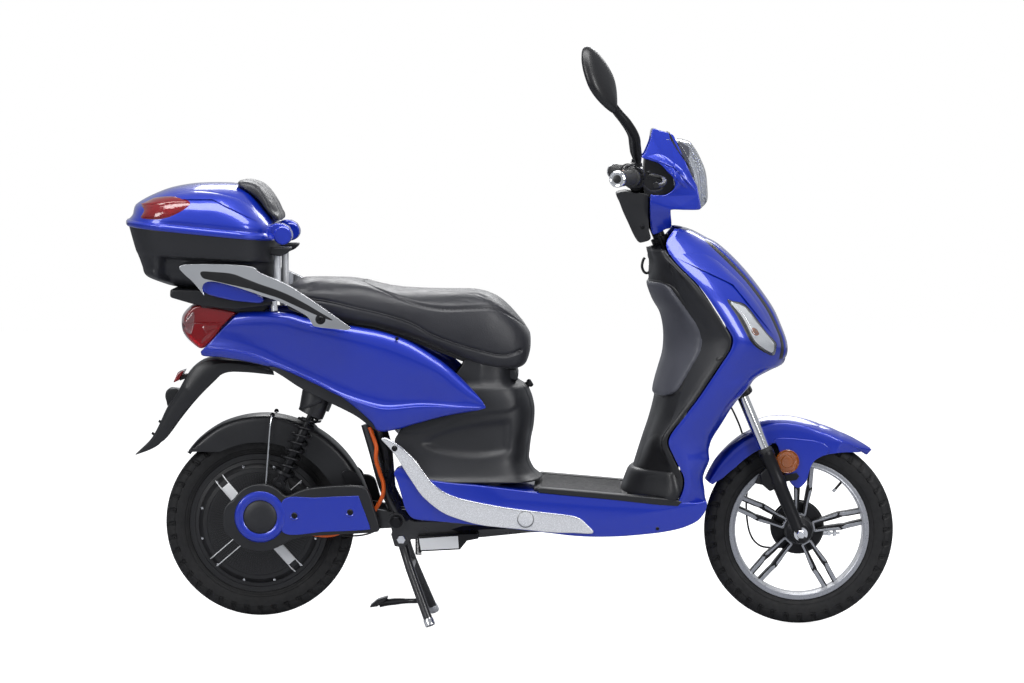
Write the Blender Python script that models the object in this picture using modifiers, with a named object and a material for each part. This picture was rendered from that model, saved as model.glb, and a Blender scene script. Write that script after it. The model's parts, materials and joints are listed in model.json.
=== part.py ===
"""Moped scooter: a seated electric scooter with a top box, standing on its centre stand.

Frame: +X forward, +Y to the rider's left, +Z up, Z = 0 on the ground, metres.
Every sub-part is one object. Bodies that move hang on an empty that sits on their joint's axis.
"""

import math

import bmesh
import bpy
from mathutils import Matrix, Vector

# Wheels and ground
TYRE_RADIUS = 0.216
TYRE_HALF_WIDTH = 0.032
RIM_RADIUS = 0.160
FRONT_AXLE = Vector((0.6563, 0.0, 0.216))
REAR_AXLE = Vector((-0.57865, 0.0, 0.230))
AXLE_RADIUS = 0.006
REAR_AXLE_RADIUS = 0.008

# Steering: the axis leans back by the rake, and the fork stands ahead of it
RAKE = math.radians(22.8)
STEER_UP = Vector((-math.sin(RAKE), 0.0, math.cos(RAKE)))
STEER_AHEAD = Vector((math.cos(RAKE), 0.0, math.sin(RAKE)))
STEER_POINT = Vector((0.340, 0.0, 0.875))
FORK_AHEAD = 0.035
FORK_HALF_TRACK = 0.075
STANCHION_RADIUS = 0.0125
FORK_LEG_RADIUS = 0.016
STEM_RADIUS = 0.014
HEAD_TUBE_RADIUS = 0.024

# Suspension, stand, seat and lid pivots
SWING_PIVOT = Vector((-0.261, 0.0, 0.242))
STAND_PIVOT = Vector((-0.251, 0.0, 0.199))
SHOCK_TOP = Vector((-0.425, 0.0, 0.553))
SHOCK_FOOT = Vector((-0.526, 0.0, 0.326))
SHOCK_TRACK = 0.090
SEAT_HINGE = Vector((0.026, 0.0, 0.603))
LID_HINGE = Vector((-0.513, 0.0, 0.893))

# Handlebar
GRIP_INNER = Vector((0.268, 0.215, 1.026))
GRIP_OUTER = Vector((0.238, 0.330, 1.026))
BAR_RADIUS = 0.011
GRIP_RADIUS = 0.0165

# Walls and clearances
WALL = 0.003
RUNNING_GAP = 0.0004

SIDES = (("right", -1), ("left", 1))

PAINT = ((0.010, 0.045, 0.62), 0.25, 0.1)
BLACK = ((0.020, 0.021, 0.024), 0.55, 0.0)
STEEL = ((0.030, 0.030, 0.032), 0.40, 0.6)
CHROME = ((0.80, 0.81, 0.83), 0.12, 1.0)
SILVER = ((0.66, 0.67, 0.69), 0.30, 0.8)
RUBBER = ((0.018, 0.018, 0.019), 0.80, 0.0)
LEATHER = ((0.022, 0.022, 0.024), 0.60, 0.0)
RED = ((0.55, 0.01, 0.015), 0.15, 0.0)
CLEAR = ((0.82, 0.85, 0.88), 0.08, 0.0)
ORANGE = ((0.90, 0.20, 0.02), 0.45, 0.0)

for leftover in list(bpy.data.objects):
    bpy.data.objects.remove(leftover)

parts = bpy.data.collections.new("moped_scooter")
helpers = bpy.data.collections.new("cutters")
bpy.context.scene.collection.children.link(parts)
bpy.context.scene.collection.children.link(helpers)


# ---------------------------------------------------------------- tools


def paint(obj, finish):
    """Gives the object a Principled material of its own."""
    color, roughness, metallic = finish
    made = bpy.data.materials.new(obj.name)
    made.use_nodes = True
    shader = made.node_tree.nodes["Principled BSDF"]
    shader.inputs["Base Color"].default_value = (*color, 1.0)
    shader.inputs["Roughness"].default_value = roughness
    shader.inputs["Metallic"].default_value = metallic
    obj.data.materials.clear()
    obj.data.materials.append(made)


def add_mesh(name, bm):
    """Makes an object of a bmesh, with its faces pointing out."""
    bmesh.ops.recalc_face_normals(bm, faces=bm.faces)
    if bm.calc_volume(signed=True) < 0:
        bmesh.ops.reverse_faces(bm, faces=bm.faces)
    mesh = bpy.data.meshes.new(name)
    bm.to_mesh(mesh)
    bm.free()
    obj = bpy.data.objects.new(name, mesh)
    parts.objects.link(obj)
    return obj


def mesh_of_curve(curve, name, matrix):
    """Turns curve data into a mesh object with welded caps."""
    source = bpy.data.objects.new(name + "_curve", curve)
    parts.objects.link(source)
    source.matrix_world = matrix
    bpy.context.view_layer.update()
    graph = bpy.context.evaluated_depsgraph_get()
    mesh = bpy.data.meshes.new_from_object(source.evaluated_get(graph))
    mesh.transform(matrix)
    bpy.data.objects.remove(source)
    bm = bmesh.new()
    bm.from_mesh(mesh)
    bmesh.ops.remove_doubles(bm, verts=bm.verts, dist=1e-5)
    bpy.data.meshes.remove(mesh)
    return add_mesh(name, bm)


def slab(name, outline, y_low, y_high, bevel=0.0, inset=0.0):
    """A closed outline of (x, z) points, extruded from y_low to y_high. Inset shrinks the outline."""
    curve = bpy.data.curves.new(name, "CURVE")
    curve.dimensions = "2D"
    curve.fill_mode = "BOTH"
    curve.extrude = (y_high - y_low) / 2
    curve.offset = -inset
    spline = curve.splines.new("POLY")
    spline.points.add(len(outline) - 1)
    for point, (x, z) in zip(spline.points, outline):
        point.co = (x, z, 0.0, 1.0)
    spline.use_cyclic_u = True
    upright = Matrix.Translation((0.0, (y_low + y_high) / 2, 0.0)) @ Matrix.Rotation(math.pi / 2, 4, "X")
    obj = mesh_of_curve(curve, name, upright)
    if bevel:
        add_bevel(obj, bevel)
    return obj


def side_slab(name, outline, side, inner, outer, bevel=0.0, inset=0.0):
    """A slab on one side of the middle plane, from inner to outer."""
    low, high = sorted((side * inner, side * outer))
    return slab(name, outline, low, high, bevel, inset)


def tube(name, points, radius, resolution=2):
    """A round bar along a list of points."""
    curve = bpy.data.curves.new(name, "CURVE")
    curve.dimensions = "3D"
    curve.bevel_depth = radius
    curve.bevel_resolution = resolution
    curve.use_fill_caps = True
    spline = curve.splines.new("POLY")
    spline.points.add(len(points) - 1)
    for point, place in zip(spline.points, points):
        point.co = (*place, 1.0)
    return mesh_of_curve(curve, name, Matrix.Identity(4))


def smooth(points, steps=4):
    """Points along a Catmull-Rom curve through the given ones."""
    knots = [Vector(p) for p in points]
    knots = [2 * knots[0] - knots[1]] + knots + [2 * knots[-1] - knots[-2]]
    found = []
    for a, b, c, d in zip(knots, knots[1:], knots[2:], knots[3:]):
        for step in range(steps):
            t = step / steps
            bend = (2 * a - 5 * b + 4 * c - d) * t**2 + (3 * b - a - 3 * c + d) * t**3
            found.append(0.5 * (2 * b + (c - a) * t + bend))
    return found + [knots[-2]]


def rod(name, start, end, radius, sides=12):
    """A cylinder between two points."""
    start, end = Vector(start), Vector(end)
    along = end - start
    bm = bmesh.new()
    bmesh.ops.create_cone(
        bm,
        cap_ends=True,
        segments=sides,
        radius1=radius,
        radius2=radius,
        depth=along.length,
    )
    turn = Vector((0, 0, 1)).rotation_difference(along.normalized()).to_matrix().to_4x4()
    bm.transform(Matrix.Translation((start + end) / 2) @ turn)
    return add_mesh(name, bm)


def pin(name, place, y_start, y_end, radius, sides=12):
    """A cylinder straight across the scooter, through a place in the side view."""
    return rod(name, (place.x, y_start, place.z), (place.x, y_end, place.z), radius, sides)


def box(name, low, high, bevel=0.0):
    """A box between two corners."""
    low, high = Vector(low), Vector(high)
    bm = bmesh.new()
    bmesh.ops.create_cube(bm, size=1.0)
    size = high - low
    bm.transform(Matrix.Translation((low + high) / 2) @ Matrix.Diagonal((*size, 1.0)))
    obj = add_mesh(name, bm)
    if bevel:
        add_bevel(obj, bevel)
    return obj


def turned(name, profile, centre, steps=32, axis=Vector((0, 1, 0)), closed=True, sweep=360.0, start=0.0):
    """A profile of (radius, along) points, running down its outer side, turned about an axis."""
    mesh = bpy.data.meshes.new(name)
    spin = math.radians(start)
    points = [(r * math.cos(spin), r * math.sin(spin), along) for r, along in profile]
    edges = [(i, i + 1) for i in range(len(points) - 1)]
    if closed:
        edges.append((len(points) - 1, 0))
    mesh.from_pydata(points, edges, [])
    obj = bpy.data.objects.new(name, mesh)
    parts.objects.link(obj)
    screw = obj.modifiers.new("Screw", "SCREW")
    screw.angle = math.radians(sweep)
    screw.steps = steps
    screw.render_steps = steps
    screw.use_merge_vertices = True
    screw.merge_threshold = 1e-5
    turn = Vector((0, 0, 1)).rotation_difference(axis).to_matrix().to_4x4()
    obj.matrix_world = Matrix.Translation(centre) @ turn
    return obj


def loft(name, rings, cap_first=True, cap_last=True, thickness=0.0, closed_rings=True):
    """A skin over rings of equally many points. Left open somewhere, it becomes a shell of that thickness."""
    bm = bmesh.new()
    rows = [[bm.verts.new(p) for p in ring] for ring in rings]
    count = len(rows[0])
    last = count if closed_rings else count - 1
    for lower, upper in zip(rows, rows[1:]):
        for i in range(last):
            j = (i + 1) % count
            bm.faces.new((lower[i], lower[j], upper[j], upper[i]))
    if cap_first:
        bm.faces.new(rows[0])
    if cap_last:
        bm.faces.new(rows[-1])
    obj = add_mesh(name, bm)
    if thickness:
        shell = obj.modifiers.new("Solidify", "SOLIDIFY")
        shell.thickness = thickness
        shell.offset = 0.0
        shell.use_even_offset = True
    return obj


def add_bevel(obj, width, segments=1):
    bevel = obj.modifiers.new("Bevel", "BEVEL")
    bevel.width = width
    bevel.segments = segments
    bevel.limit_method = "ANGLE"
    bevel.angle_limit = math.radians(50)


def combine(obj, others, operation):
    """Adds a Boolean for each other object, which then becomes a helper."""
    for other in others:
        boolean = obj.modifiers.new(operation.title(), "BOOLEAN")
        boolean.operation = operation
        boolean.object = other
        for group in list(other.users_collection):
            group.objects.unlink(other)
        helpers.objects.link(other)
        other.hide_render = True
        other.display_type = "WIRE"
    return obj


def join(obj, *others):
    return combine(obj, others, "UNION")


def cut(obj, *others):
    return combine(obj, others, "DIFFERENCE")


def pivot(name, place, parent=None):
    """An empty on a joint's axis, which carries the pieces of one body."""
    empty = bpy.data.objects.new(name, None)
    empty.empty_display_size = 0.05
    parts.objects.link(empty)
    empty.location = place
    bpy.context.view_layer.update()
    if parent:
        empty.parent = parent
        empty.matrix_parent_inverse = parent.matrix_world.inverted()
    return empty


def finish(obj, look, parent=None):
    """Paints an object, shades it smooth and hangs it on its body's empty."""
    paint(obj, look)
    obj.data.shade_smooth()
    obj.data.set_sharp_from_angle(angle=math.radians(35))
    if parent:
        bpy.context.view_layer.update()
        obj.parent = parent
        obj.matrix_parent_inverse = parent.matrix_world.inverted()
    return obj


def steer(ahead, y, up):
    """A point given from the steering point: ahead of the axis, sideways, and up along it."""
    return STEER_POINT + STEER_AHEAD * ahead + Vector((0, y, 0)) + STEER_UP * up


def up_of(point):
    """How far up the steering axis a point lies."""
    return (Vector(point) - STEER_POINT).dot(STEER_UP)


def rounded(cx, a, b, z, slope=0.0, power=3.5, count=20):
    """A ring shaped like a rounded rectangle, half lengths a and b, in a plane that climbs with x."""
    ring = []
    for i in range(count):
        turn = 2 * math.pi * (i + 0.5) / count
        c, s = math.cos(turn), math.sin(turn)
        x = a * math.copysign(abs(c) ** (2 / power), c)
        y = b * math.copysign(abs(s) ** (2 / power), s)
        ring.append((cx + x, y, z + slope * x))
    return ring


def mirrored(points):
    """The points, with the same points on the other side after them, for a ring about the middle plane."""
    return list(points) + [(x, -y, z) for x, y, z in reversed(points) if abs(y) > 1e-9]


def lerp(table, value):
    """Reads a table of (key, result) pairs, sorted by key, between its entries."""
    if value <= table[0][0]:
        return table[0][1]
    for (k0, r0), (k1, r1) in zip(table, table[1:]):
        if value <= k1:
            return r0 + (r1 - r0) * (value - k0) / (k1 - k0)
    return table[-1][1]


# ---------------------------------------------------------------- frame


def make_main_frame():
    """Head tube, down tube, twin floor rails, seat loop and the lugs of the pivots, welded together."""
    head_low = steer(0, 0, -0.290)
    head_high = steer(0, 0, -0.090)
    frame = rod("main_frame", head_low, head_high, HEAD_TUBE_RADIUS + 0.006, 20)
    bore = rod(
        "head_bore", head_low - STEER_UP * 0.02, head_high + STEER_UP * 0.02, STEM_RADIUS + 0.001,
        20,
    )
    down = tube(
        "down_tube",
        smooth(
            [(0.425, 0, 0.660), (0.392, 0, 0.560), (0.372, 0, 0.430), (0.335, 0, 0.300), (0.270, 0, 0.246)],
            3,
        ),
        0.019,
    )
    cross = rod("floor_cross", (0.270, -0.078, 0.246), (0.270, 0.078, 0.246), 0.015)
    pieces = [down, cross]
    for name, side in SIDES:
        rail = [
            (0.270, 0.070 * side, 0.246),
            (0.120, 0.070 * side, 0.232),
            (-0.100, 0.062 * side, 0.221),
            (-0.225, 0.045 * side, 0.224),
            (-0.266, 0.044 * side, 0.250),
            (-0.282, 0.044 * side, 0.300),
            (-0.290, 0.046 * side, 0.400),
            (-0.310, 0.050 * side, 0.465),
            (-0.370, 0.054 * side, 0.560),
            (-0.470, 0.056 * side, 0.640),
            (-0.600, 0.056 * side, 0.688),
        ]
        pieces.append(tube("rail_" + name, rail, 0.013))
        pieces.append(side_slab("lug_" + name, lug_outline(), side, 0.018, 0.030))
        pieces.append(pin("shock_stud_" + name, SHOCK_TOP, 0.045 * side, 0.106 * side, 0.006))
        gusset_foot = (SHOCK_TOP.x, 0.054 * side, SHOCK_TOP.z)
        pieces.append(rod("shock_gusset_" + name, (-0.405, 0.054 * side, 0.590), gusset_foot, 0.010))
    pieces.append(pin("swing_pin", SWING_PIVOT, -0.078, 0.078, 0.008))
    pieces.append(pin("stand_pin", STAND_PIVOT, -0.066, 0.066, 0.006))
    pieces.append(rod("lug_cross", (-0.215, -0.048, 0.226), (-0.215, 0.048, 0.226), 0.010))
    pieces.append(rod("seat_cross", (-0.310, -0.050, 0.465), (-0.310, 0.050, 0.465), 0.011))
    pieces.append(rod("rear_cross", (-0.590, -0.056, 0.684), (-0.590, 0.056, 0.684), 0.011))
    cut(join(frame, *pieces), bore)
    finish(frame, STEEL)


def lug_outline():
    """The plate that holds the swingarm's and the stand's pivot pins."""
    return [
        (-0.205, 0.236),
        (-0.240, 0.262),
        (-0.262, 0.262),
        (-0.282, 0.245),
        (-0.270, 0.195),
        (-0.252, 0.186),
        (-0.232, 0.192),
        (-0.205, 0.215),
    ]


def make_inner_parts():
    """Battery and controller, behind the covers."""
    battery = box("battery_pack", (-0.190, -0.080, 0.352), (-0.020, 0.080, 0.560), 0.008)
    finish(battery, BLACK)
    controller = box("controller", (-0.160, -0.045, 0.252), (-0.020, 0.045, 0.300), 0.004)
    finish(controller, SILVER)


# ---------------------------------------------------------------- body work

PANEL_TOP = [
    (-0.697, 0.631),
    (-0.674, 0.644),
    (-0.649, 0.675),
    (-0.630, 0.700),
    (-0.605, 0.718),
    (-0.500, 0.716),
    (-0.450, 0.704),
    (-0.338, 0.686),
    (-0.252, 0.665),
    (-0.175, 0.624),
    (-0.115, 0.577),
    (-0.055, 0.511),
]
PANEL_LOW = [
    (-0.697, 0.619),
    (-0.608, 0.610),
    (-0.533, 0.594),
    (-0.462, 0.569),
    (-0.379, 0.529),
    (-0.337, 0.496),
    (-0.295, 0.452),
    (-0.209, 0.472),
    (-0.145, 0.489),
    (-0.055, 0.507),
]
PANEL_HALF_WIDTH = [(-0.697, 0.104), (-0.560, 0.126), (-0.400, 0.144), (-0.250, 0.152), (-0.055, 0.157)]


def make_body_panels():
    """The long painted side panels, from the tail light to the tip beside the centre cover."""
    stations = [
        -0.697, -0.674, -0.649, -0.620, -0.560, -0.462, -0.379, -0.337, -0.295, -0.252, -0.209,
        -0.145, -0.100, -0.055,
    ]
    for name, side in SIDES:
        rings = []
        for x in stations:
            top, low, out = lerp(PANEL_TOP, x), lerp(PANEL_LOW, x), lerp(PANEL_HALF_WIDTH, x)
            drop = top - low
            bulge = min(0.012, drop * 0.2)
            rings.append(
                [
                    (x, side * (out - bulge), top),
                    (x, side * (out - bulge * 0.15), top - drop * 0.25),
                    (x, side * out, top - drop * 0.55),
                    (x, side * (out - bulge * 0.5), top - drop * 0.85),
                    (x, side * (out - bulge), low),
                ]
            )
        panel = loft("body_panel_" + name, rings, False, False, WALL, closed_rings=False)
        finish(panel, PAINT)


def make_center_cover():
    """The black cover under the seat's nose: two sides and a front, open behind, above and below."""
    table = [
        (0.352, 0.052, 0.136),
        (0.378, 0.038, 0.126),
        (0.426, 0.044, 0.118),
        (0.485, 0.050, 0.112),
        (0.545, 0.036, 0.108),
        (0.582, 0.012, 0.104),
    ]
    rings = []
    for z, front, half in table:
        rear = lerp([(0.352, -0.190), (0.430, -0.262), (0.485, -0.215), (0.582, -0.125)], z)
        ring = [
            (rear, half, z), ((rear + front) / 2, half, z), (front - 0.060, half * 0.96, z),
            (front - 0.018, half * 0.72, z), (front, 0.0, z),
        ]
        rings.append(mirrored(ring))
    cover = loft("center_cover", rings, False, False, WALL, closed_rings=False)
    finish(cover, BLACK)


LOWER_OUTLINE = [
    (-0.263, 0.362),
    (-0.248, 0.372),
    (-0.192, 0.346),
    (-0.080, 0.335),
    (0.066, 0.316),
    (0.246, 0.302),
    (0.420, 0.292),
    (0.436, 0.284),
    (0.421, 0.255),
    (0.375, 0.236),
    (0.299, 0.224),
    (0.185, 0.219),
    (0.092, 0.226),
    (-0.037, 0.239),
    (-0.166, 0.251),
    (-0.222, 0.259),
    (-0.238, 0.281),
]
FLOOR_HALF_WIDTH = 0.158
FORK_TRAVEL = 0.036


def make_lower_fairing():
    """The belly fairing: floor board and both sides in one shell, open below for the frame."""
    fairing = slab("lower_fairing", LOWER_OUTLINE, -FLOOR_HALF_WIDTH, FLOOR_HALF_WIDTH)
    inside = [
        (-0.280, 0.330),
        (-0.192, 0.342),
        (-0.080, 0.331),
        (0.066, 0.312),
        (0.246, 0.298),
        (0.414, 0.288),
        (0.416, 0.262),
        (0.372, 0.243),
        (0.330, 0.180),
        (-0.300, 0.180),
    ]
    hollow = slab("fairing_hollow", inside, -FLOOR_HALF_WIDTH + 0.004, FLOOR_HALF_WIDTH - 0.004)
    rear_door = box("fairing_rear_door", (-0.30, -0.110, 0.200), (-0.185, 0.110, 0.420))
    tube_door = box("fairing_tube_door", (0.285, -0.050, 0.270), (0.405, 0.050, 0.330))
    tyre_room = pin(
        "fairing_tyre_room", FRONT_AXLE + STEER_UP * FORK_TRAVEL, -0.048, 0.048,
        TYRE_RADIUS + 0.005, 48,
    )
    cut(fairing, hollow, rear_door, tube_door, tyre_room)
    finish(fairing, PAINT)


def make_floor_mat():
    outline = [(0.068, 0.3195), (0.246, 0.3055), (0.262, 0.3045), (0.262, 0.3100), (0.068, 0.3250)]
    mat = slab("floor_mat", outline, -0.130, 0.130)
    finish(mat, RUBBER)


def make_trims():
    """The silver strips along the lower edge of the fairing."""
    outline = [
        (-0.290, 0.439),
        (-0.277, 0.439),
        (-0.239, 0.415),
        (-0.213, 0.390),
        (-0.175, 0.338),
        (-0.144, 0.318),
        (-0.080, 0.297),
        (0.049, 0.276),
        (0.152, 0.263),
        (0.173, 0.244),
        (0.186, 0.226),
        (0.092, 0.228),
        (-0.037, 0.241),
        (-0.097, 0.252),
        (-0.145, 0.269),
        (-0.175, 0.288),
        (-0.209, 0.323),
        (-0.235, 0.364),
        (-0.282, 0.428),
    ]
    for name, side in SIDES:
        trim = side_slab(
            "trim_" + name, outline, side, FLOOR_HALF_WIDTH + 0.0005, FLOOR_HALF_WIDTH + 0.0070,
            0.0015,
        )
        finish(trim, SILVER)


WELL_TOP = 0.590
WELL_HALF_WIDTH = 0.115
WELL_RADIUS = 0.115
NOSE = [
    (0.300, 0.440),
    (0.353, 0.436),
    (0.399, 0.446),
    (0.446, 0.457),
    (0.494, 0.489),
    (0.532, 0.516),
    (0.570, 0.548),
    (0.600, 0.618),
    (0.650, 0.622),
    (0.704, 0.600),
    (0.748, 0.575),
    (0.789, 0.545),
    (0.826, 0.512),
    (0.873, 0.460),
    (0.905, 0.400),
]
SHIELD_EDGE = [
    (0.300, 0.376),
    (0.319, 0.385),
    (0.353, 0.389),
    (0.399, 0.367),
    (0.440, 0.354),
    (0.494, 0.392),
    (0.532, 0.420),
    (0.570, 0.445),
    (0.607, 0.469),
    (0.661, 0.496),
    (0.704, 0.475),
    (0.748, 0.447),
    (0.789, 0.416),
    (0.826, 0.378),
    (0.873, 0.350),
    (0.905, 0.356),
]
SHIELD_HALF_WIDTH = [
    (0.300, 0.160), (0.400, 0.166), (0.540, 0.180), (0.660, 0.192), (0.760, 0.186), (0.850, 0.140),
    (0.905, 0.100),
]
SHIELD_REAR = [
    (0.322, 0.268),
    (0.386, 0.284),
    (0.433, 0.299),
    (0.510, 0.322),
    (0.590, 0.340),
    (0.654, 0.352),
    (0.717, 0.342),
    (0.790, 0.312),
    (0.850, 0.306),
]


def make_front_fairing():
    """The painted nose shell, from its tip back to the leg shield's edge, open below for the fork."""
    rings = []
    for z, nose in NOSE:
        edge, half = lerp(SHIELD_EDGE, z), lerp(SHIELD_HALF_WIDTH, z)
        depth = nose - edge
        if z < WELL_TOP:
            ring = [
                (edge, half, z),
                (edge + depth * 0.55, half * 0.96, z),
                (nose, WELL_HALF_WIDTH + 0.010, z),
                (nose - 0.022, WELL_HALF_WIDTH - 0.004, z),
                (nose - 0.026, 0.0, z),
            ]
        else:
            ring = [
                (edge, half, z),
                (edge + depth * 0.35, half * 0.93, z),
                (edge + depth * 0.70, half * 0.70, z),
                (edge + depth * 0.93, half * 0.38, z),
                (nose, 0.0, z),
            ]
        rings.append(mirrored(ring))
    fairing = loft("front_fairing", rings, False, False, WALL, closed_rings=False)
    well = rod("steering_well", steer(0.010, 0, -0.56), steer(0.010, 0, -0.315), WELL_RADIUS, 24)
    lamps = [lamp_slab("indicator_room_" + name, side, -0.0008, 0.030) for name, side in SIDES]
    cut(fairing, well, *lamps)
    finish(fairing, PAINT)


SHIELD_ROWS = [
    0.322, 0.353, 0.399, 0.446, 0.494, 0.532, 0.570, 0.600, 0.650, 0.704, 0.748, 0.789, 0.826,
    0.850,
]


def make_leg_shield():
    """The black inner shield: from the painted edge in to the ridge that covers the steering head."""
    rings = []
    for z in SHIELD_ROWS:
        rear = lerp(SHIELD_REAR, z)
        edge, half = lerp(SHIELD_EDGE, z) - 0.006, lerp(SHIELD_HALF_WIDTH, z) - 0.001
        ring = [
            (edge, half, z),
            (edge * 0.72 + rear * 0.28, half * 0.88, z),
            (edge * 0.30 + rear * 0.70, half * 0.62, z),
            (rear + 0.004, half * 0.36, z),
            (rear, 0.0, z),
        ]
        rings.append(mirrored(ring))
    shield = loft("leg_shield", rings, False, False, WALL, closed_rings=False)
    finish(shield, BLACK)


LAMP_CENTRE = Vector((0.540, 0.150, 0.690))
LAMP_TURN = math.radians(31)


def lamp_slab(name, side, inset, depth):
    """The outline of a front indicator as a slab, turned to lie along the nose's cheek."""
    outline = [
        (0.483, 0.752),
        (0.517, 0.743),
        (0.552, 0.702),
        (0.593, 0.651),
        (0.592, 0.628),
        (0.560, 0.644),
        (0.531, 0.676),
        (0.508, 0.721),
    ]
    lamp = side_slab(name, outline, side, LAMP_CENTRE.y - depth / 2, LAMP_CENTRE.y + depth / 2, 0.0, inset)
    centre = Vector((LAMP_CENTRE.x, LAMP_CENTRE.y * side, LAMP_CENTRE.z))
    turn = Matrix.Rotation(-LAMP_TURN * side, 4, "Z")
    lamp.data.transform(Matrix.Translation(centre) @ turn @ Matrix.Translation(-centre))
    return lamp


def make_indicators():
    """Clear lamps let into the nose's cheeks."""
    for name, side in SIDES:
        finish(lamp_slab("indicator_" + name, side, 0.0, 0.010), CLEAR)


def make_tail_light():
    outline = [
        (-0.753, 0.701),
        (-0.725, 0.731),
        (-0.640, 0.722),
        (-0.648, 0.690),
        (-0.664, 0.672),
        (-0.684, 0.650),
        (-0.705, 0.634),
        (-0.738, 0.654),
        (-0.751, 0.675),
    ]
    lamp = slab("tail_light", outline, -0.092, 0.092, 0.008)
    finish(lamp, RED)


def make_mudflap():
    """The black tail piece under the lamp, which reaches down behind the tyre."""
    outline = [
        (-0.6300, 0.604),
        (-0.708, 0.609),
        (-0.731, 0.584),
        (-0.765, 0.529),
        (-0.787, 0.499),
        (-0.817, 0.431),
        (-0.860, 0.388),
        (-0.809, 0.410),
        (-0.775, 0.452),
        (-0.766, 0.461),
        (-0.732, 0.503),
        (-0.693, 0.541),
        (-0.655, 0.572),
        (-0.609, 0.575),
        (-0.545, 0.570),
        (-0.535, 0.582),
    ]
    flap = slab("mudflap", outline, -0.050, 0.050, 0.003)
    finish(flap, BLACK)


# ---------------------------------------------------------------- carrier, top box, seat

RAIL_INNER, RAIL_OUTER = 0.160, 0.178


def make_rear_carrier():
    """The cast carrier: both grab rails, the plate under the top box and the bars between them."""
    band = [
        (-0.737, 0.824),
        (-0.708, 0.829),
        (-0.621, 0.829),
        (-0.567, 0.821),
        (-0.501, 0.787),
        (-0.463, 0.764),
        (-0.414, 0.731),
        (-0.360, 0.693),
        (-0.364, 0.686),
        (-0.435, 0.691),
        (-0.447, 0.710),
        (-0.488, 0.735),
        (-0.555, 0.758),
        (-0.621, 0.783),
        (-0.675, 0.795),
        (-0.687, 0.789),
        (-0.690, 0.742),
        (-0.720, 0.742),
        (-0.715, 0.795),
        (-0.732, 0.814),
    ]
    plate = [
        (-0.765, 0.752), (-0.765, 0.764), (-0.740, 0.767), (-0.572, 0.767), (-0.545, 0.760),
        (-0.545, 0.735), (-0.572, 0.737), (-0.694, 0.752),
    ]
    carrier = slab("rear_carrier", plate, -0.125, 0.125)
    pieces = [box("carrier_bar", (-0.712, -0.165, 0.744), (-0.692, 0.165, 0.758))]
    for name, side in SIDES:
        pieces.append(side_slab("rail_band_" + name, band, side, RAIL_INNER, RAIL_OUTER, 0.003))
        arm_start, arm_end = (-0.562, 0.118 * side, 0.748), (-0.520, 0.166 * side, 0.758)
        pieces.append(rod("carrier_arm_" + name, arm_start, arm_end, 0.008))
        post_foot, post_head = (-0.580, 0.056 * side, 0.7045), (-0.580, 0.056 * side, 0.745)
        pieces.append(rod("carrier_post_" + name, post_foot, post_head, 0.009))
    join(carrier, *pieces)
    finish(carrier, CHROME)


RIM_SLOPE = -0.1
RIM_Z = 0.902
# Height, half length, half width and centre of each level of the tub and of the dome
TUB_LEVELS = [
    (0.775, 0.105, 0.108, -0.665),
    (0.800, 0.142, 0.138, -0.684),
    (0.835, 0.153, 0.150, -0.690),
    (0.862, 0.160, 0.188, -0.695),
    (0.900, 0.167, 0.200, -0.698),
]
DOME_LEVELS = [
    (0.903, 0.168, 0.201, -0.698),
    (0.925, 0.163, 0.199, -0.696),
    (0.955, 0.148, 0.190, -0.703),
    (0.975, 0.130, 0.172, -0.699),
    (0.996, 0.096, 0.138, -0.692),
    (1.005, 0.066, 0.096, -0.681),
    (1.008, 0.034, 0.050, -0.680),
]


def make_topbox():
    """The base tub, open at the top, with its hinge ears, and the lid with the backrest pad on its hinge."""
    rings = []
    for i, (z, a, b, cx) in enumerate(TUB_LEVELS):
        rings.append(rounded(cx, a, b, z, RIM_SLOPE * i / (len(TUB_LEVELS) - 1), 4.0))
    base = loft("topbox_base", rings, True, False, WALL)
    base_ear = [
        (-0.545, 0.800), (-0.545, 0.864), (-0.515, 0.870), (-0.506, 0.864), (-0.512, 0.848),
        (-0.524, 0.840), (-0.532, 0.800),
    ]
    lid_ear = [
        (-0.545, 0.904),
        (-0.538, 0.918),
        (-0.527, 0.922),
        (-0.503, 0.915),
        (-0.497, 0.893),
        (-0.502, 0.874),
        (-0.520, 0.876),
        (-0.526, 0.892),
    ]
    join(base, *[side_slab("base_ear_" + name, base_ear, side, 0.085, 0.120) for name, side in SIDES])
    finish(base, BLACK)
    opened = pivot("lid_pivot", LID_HINGE)
    rings = []
    for i, (z, a, b, cx) in enumerate(DOME_LEVELS):
        rings.append(rounded(cx, a, b, z, RIM_SLOPE * (1 - i / (len(DOME_LEVELS) - 1)) ** 2, 3.2))
    lid = loft("topbox_lid", rings, False, True, WALL)
    join(lid, *[side_slab("lid_ear_" + name, lid_ear, side, 0.088, 0.117) for name, side in SIDES])
    finish(lid, PAINT, opened)
    pad = [
        (-0.622, 1.0125),
        (-0.600, 1.0140),
        (-0.573, 1.009),
        (-0.545, 0.985),
        (-0.527, 0.945),
        (-0.519, 0.926),
        (-0.527, 0.9245),
        (-0.537, 0.955),
        (-0.557, 0.985),
        (-0.585, 1.004),
    ]
    backrest = slab("backrest_pad", pad, -0.095, 0.095)
    finish(backrest, LEATHER, opened)


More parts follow.
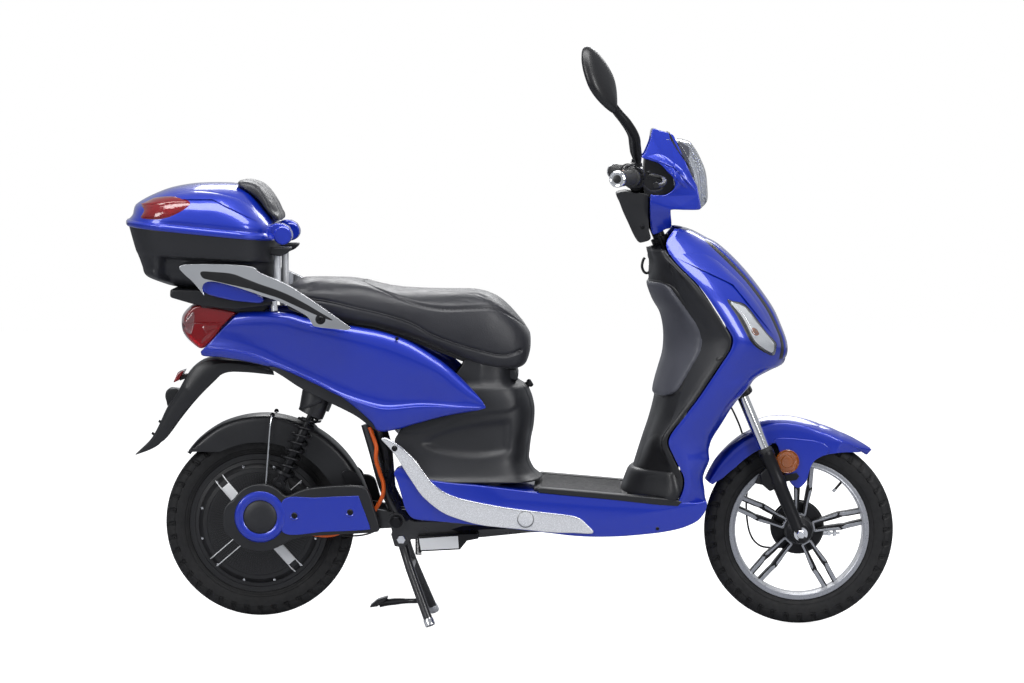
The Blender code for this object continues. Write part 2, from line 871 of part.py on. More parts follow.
SEAT_TOP = [
    (-0.505, 0.780),
    (-0.446, 0.787),
    (-0.336, 0.787),
    (-0.300, 0.777),
    (-0.235, 0.767),
    (-0.135, 0.762),
    (-0.083, 0.763),
    (-0.048, 0.756),
    (-0.014, 0.733),
    (0.017, 0.700),
    (0.042, 0.655),
]
SEAT_LOW = [
    (-0.505, 0.724),
    (-0.435, 0.706),
    (-0.344, 0.690),
    (-0.300, 0.683),
    (-0.222, 0.661),
    (-0.148, 0.631),
    (-0.083, 0.604),
    (-0.044, 0.597),
    (0.017, 0.598),
    (0.042, 0.622),
]
SEAT_HALF_WIDTH = [
    (-0.505, 0.100), (-0.440, 0.112), (-0.300, 0.122), (-0.180, 0.124), (-0.060, 0.112),
    (0.010, 0.092), (0.042, 0.064),
]


def seat_ring(x, low, top, half):
    """A section across the seat: flat below, crowned above."""
    height = top - low
    side = [
        (x, half * 0.86, low),
        (x, half, low + height * 0.30),
        (x, half * 0.95, low + height * 0.72),
        (x, half * 0.70, low + height * 0.94),
        (x, 0.0, top),
    ]
    return mirrored(side) + [(x, 0.0, low)]


def make_seat():
    """Cushion and pan, which lift together about the hinge at the nose."""
    hinge = pivot("seat_pivot", SEAT_HINGE)
    stations = [
        -0.505, -0.470, -0.400, -0.336, -0.290, -0.235, -0.160, -0.100, -0.048, -0.014, 0.017,
        0.042,
    ]
    rings = [seat_ring(x, lerp(SEAT_LOW, x), lerp(SEAT_TOP, x), lerp(SEAT_HALF_WIDTH, x)) for x in stations]
    cushion = loft("seat_cushion", rings)
    finish(cushion, LEATHER, hinge)
    pan_stations = stations[1:-2]
    thickness = 0.007
    pan_rings = []
    for x in pan_stations:
        top, half = lerp(SEAT_LOW, x) - 0.0006, lerp(SEAT_HALF_WIDTH, x) * 0.80
        bottom = top - thickness
        pan_rings.append([(x, half, top), (x, -half, top), (x, -half, bottom), (x, half, bottom)])
    pan = loft("seat_pan", pan_rings)
    finish(pan, BLACK, hinge)


# ---------------------------------------------------------------- rear wheel and suspension


def tyre_profile():
    """Half-round tread over straight side walls, closed along the rim."""
    w, r = TYRE_HALF_WIDTH, TYRE_RADIUS
    return [
        (RIM_RADIUS, 0.022),
        (RIM_RADIUS + 0.012, 0.030),
        (r - 0.026, w),
        (r - 0.012, w * 0.86),
        (r - 0.003, w * 0.50),
        (r, 0.0),
        (r - 0.003, -w * 0.50),
        (r - 0.012, -w * 0.86),
        (r - 0.026, -w),
        (RIM_RADIUS + 0.012, -0.030),
        (RIM_RADIUS, -0.022),
    ]


def make_rear_wheel(parent):
    spin = pivot("rear_wheel_pivot", REAR_AXLE, parent)
    tyre = turned("rear_tyre", tyre_profile(), REAR_AXLE, 28)
    finish(tyre, RUBBER, spin)
    rim = RIM_RADIUS - 0.0004
    bore = REAR_AXLE_RADIUS + RUNNING_GAP
    profile = [
        (bore, 0.052),
        (0.040, 0.052),
        (0.060, 0.046),
        (0.128, 0.040),
        (0.140, 0.026),
        (rim, 0.026),
        (rim, -0.026),
        (0.140, -0.026),
        (0.128, -0.040),
        (0.060, -0.046),
        (0.040, -0.052),
        (bore, -0.052),
    ]
    motor = turned("hub_motor", profile, REAR_AXLE, 28)
    finish(motor, BLACK, spin)


ARM_INNER, ARM_OUTER = 0.060, 0.072
COVER_INNER, COVER_OUTER = 0.104, 0.128


def make_swingarm():
    """Two plate arms and a cross tube, with the axle, the side covers and the hugger on them."""
    swing = pivot("swingarm_pivot", SWING_PIVOT)
    outline = [
        (-0.246, 0.256),
        (-0.262, 0.260),
        (-0.330, 0.272),
        (-0.500, 0.300),
        (-0.512, 0.340),
        (-0.526, 0.346),
        (-0.542, 0.336),
        (-0.560, 0.270),
        (-0.606, 0.250),
        (-0.610, 0.216),
        (-0.560, 0.205),
        (-0.330, 0.222),
        (-0.262, 0.226),
        (-0.246, 0.232),
    ]
    arm = side_slab("swingarm", outline, -1, ARM_INNER, ARM_OUTER)
    other = side_slab("arm_left", outline, 1, ARM_INNER, ARM_OUTER)
    cross = rod("arm_cross", (-0.330, -0.064, 0.243), (-0.330, 0.064, 0.243), 0.014)
    studs = []
    holes = []
    for name, side in SIDES:
        studs.append(pin("shock_pin_" + name, SHOCK_FOOT, 0.066 * side, 0.100 * side, 0.005))
        holes.append(pin("pivot_hole_" + name, SWING_PIVOT, 0.050 * side, 0.080 * side, 0.0084))
        axle_hole = REAR_AXLE_RADIUS + 0.0005
        holes.append(pin("axle_hole_" + name, REAR_AXLE, 0.050 * side, 0.080 * side, axle_hole))
    cut(join(arm, other, cross, *studs), *holes)
    finish(arm, STEEL, swing)
    r = REAR_AXLE_RADIUS
    axle = turned(
        "rear_axle",
        [
            (0, 0.094), (0.013, 0.094), (0.013, 0.0725), (r, 0.0725), (r, -0.0725),
            (0.013, -0.0725), (0.013, -0.094), (0, -0.094),
        ],
        REAR_AXLE,
        16,
        closed=False,
    )
    finish(axle, CHROME, swing)
    make_swingarm_covers(swing)
    hugger = turned(
        "rear_hugger",
        [
            (0.222, 0.050), (0.243, 0.046), (0.250, 0.026), (0.252, 0.0), (0.250, -0.026),
            (0.243, -0.046), (0.222, -0.050),
        ],
        REAR_AXLE,
        14,
        closed=False,
        sweep=-120.0,
        start=-20.0,
    )
    skin = hugger.modifiers.new("Solidify", "SOLIDIFY")
    skin.thickness = 0.0025
    skin.offset = 0.0
    hugger_stays = []
    for name, side in SIDES:
        foot = (-0.375, 0.066 * side, 0.2825)
        head = (-0.375, 0.047 * side, 0.376)
        hugger_stays.append(rod("hugger_stay_" + name, foot, head, 0.004))
    join(hugger, *hugger_stays)
    finish(hugger, BLACK, swing)
    make_rear_wheel(swing)
    return swing


def make_swingarm_covers(swing):
    """The side covers: a disc over the axle with an arm reaching forward, hollow towards the wheel."""
    centre, radius = Vector((-0.570, 0.0, 0.256)), 0.078
    disc = [
        (centre.x + radius * math.cos(a), centre.z + radius * math.sin(a))
        for a in [math.radians(40 + i * 280 / 16) for i in range(17)]
    ]
    arm = [
        (-0.469, 0.213), (-0.415, 0.217), (-0.303, 0.222), (-0.299, 0.243), (-0.319, 0.311),
        (-0.330, 0.324), (-0.460, 0.322),
    ]
    for name, side in SIDES:
        cover = side_slab("swingarm_cover_" + name, disc + arm, side, COVER_INNER, COVER_OUTER, 0.004)
        pocket = side_slab(
            "cover_pocket_" + name, disc + arm, side, COVER_INNER - 0.005, COVER_OUTER - 0.003, 0.0,
            0.005,
        )
        boss_start, boss_end = (ARM_OUTER + 0.0006) * side, (COVER_OUTER - 0.002) * side
        join(
            cut(cover, pocket),
            pin("cover_boss_" + name, Vector((-0.440, 0.0, 0.256)), boss_start, boss_end, 0.007),
        )
        finish(cover, PAINT, swing)


def make_shocks():
    """Coil-over shock absorbers: a body hung from the frame, a sleeve sliding on its rod, and a spring."""
    axis = (SHOCK_FOOT - SHOCK_TOP).normalized()
    length = (SHOCK_FOOT - SHOCK_TOP).length
    for name, side in SIDES:
        shift = Vector((0, SHOCK_TRACK * side, 0))
        top, foot = SHOCK_TOP + shift, SHOCK_FOOT + shift
        hang = pivot("shock_pivot_" + name, top)
        body = rod("shock_body_" + name, top + Vector((0, -0.011, 0)), top + Vector((0, 0.011, 0)), 0.014)
        bell = rod("shock_bell_" + name, top + axis * 0.008, top + axis * 0.072, 0.030, 20)
        shaft = rod("shock_shaft_" + name, top + axis * 0.030, top + axis * 0.150, 0.006)
        room = rod("shock_room_" + name, top + axis * 0.030, top + axis * 0.080, 0.0265, 20)
        eye = rod("shock_eye_" + name, top + Vector((0, -0.03, 0)), top + Vector((0, 0.03, 0)), 0.0066)
        cut(body, eye)
        join(body, bell)
        cut(body, room)
        join(body, shaft)
        finish(body, BLACK, hang)
        slide = pivot("shock_slide_" + name, foot, hang)
        lower = rod("shock_rod_" + name, foot + Vector((0, -0.009, 0)), foot + Vector((0, 0.009, 0)), 0.013)
        sleeve = rod("shock_sleeve_" + name, foot - axis * 0.006, foot - axis * (length - 0.108), 0.011)
        seat = rod("shock_seat_" + name, foot - axis * 0.022, foot - axis * 0.028, 0.024)
        bore = rod("shock_bore_" + name, foot - axis * 0.040, foot - axis * length, 0.0072)
        foot_eye = pin("shock_foot_eye_" + name, foot, foot.y - 0.03, foot.y + 0.03, 0.0072)
        cut(join(lower, sleeve, seat), bore, foot_eye)
        finish(lower, BLACK, slide)
        start, stop = 0.033, length - 0.034
        turns, per_turn = 6, 6
        coil = []
        across = Vector((0, 1, 0)).cross(axis)
        for i in range(turns * per_turn + 1):
            t = i / (turns * per_turn)
            angle = 2 * math.pi * turns * t
            around = Vector((0, 1, 0)) * math.sin(angle) + across * math.cos(angle)
            coil.append(top + axis * (start + (stop - start - 0.002) * t + 0.001) + around * 0.0190)
        spring = tube("shock_spring_" + name, coil, 0.0036, 0)
        finish(spring, STEEL, hang)


def make_motor_cable():
    """The motor's cable, which runs down behind the cover and along the frame's right side."""
    route = [
        (-0.322, -0.082, 0.450), (-0.308, -0.088, 0.400), (-0.300, -0.090, 0.350),
        (-0.293, -0.090, 0.310), (-0.300, -0.088, 0.285),
    ]
    cable = tube("motor_cable", smooth(route, 3), 0.0045, 1)
    finish(cable, ORANGE)


def make_stand():
    """The centre stand: bored hubs, splayed legs with feet, a brace and the foot lever on the left."""
    hinge = pivot("stand_pivot", STAND_PIVOT)
    x, z = STAND_PIVOT.x, STAND_PIVOT.z
    stand = rod("center_stand", (-0.231, -0.066, 0.130), (-0.231, 0.066, 0.130), 0.008)
    pieces = []
    for name, side in SIDES:
        pieces.append(rod("stand_hub_" + name, (x, 0.036 * side, z), (x, 0.062 * side, z), 0.012, 16))
        leg = [
            (x + 0.001, 0.049 * side, z - 0.004), (-0.231, 0.064 * side, 0.130),
            (-0.188, 0.104 * side, 0.014),
        ]
        pieces.append(tube("stand_leg_" + name, leg, 0.010))
        foot_low, foot_high = (-0.206, 0.104 * side - 0.014, 0.0), (-0.166, 0.104 * side + 0.014, 0.010)
        pieces.append(box("stand_foot_" + name, foot_low, foot_high, 0.002))
    lever = smooth(
        [(-0.192, 0.104, 0.026), (-0.215, 0.134, 0.026), (-0.255, 0.143, 0.024), (-0.325, 0.145, 0.024)],
        2,
    )
    pieces.append(tube("stand_lever", lever, 0.006))
    join(stand, *pieces)
    bore = rod("stand_bore", (x, -0.070, z), (x, 0.070, z), 0.0065)
    cut(stand, bore)
    finish(stand, STEEL, hinge)


# ---------------------------------------------------------------- steering, fork and front wheel


def make_steering():
    """Stem and lower crown with the stanchions, then everything on the handlebar."""
    steering = pivot("steering_pivot", STEER_POINT)
    crown_up = up_of((0.530, 0.0, 0.548))
    stem = rod("steering_stem", steer(0, 0, crown_up - 0.010), steer(0, 0, 0.120), STEM_RADIUS)
    crown_low, crown_high = crown_up - 0.014, crown_up + 0.014
    crown_shape = [
        steer(-0.022, 0.024, crown_low),
        steer(0.012, 0.096, crown_low),
        steer(0.056, 0.096, crown_low),
        steer(0.056, -0.096, crown_low),
        steer(0.012, -0.096, crown_low),
        steer(-0.022, -0.024, crown_low),
    ]
    lift = STEER_UP * (crown_high - crown_low)
    crown = loft("fork_crown", [crown_shape, [p + lift for p in crown_shape]])
    neck = rod("stem_collar", steer(0, 0, -0.080), steer(0, 0, 0.012), 0.021)
    clamp = rod("bar_clamp", (0.282, -0.028, 1.008), (0.282, 0.028, 1.008), 0.019)
    top = rod("clamp_neck", steer(0, 0, 0.100), (0.282, 0, 1.002), 0.015)
    join(stem, crown, neck, clamp, top)
    bar_hole = rod("bar_hole", (0.282, -0.05, 1.008), (0.282, 0.05, 1.008), BAR_RADIUS + 0.0006)
    cutters = [bar_hole]
    for name, side in SIDES:
        y = FORK_HALF_TRACK * side
        hole_start, hole_end = steer(FORK_AHEAD, y, crown_low - 0.02), steer(
            FORK_AHEAD, y, crown_high + 0.02,
        )
        cutters.append(rod("stanchion_hole_" + name, hole_start, hole_end, STANCHION_RADIUS + 0.0005))
    cut(stem, *cutters)
    finish(stem, STEEL, steering)
    for name, side in SIDES:
        y = FORK_HALF_TRACK * side
        leg_top = fork_leg_top()
        foot, head = steer(FORK_AHEAD, y, leg_top - 0.090), steer(FORK_AHEAD, y, crown_high + 0.006)
        stanchion = rod("stanchion_" + name, foot, head, STANCHION_RADIUS)
        finish(stanchion, CHROME, steering)
    make_handlebar(steering)
    make_headlight(steering)
    make_fork(steering)
    return steering


def fork_leg_top():
    """How far up the steering axis the lower legs' rims are."""
    return up_of((0.576, 0.0, 0.402))


def make_handlebar(steering):
    """A swept bar with grips, levers, mirrors and the buttons."""
    right_in, right_out = (Vector((p.x, -p.y, p.z)) for p in (GRIP_INNER, GRIP_OUTER))
    path = [
        right_out, right_in, Vector((0.281, -0.165, 1.024)), Vector((0.282, -0.060, 1.008)),
        Vector((0.282, -0.030, 1.008)),
    ]
    path += [Vector((p.x, -p.y, p.z)) for p in reversed(path)]
    bar = tube("handlebar", path, BAR_RADIUS, 2)
    perches = []
    for name, side in SIDES:
        housing = (0.2795, 0.170 * side, 1.0242), (0.2690, 0.2125 * side, 1.0260)
        perch = (0.276, 0.192 * side, 1.027), (0.2985, 0.194 * side, 1.0295)
        boss = (0.279, 0.199 * side, 1.030), (0.2835, 0.200 * side, 1.0470)
        perches.append(rod("housing_" + name, *housing, 0.019, 16))
        perches.append(rod("perch_" + name, *perch, 0.008))
        perches.append(rod("mirror_boss_" + name, *boss, 0.008))
    button_recess = rod("horn_recess", (0.240, 0.186, 1.027), (0.2612, 0.186, 1.027), 0.0066, 12)
    cut(join(bar, *perches), button_recess)
    finish(bar, STEEL, steering)
    for name, side in SIDES:
        inner = Vector((GRIP_INNER.x, GRIP_INNER.y * side, GRIP_INNER.z))
        outer = Vector((GRIP_OUTER.x, GRIP_OUTER.y * side, GRIP_OUTER.z))
        along = (outer - inner).normalized()
        holder = steering
        label = "grip_left"
        if side < 0:
            holder = pivot("throttle_pivot", inner, steering)
            label = "throttle_grip"
        grip = rod(label, inner + along * 0.004, outer + along * 0.010, GRIP_RADIUS, 16)
        flange = rod("grip_flange_" + name, inner + along * 0.002, inner + along * 0.007, 0.0215, 16)
        bore = rod(
            "grip_bore_" + name, inner - along * 0.01, outer + along * 0.0015, BAR_RADIUS + 0.0008,
            16,
        )
        cut(join(grip, flange), bore)
        finish(grip, RUBBER, holder)
        make_lever(name, side, steering)
        make_mirror(name, side, steering)
    button = rod("horn_button", (0.2585, 0.186, 1.0270), (0.2520, 0.186, 1.0270), 0.006, 12)
    horn = pivot("horn_pivot", (0.2520, 0.186, 1.027), steering)
    finish(button, BLACK, horn)


LEVER_PIVOT = Vector((0.306, 0.196, 1.030))


def make_lever(name, side, steering):
    """A blade lever that swings back towards the grip."""
    place = Vector((LEVER_PIVOT.x, LEVER_PIVOT.y * side, LEVER_PIVOT.z))
    swing = pivot("brake_lever_pivot_" + name, place, steering)
    path = [
        (0.306, 0.196, 1.030), (0.336, 0.214, 1.024), (0.338, 0.250, 1.016), (0.322, 0.310, 1.012),
        (0.322, 0.338, 1.012),
    ]
    points = smooth([(x, y * side, z) for x, y, z in path], 2)
    lever = tube("brake_lever_" + name, points, 0.0055, 1)
    finish(lever, SILVER, swing)


MIRROR_BASE = Vector((0.284, 0.200, 1.0495))


def make_mirror(name, side, steering):
    """A bent stem with a leaf-shaped shell on top, which swivels on its stem's thread."""
    base = Vector((MIRROR_BASE.x, MIRROR_BASE.y * side, MIRROR_BASE.z))
    swivel = pivot("mirror_pivot_" + name, base, steering)
    path = [
        base,
        (0.2835, 0.202 * side, 1.062),
        (0.280, 0.214 * side, 1.082),
        (0.277, 0.240 * side, 1.112),
        (0.262, 0.262 * side, 1.142),
        (0.238, 0.276 * side, 1.170),
        (0.224, 0.284 * side, 1.190),
    ]
    mirror = tube("mirror_" + name, path, 0.0055, 1)
    bm = bmesh.new()
    bmesh.ops.create_uvsphere(bm, u_segments=12, v_segments=7, radius=1.0)
    shape = Matrix.Diagonal((0.014, 0.046, 0.078, 1.0))
    turn = Matrix.Rotation(math.radians(-24), 4, "Y") @ Matrix.Rotation(math.radians(32 * side), 4, "Z")
    bm.transform(Matrix.Translation((0.200, 0.290 * side, 1.238)) @ turn @ shape)
    head = add_mesh("mirror_head_" + name, bm)
    join(mirror, head)
    finish(mirror, BLACK, swivel)


def make_headlight(steering):
    """Cowl, dash cover behind it, and the lens in front."""
    cowl_outline = [
        (0.318, 1.131),
        (0.351, 1.123),
        (0.367, 1.117),
        (0.374, 1.100),
        (0.386, 1.071),
        (0.405, 1.028),
        (0.421, 0.985),
        (0.424, 0.950),
        (0.361, 0.950),
        (0.361, 0.912),
        (0.345, 0.905),
        (0.326, 0.925),
        (0.318, 0.955),
        (0.326, 1.000),
        (0.330, 1.050),
        (0.314, 1.090),
    ]
    inside = [
        (0.330, 1.112),
        (0.352, 1.112),
        (0.372, 1.071),
        (0.400, 1.018),
        (0.440, 0.990),
        (0.440, 0.958),
        (0.355, 0.957),
        (0.300, 0.960),
        (0.300, 1.030),
        (0.332, 1.060),
    ]
    cowl = slab("headlight_cowl", cowl_outline, -0.092, 0.092, 0.012)
    hollow = slab("cowl_hollow", inside, -0.080, 0.080)
    cowl_room = rod("cowl_room", steer(0, 0, -0.05), steer(0, 0, 0.20), 0.0235, 20)
    cut(cowl, hollow, cowl_room)
    finish(cowl, PAINT, steering)
    lens_outline = [
        (0.3765, 1.1085),
        (0.405, 1.101),
        (0.424, 1.073),
        (0.439, 1.038),
        (0.444, 1.003),
        (0.444, 0.969),
        (0.430, 0.951),
        (0.426, 0.960),
        (0.426, 0.986),
        (0.410, 1.030),
        (0.391, 1.073),
    ]
    lens = slab("headlight_lens", lens_outline, -0.078, 0.078, 0.002)
    finish(lens, CLEAR, steering)
    dash_outline = [
        (0.237, 0.985), (0.252, 0.975), (0.268, 0.935), (0.285, 0.895), (0.300, 0.878),
        (0.320, 0.890), (0.3115, 0.955), (0.3115, 0.985), (0.256, 0.992),
    ]
    dash = slab("dash_cover", dash_outline, -0.070, 0.070, 0.006)
    neck_room = rod("dash_room", steer(0, 0, -0.05), steer(0, 0, 0.20), 0.0235)
    clamp_room = rod("dash_clamp_room", (0.282, -0.075, 1.008), (0.282, 0.075, 1.008), 0.0215)
    cut(dash, neck_room, clamp_room)
    finish(dash, BLACK, steering)


def make_fork(steering):
    """Lower legs, axle, fender and brake plate, which slide up the stanchions, and the wheel."""
    slide = pivot("fork_pivot", FRONT_AXLE, steering)
    leg_top = fork_leg_top()
    axle_up = up_of(FRONT_AXLE)
    axle_ahead = (FRONT_AXLE - STEER_POINT).dot(STEER_AHEAD)
    for name, side in SIDES:
        y = FORK_HALF_TRACK * side
        leg = rod(
            "fork_leg_" + name, steer(FORK_AHEAD, y, axle_up - 0.020),
            steer(FORK_AHEAD, y, leg_top), FORK_LEG_RADIUS, 20,
        )
        boss = pin("fork_boss_" + name, FRONT_AXLE, y - 0.009, y + 0.009, 0.020, 16)
        bore_start, bore_end = steer(FORK_AHEAD, y, leg_top - 0.145), steer(FORK_AHEAD, y, leg_top + 0.02)
        bore = rod("fork_bore_" + name, bore_start, bore_end, STANCHION_RADIUS + RUNNING_GAP)
        axle_hole = pin("fork_axle_hole_" + name, FRONT_AXLE, y - 0.03, y + 0.03, AXLE_RADIUS + 0.0005)
        cut(join(leg, boss), bore, axle_hole)
        finish(leg, STEEL, slide)
    r = AXLE_RADIUS
    half = FORK_HALF_TRACK + 0.0165
    axle = turned(
        "front_axle",
        [
            (0, half + 0.010), (0.010, half + 0.010), (0.010, half), (r, half), (r, -half),
            (0.010, -half), (0.010, -half - 0.010), (0, -half - 0.010),
        ],
        FRONT_AXLE,
        16,
        closed=False,
    )
    finish(axle, CHROME, slide)
    plate = turned(
        "brake_plate",
        [(r + 0.0005, 0.058), (0.045, 0.058), (0.062, 0.050), (0.062, 0.046), (r + 0.0005, 0.046)],
        FRONT_AXLE,
        24,
    )
    anchor = rod("brake_anchor", (0.690, 0.052, 0.250), (0.735, 0.052, 0.214), 0.005)
    join(plate, anchor)
    finish(plate, SILVER, slide)
    make_front_fender(slide)
    make_front_wheel(slide)


def make_front_fender(slide):
    """A deep painted fender with a tongue on each side that bolts to the fork legs."""
    fender = turned(
        "front_fender",
        [
            (0.222, 0.050), (0.239, 0.047), (0.247, 0.028), (0.250, 0.0), (0.247, -0.028),
            (0.239, -0.047), (0.222, -0.050),
        ],
        FRONT_AXLE,
        14,
        closed=False,
        sweep=-120.0,
        start=-35.0,
    )
    skin = fender.modifiers.new("Solidify", "SOLIDIFY")
    skin.thickness = 0.0030
    skin.offset = 0.0
    tongue = [
        (0.560, 0.430), (0.594, 0.425), (0.625, 0.351), (0.634, 0.329), (0.647, 0.318),
        (0.664, 0.326), (0.676, 0.345), (0.690, 0.380), (0.730, 0.400), (0.730, 0.440),
        (0.640, 0.462), (0.570, 0.452),
    ]
    for name, side in SIDES:
        join(fender, side_slab("fender_tongue_" + name, tongue, side, 0.0465, 0.0520))
    finish(fender, PAINT, slide)


def make_front_wheel(slide):
    """Tyre and a cast rim with five pairs of spokes."""
    spin = pivot("front_wheel_pivot", FRONT_AXLE, slide)
    tyre = turned("front_tyre", tyre_profile(), FRONT_AXLE, 28)
    finish(tyre, RUBBER, spin)
    rim_out, rim_in = RIM_RADIUS - 0.0004, 0.146
    rim = turned(
        "front_rim",
        [(rim_in, 0.026), (rim_out, 0.026), (rim_out, -0.026), (rim_in, -0.026), (rim_in - 0.004, 0.0)],
        FRONT_AXLE,
        28,
    )
    hub = turned(
        "front_hub",
        [
            (AXLE_RADIUS + RUNNING_GAP, 0.042), (0.034, 0.042), (0.034, -0.036), (0.024, -0.040),
            (AXLE_RADIUS + RUNNING_GAP, -0.040),
        ],
        FRONT_AXLE,
        24,
    )
    pieces = [hub]
    for i in range(5):
        for offset in (-13.0, 13.0):
            inner = math.radians(90 + 72 * i + offset * 0.4)
            outer = math.radians(90 + 72 * i + offset)
            start = FRONT_AXLE + Vector((0.028 * math.cos(inner), 0, 0.028 * math.sin(inner)))
            end = FRONT_AXLE + Vector((0.150 * math.cos(outer), 0, 0.150 * math.sin(outer)))
            pieces.append(spoke(f"spoke_{i}_{int(offset)}", start, end))
    join(rim, *pieces)
    finish(rim, SILVER, spin)


def spoke(name, start, end):
    """A flat bar between two points in the wheel's plane."""
    along = (end - start).normalized()
    across = along.cross(Vector((0, 1, 0))) * 0.0055
    depth = Vector((0, 0.012, 0))
    ring = [start - across - depth, start + across - depth, start + across + depth, start - across + depth]
    reach = end - start
    return loft(name, [ring, [p + reach for p in ring]])


make_main_frame()
make_inner_parts()
make_body_panels()
make_center_cover()
make_lower_fairing()
make_floor_mat()
make_trims()
make_front_fairing()
make_leg_shield()
make_indicators()
make_tail_light()
make_mudflap()
make_rear_carrier()
make_topbox()
make_seat()
make_swingarm()
make_shocks()
make_motor_cable()
make_stand()
make_steering()
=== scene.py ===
"""The looks of the moped scooter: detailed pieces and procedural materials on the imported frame, in metres."""

import json
import math

import bmesh
import bpy
import numpy as np
from mathutils import Matrix, Vector


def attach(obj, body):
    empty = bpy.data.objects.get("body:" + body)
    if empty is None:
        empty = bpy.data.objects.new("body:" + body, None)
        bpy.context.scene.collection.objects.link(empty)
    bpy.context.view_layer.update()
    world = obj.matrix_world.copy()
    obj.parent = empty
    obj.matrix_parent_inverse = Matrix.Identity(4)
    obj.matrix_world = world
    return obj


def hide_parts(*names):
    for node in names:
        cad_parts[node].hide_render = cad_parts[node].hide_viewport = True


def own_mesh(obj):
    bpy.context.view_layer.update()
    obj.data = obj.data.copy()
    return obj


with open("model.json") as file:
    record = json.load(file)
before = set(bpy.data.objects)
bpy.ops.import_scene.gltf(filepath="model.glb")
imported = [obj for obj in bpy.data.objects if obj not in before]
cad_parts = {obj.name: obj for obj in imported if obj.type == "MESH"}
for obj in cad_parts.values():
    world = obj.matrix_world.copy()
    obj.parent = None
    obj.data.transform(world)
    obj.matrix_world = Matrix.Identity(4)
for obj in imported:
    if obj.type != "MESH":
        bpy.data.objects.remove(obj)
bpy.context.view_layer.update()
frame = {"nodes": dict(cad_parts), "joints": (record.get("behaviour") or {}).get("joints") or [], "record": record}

SIDES = (("right", -1), ("left", 1))
UP = Vector((0.0, 0.0, 1.0))
ACROSS = Vector((0.0, 1.0, 0.0))


def joint_named(name):
    """The record's joint of that name."""
    return next(j for j in frame["joints"] if j["name"] == name)


STEER_POINT = Vector(joint_named("steering_turn")["pos_m"])
STEER_UP = Vector(joint_named("steering_turn")["axis"])
STEER_AHEAD = Vector((STEER_UP.z, 0.0, -STEER_UP.x))
FRONT_AXLE = Vector(joint_named("front_wheel_spin")["pos_m"])
REAR_AXLE = Vector(joint_named("rear_wheel_spin")["pos_m"])

# ---------------------------------------------------------------- camera, light and floor

VIEW_DISTANCE = 7.5
VIEW_HEIGHT = 0.6458
VIEW_PITCH = math.radians(4.4)
VIEW_YAW = math.radians(1.2)
VIEW_LENS = 115.35


SHOCK_TOP = Vector((-0.425, 0.0, 0.553))
SHOCK_FOOT = Vector((-0.526, 0.0, 0.326))
SHOCK_TRACK = 0.090
STAND_PIVOT = Vector((-0.251, 0.0, 0.199))


def make_camera():
    data = bpy.data.cameras.new("camera")
    data.lens = VIEW_LENS
    data.sensor_width = 36.0
    camera = bpy.data.objects.new("camera", data)
    bpy.context.scene.collection.objects.link(camera)
    ahead = Vector(
        (
            -math.sin(VIEW_YAW) * math.cos(VIEW_PITCH), math.cos(VIEW_YAW) * math.cos(VIEW_PITCH),
            -math.sin(VIEW_PITCH),
        )
    )
    camera.location = Vector((0.0, 0.0, VIEW_HEIGHT)) - ahead * VIEW_DISTANCE
    camera.rotation_euler = (math.pi / 2 - VIEW_PITCH, 0.0, VIEW_YAW)
    bpy.context.scene.camera = camera


def make_light(name, place, target, size, power, tint=(1.0, 1.0, 1.0)):
    data = bpy.data.lights.new(name, "AREA")
    data.shape = "RECTANGLE"
    data.size, data.size_y = size
    data.energy = power
    data.color = tint
    lamp = bpy.data.objects.new(name, data)
    bpy.context.scene.collection.objects.link(lamp)
    lamp.location = place
    lamp.rotation_euler = (Vector(target) - Vector(place)).to_track_quat("-Z", "Y").to_euler()


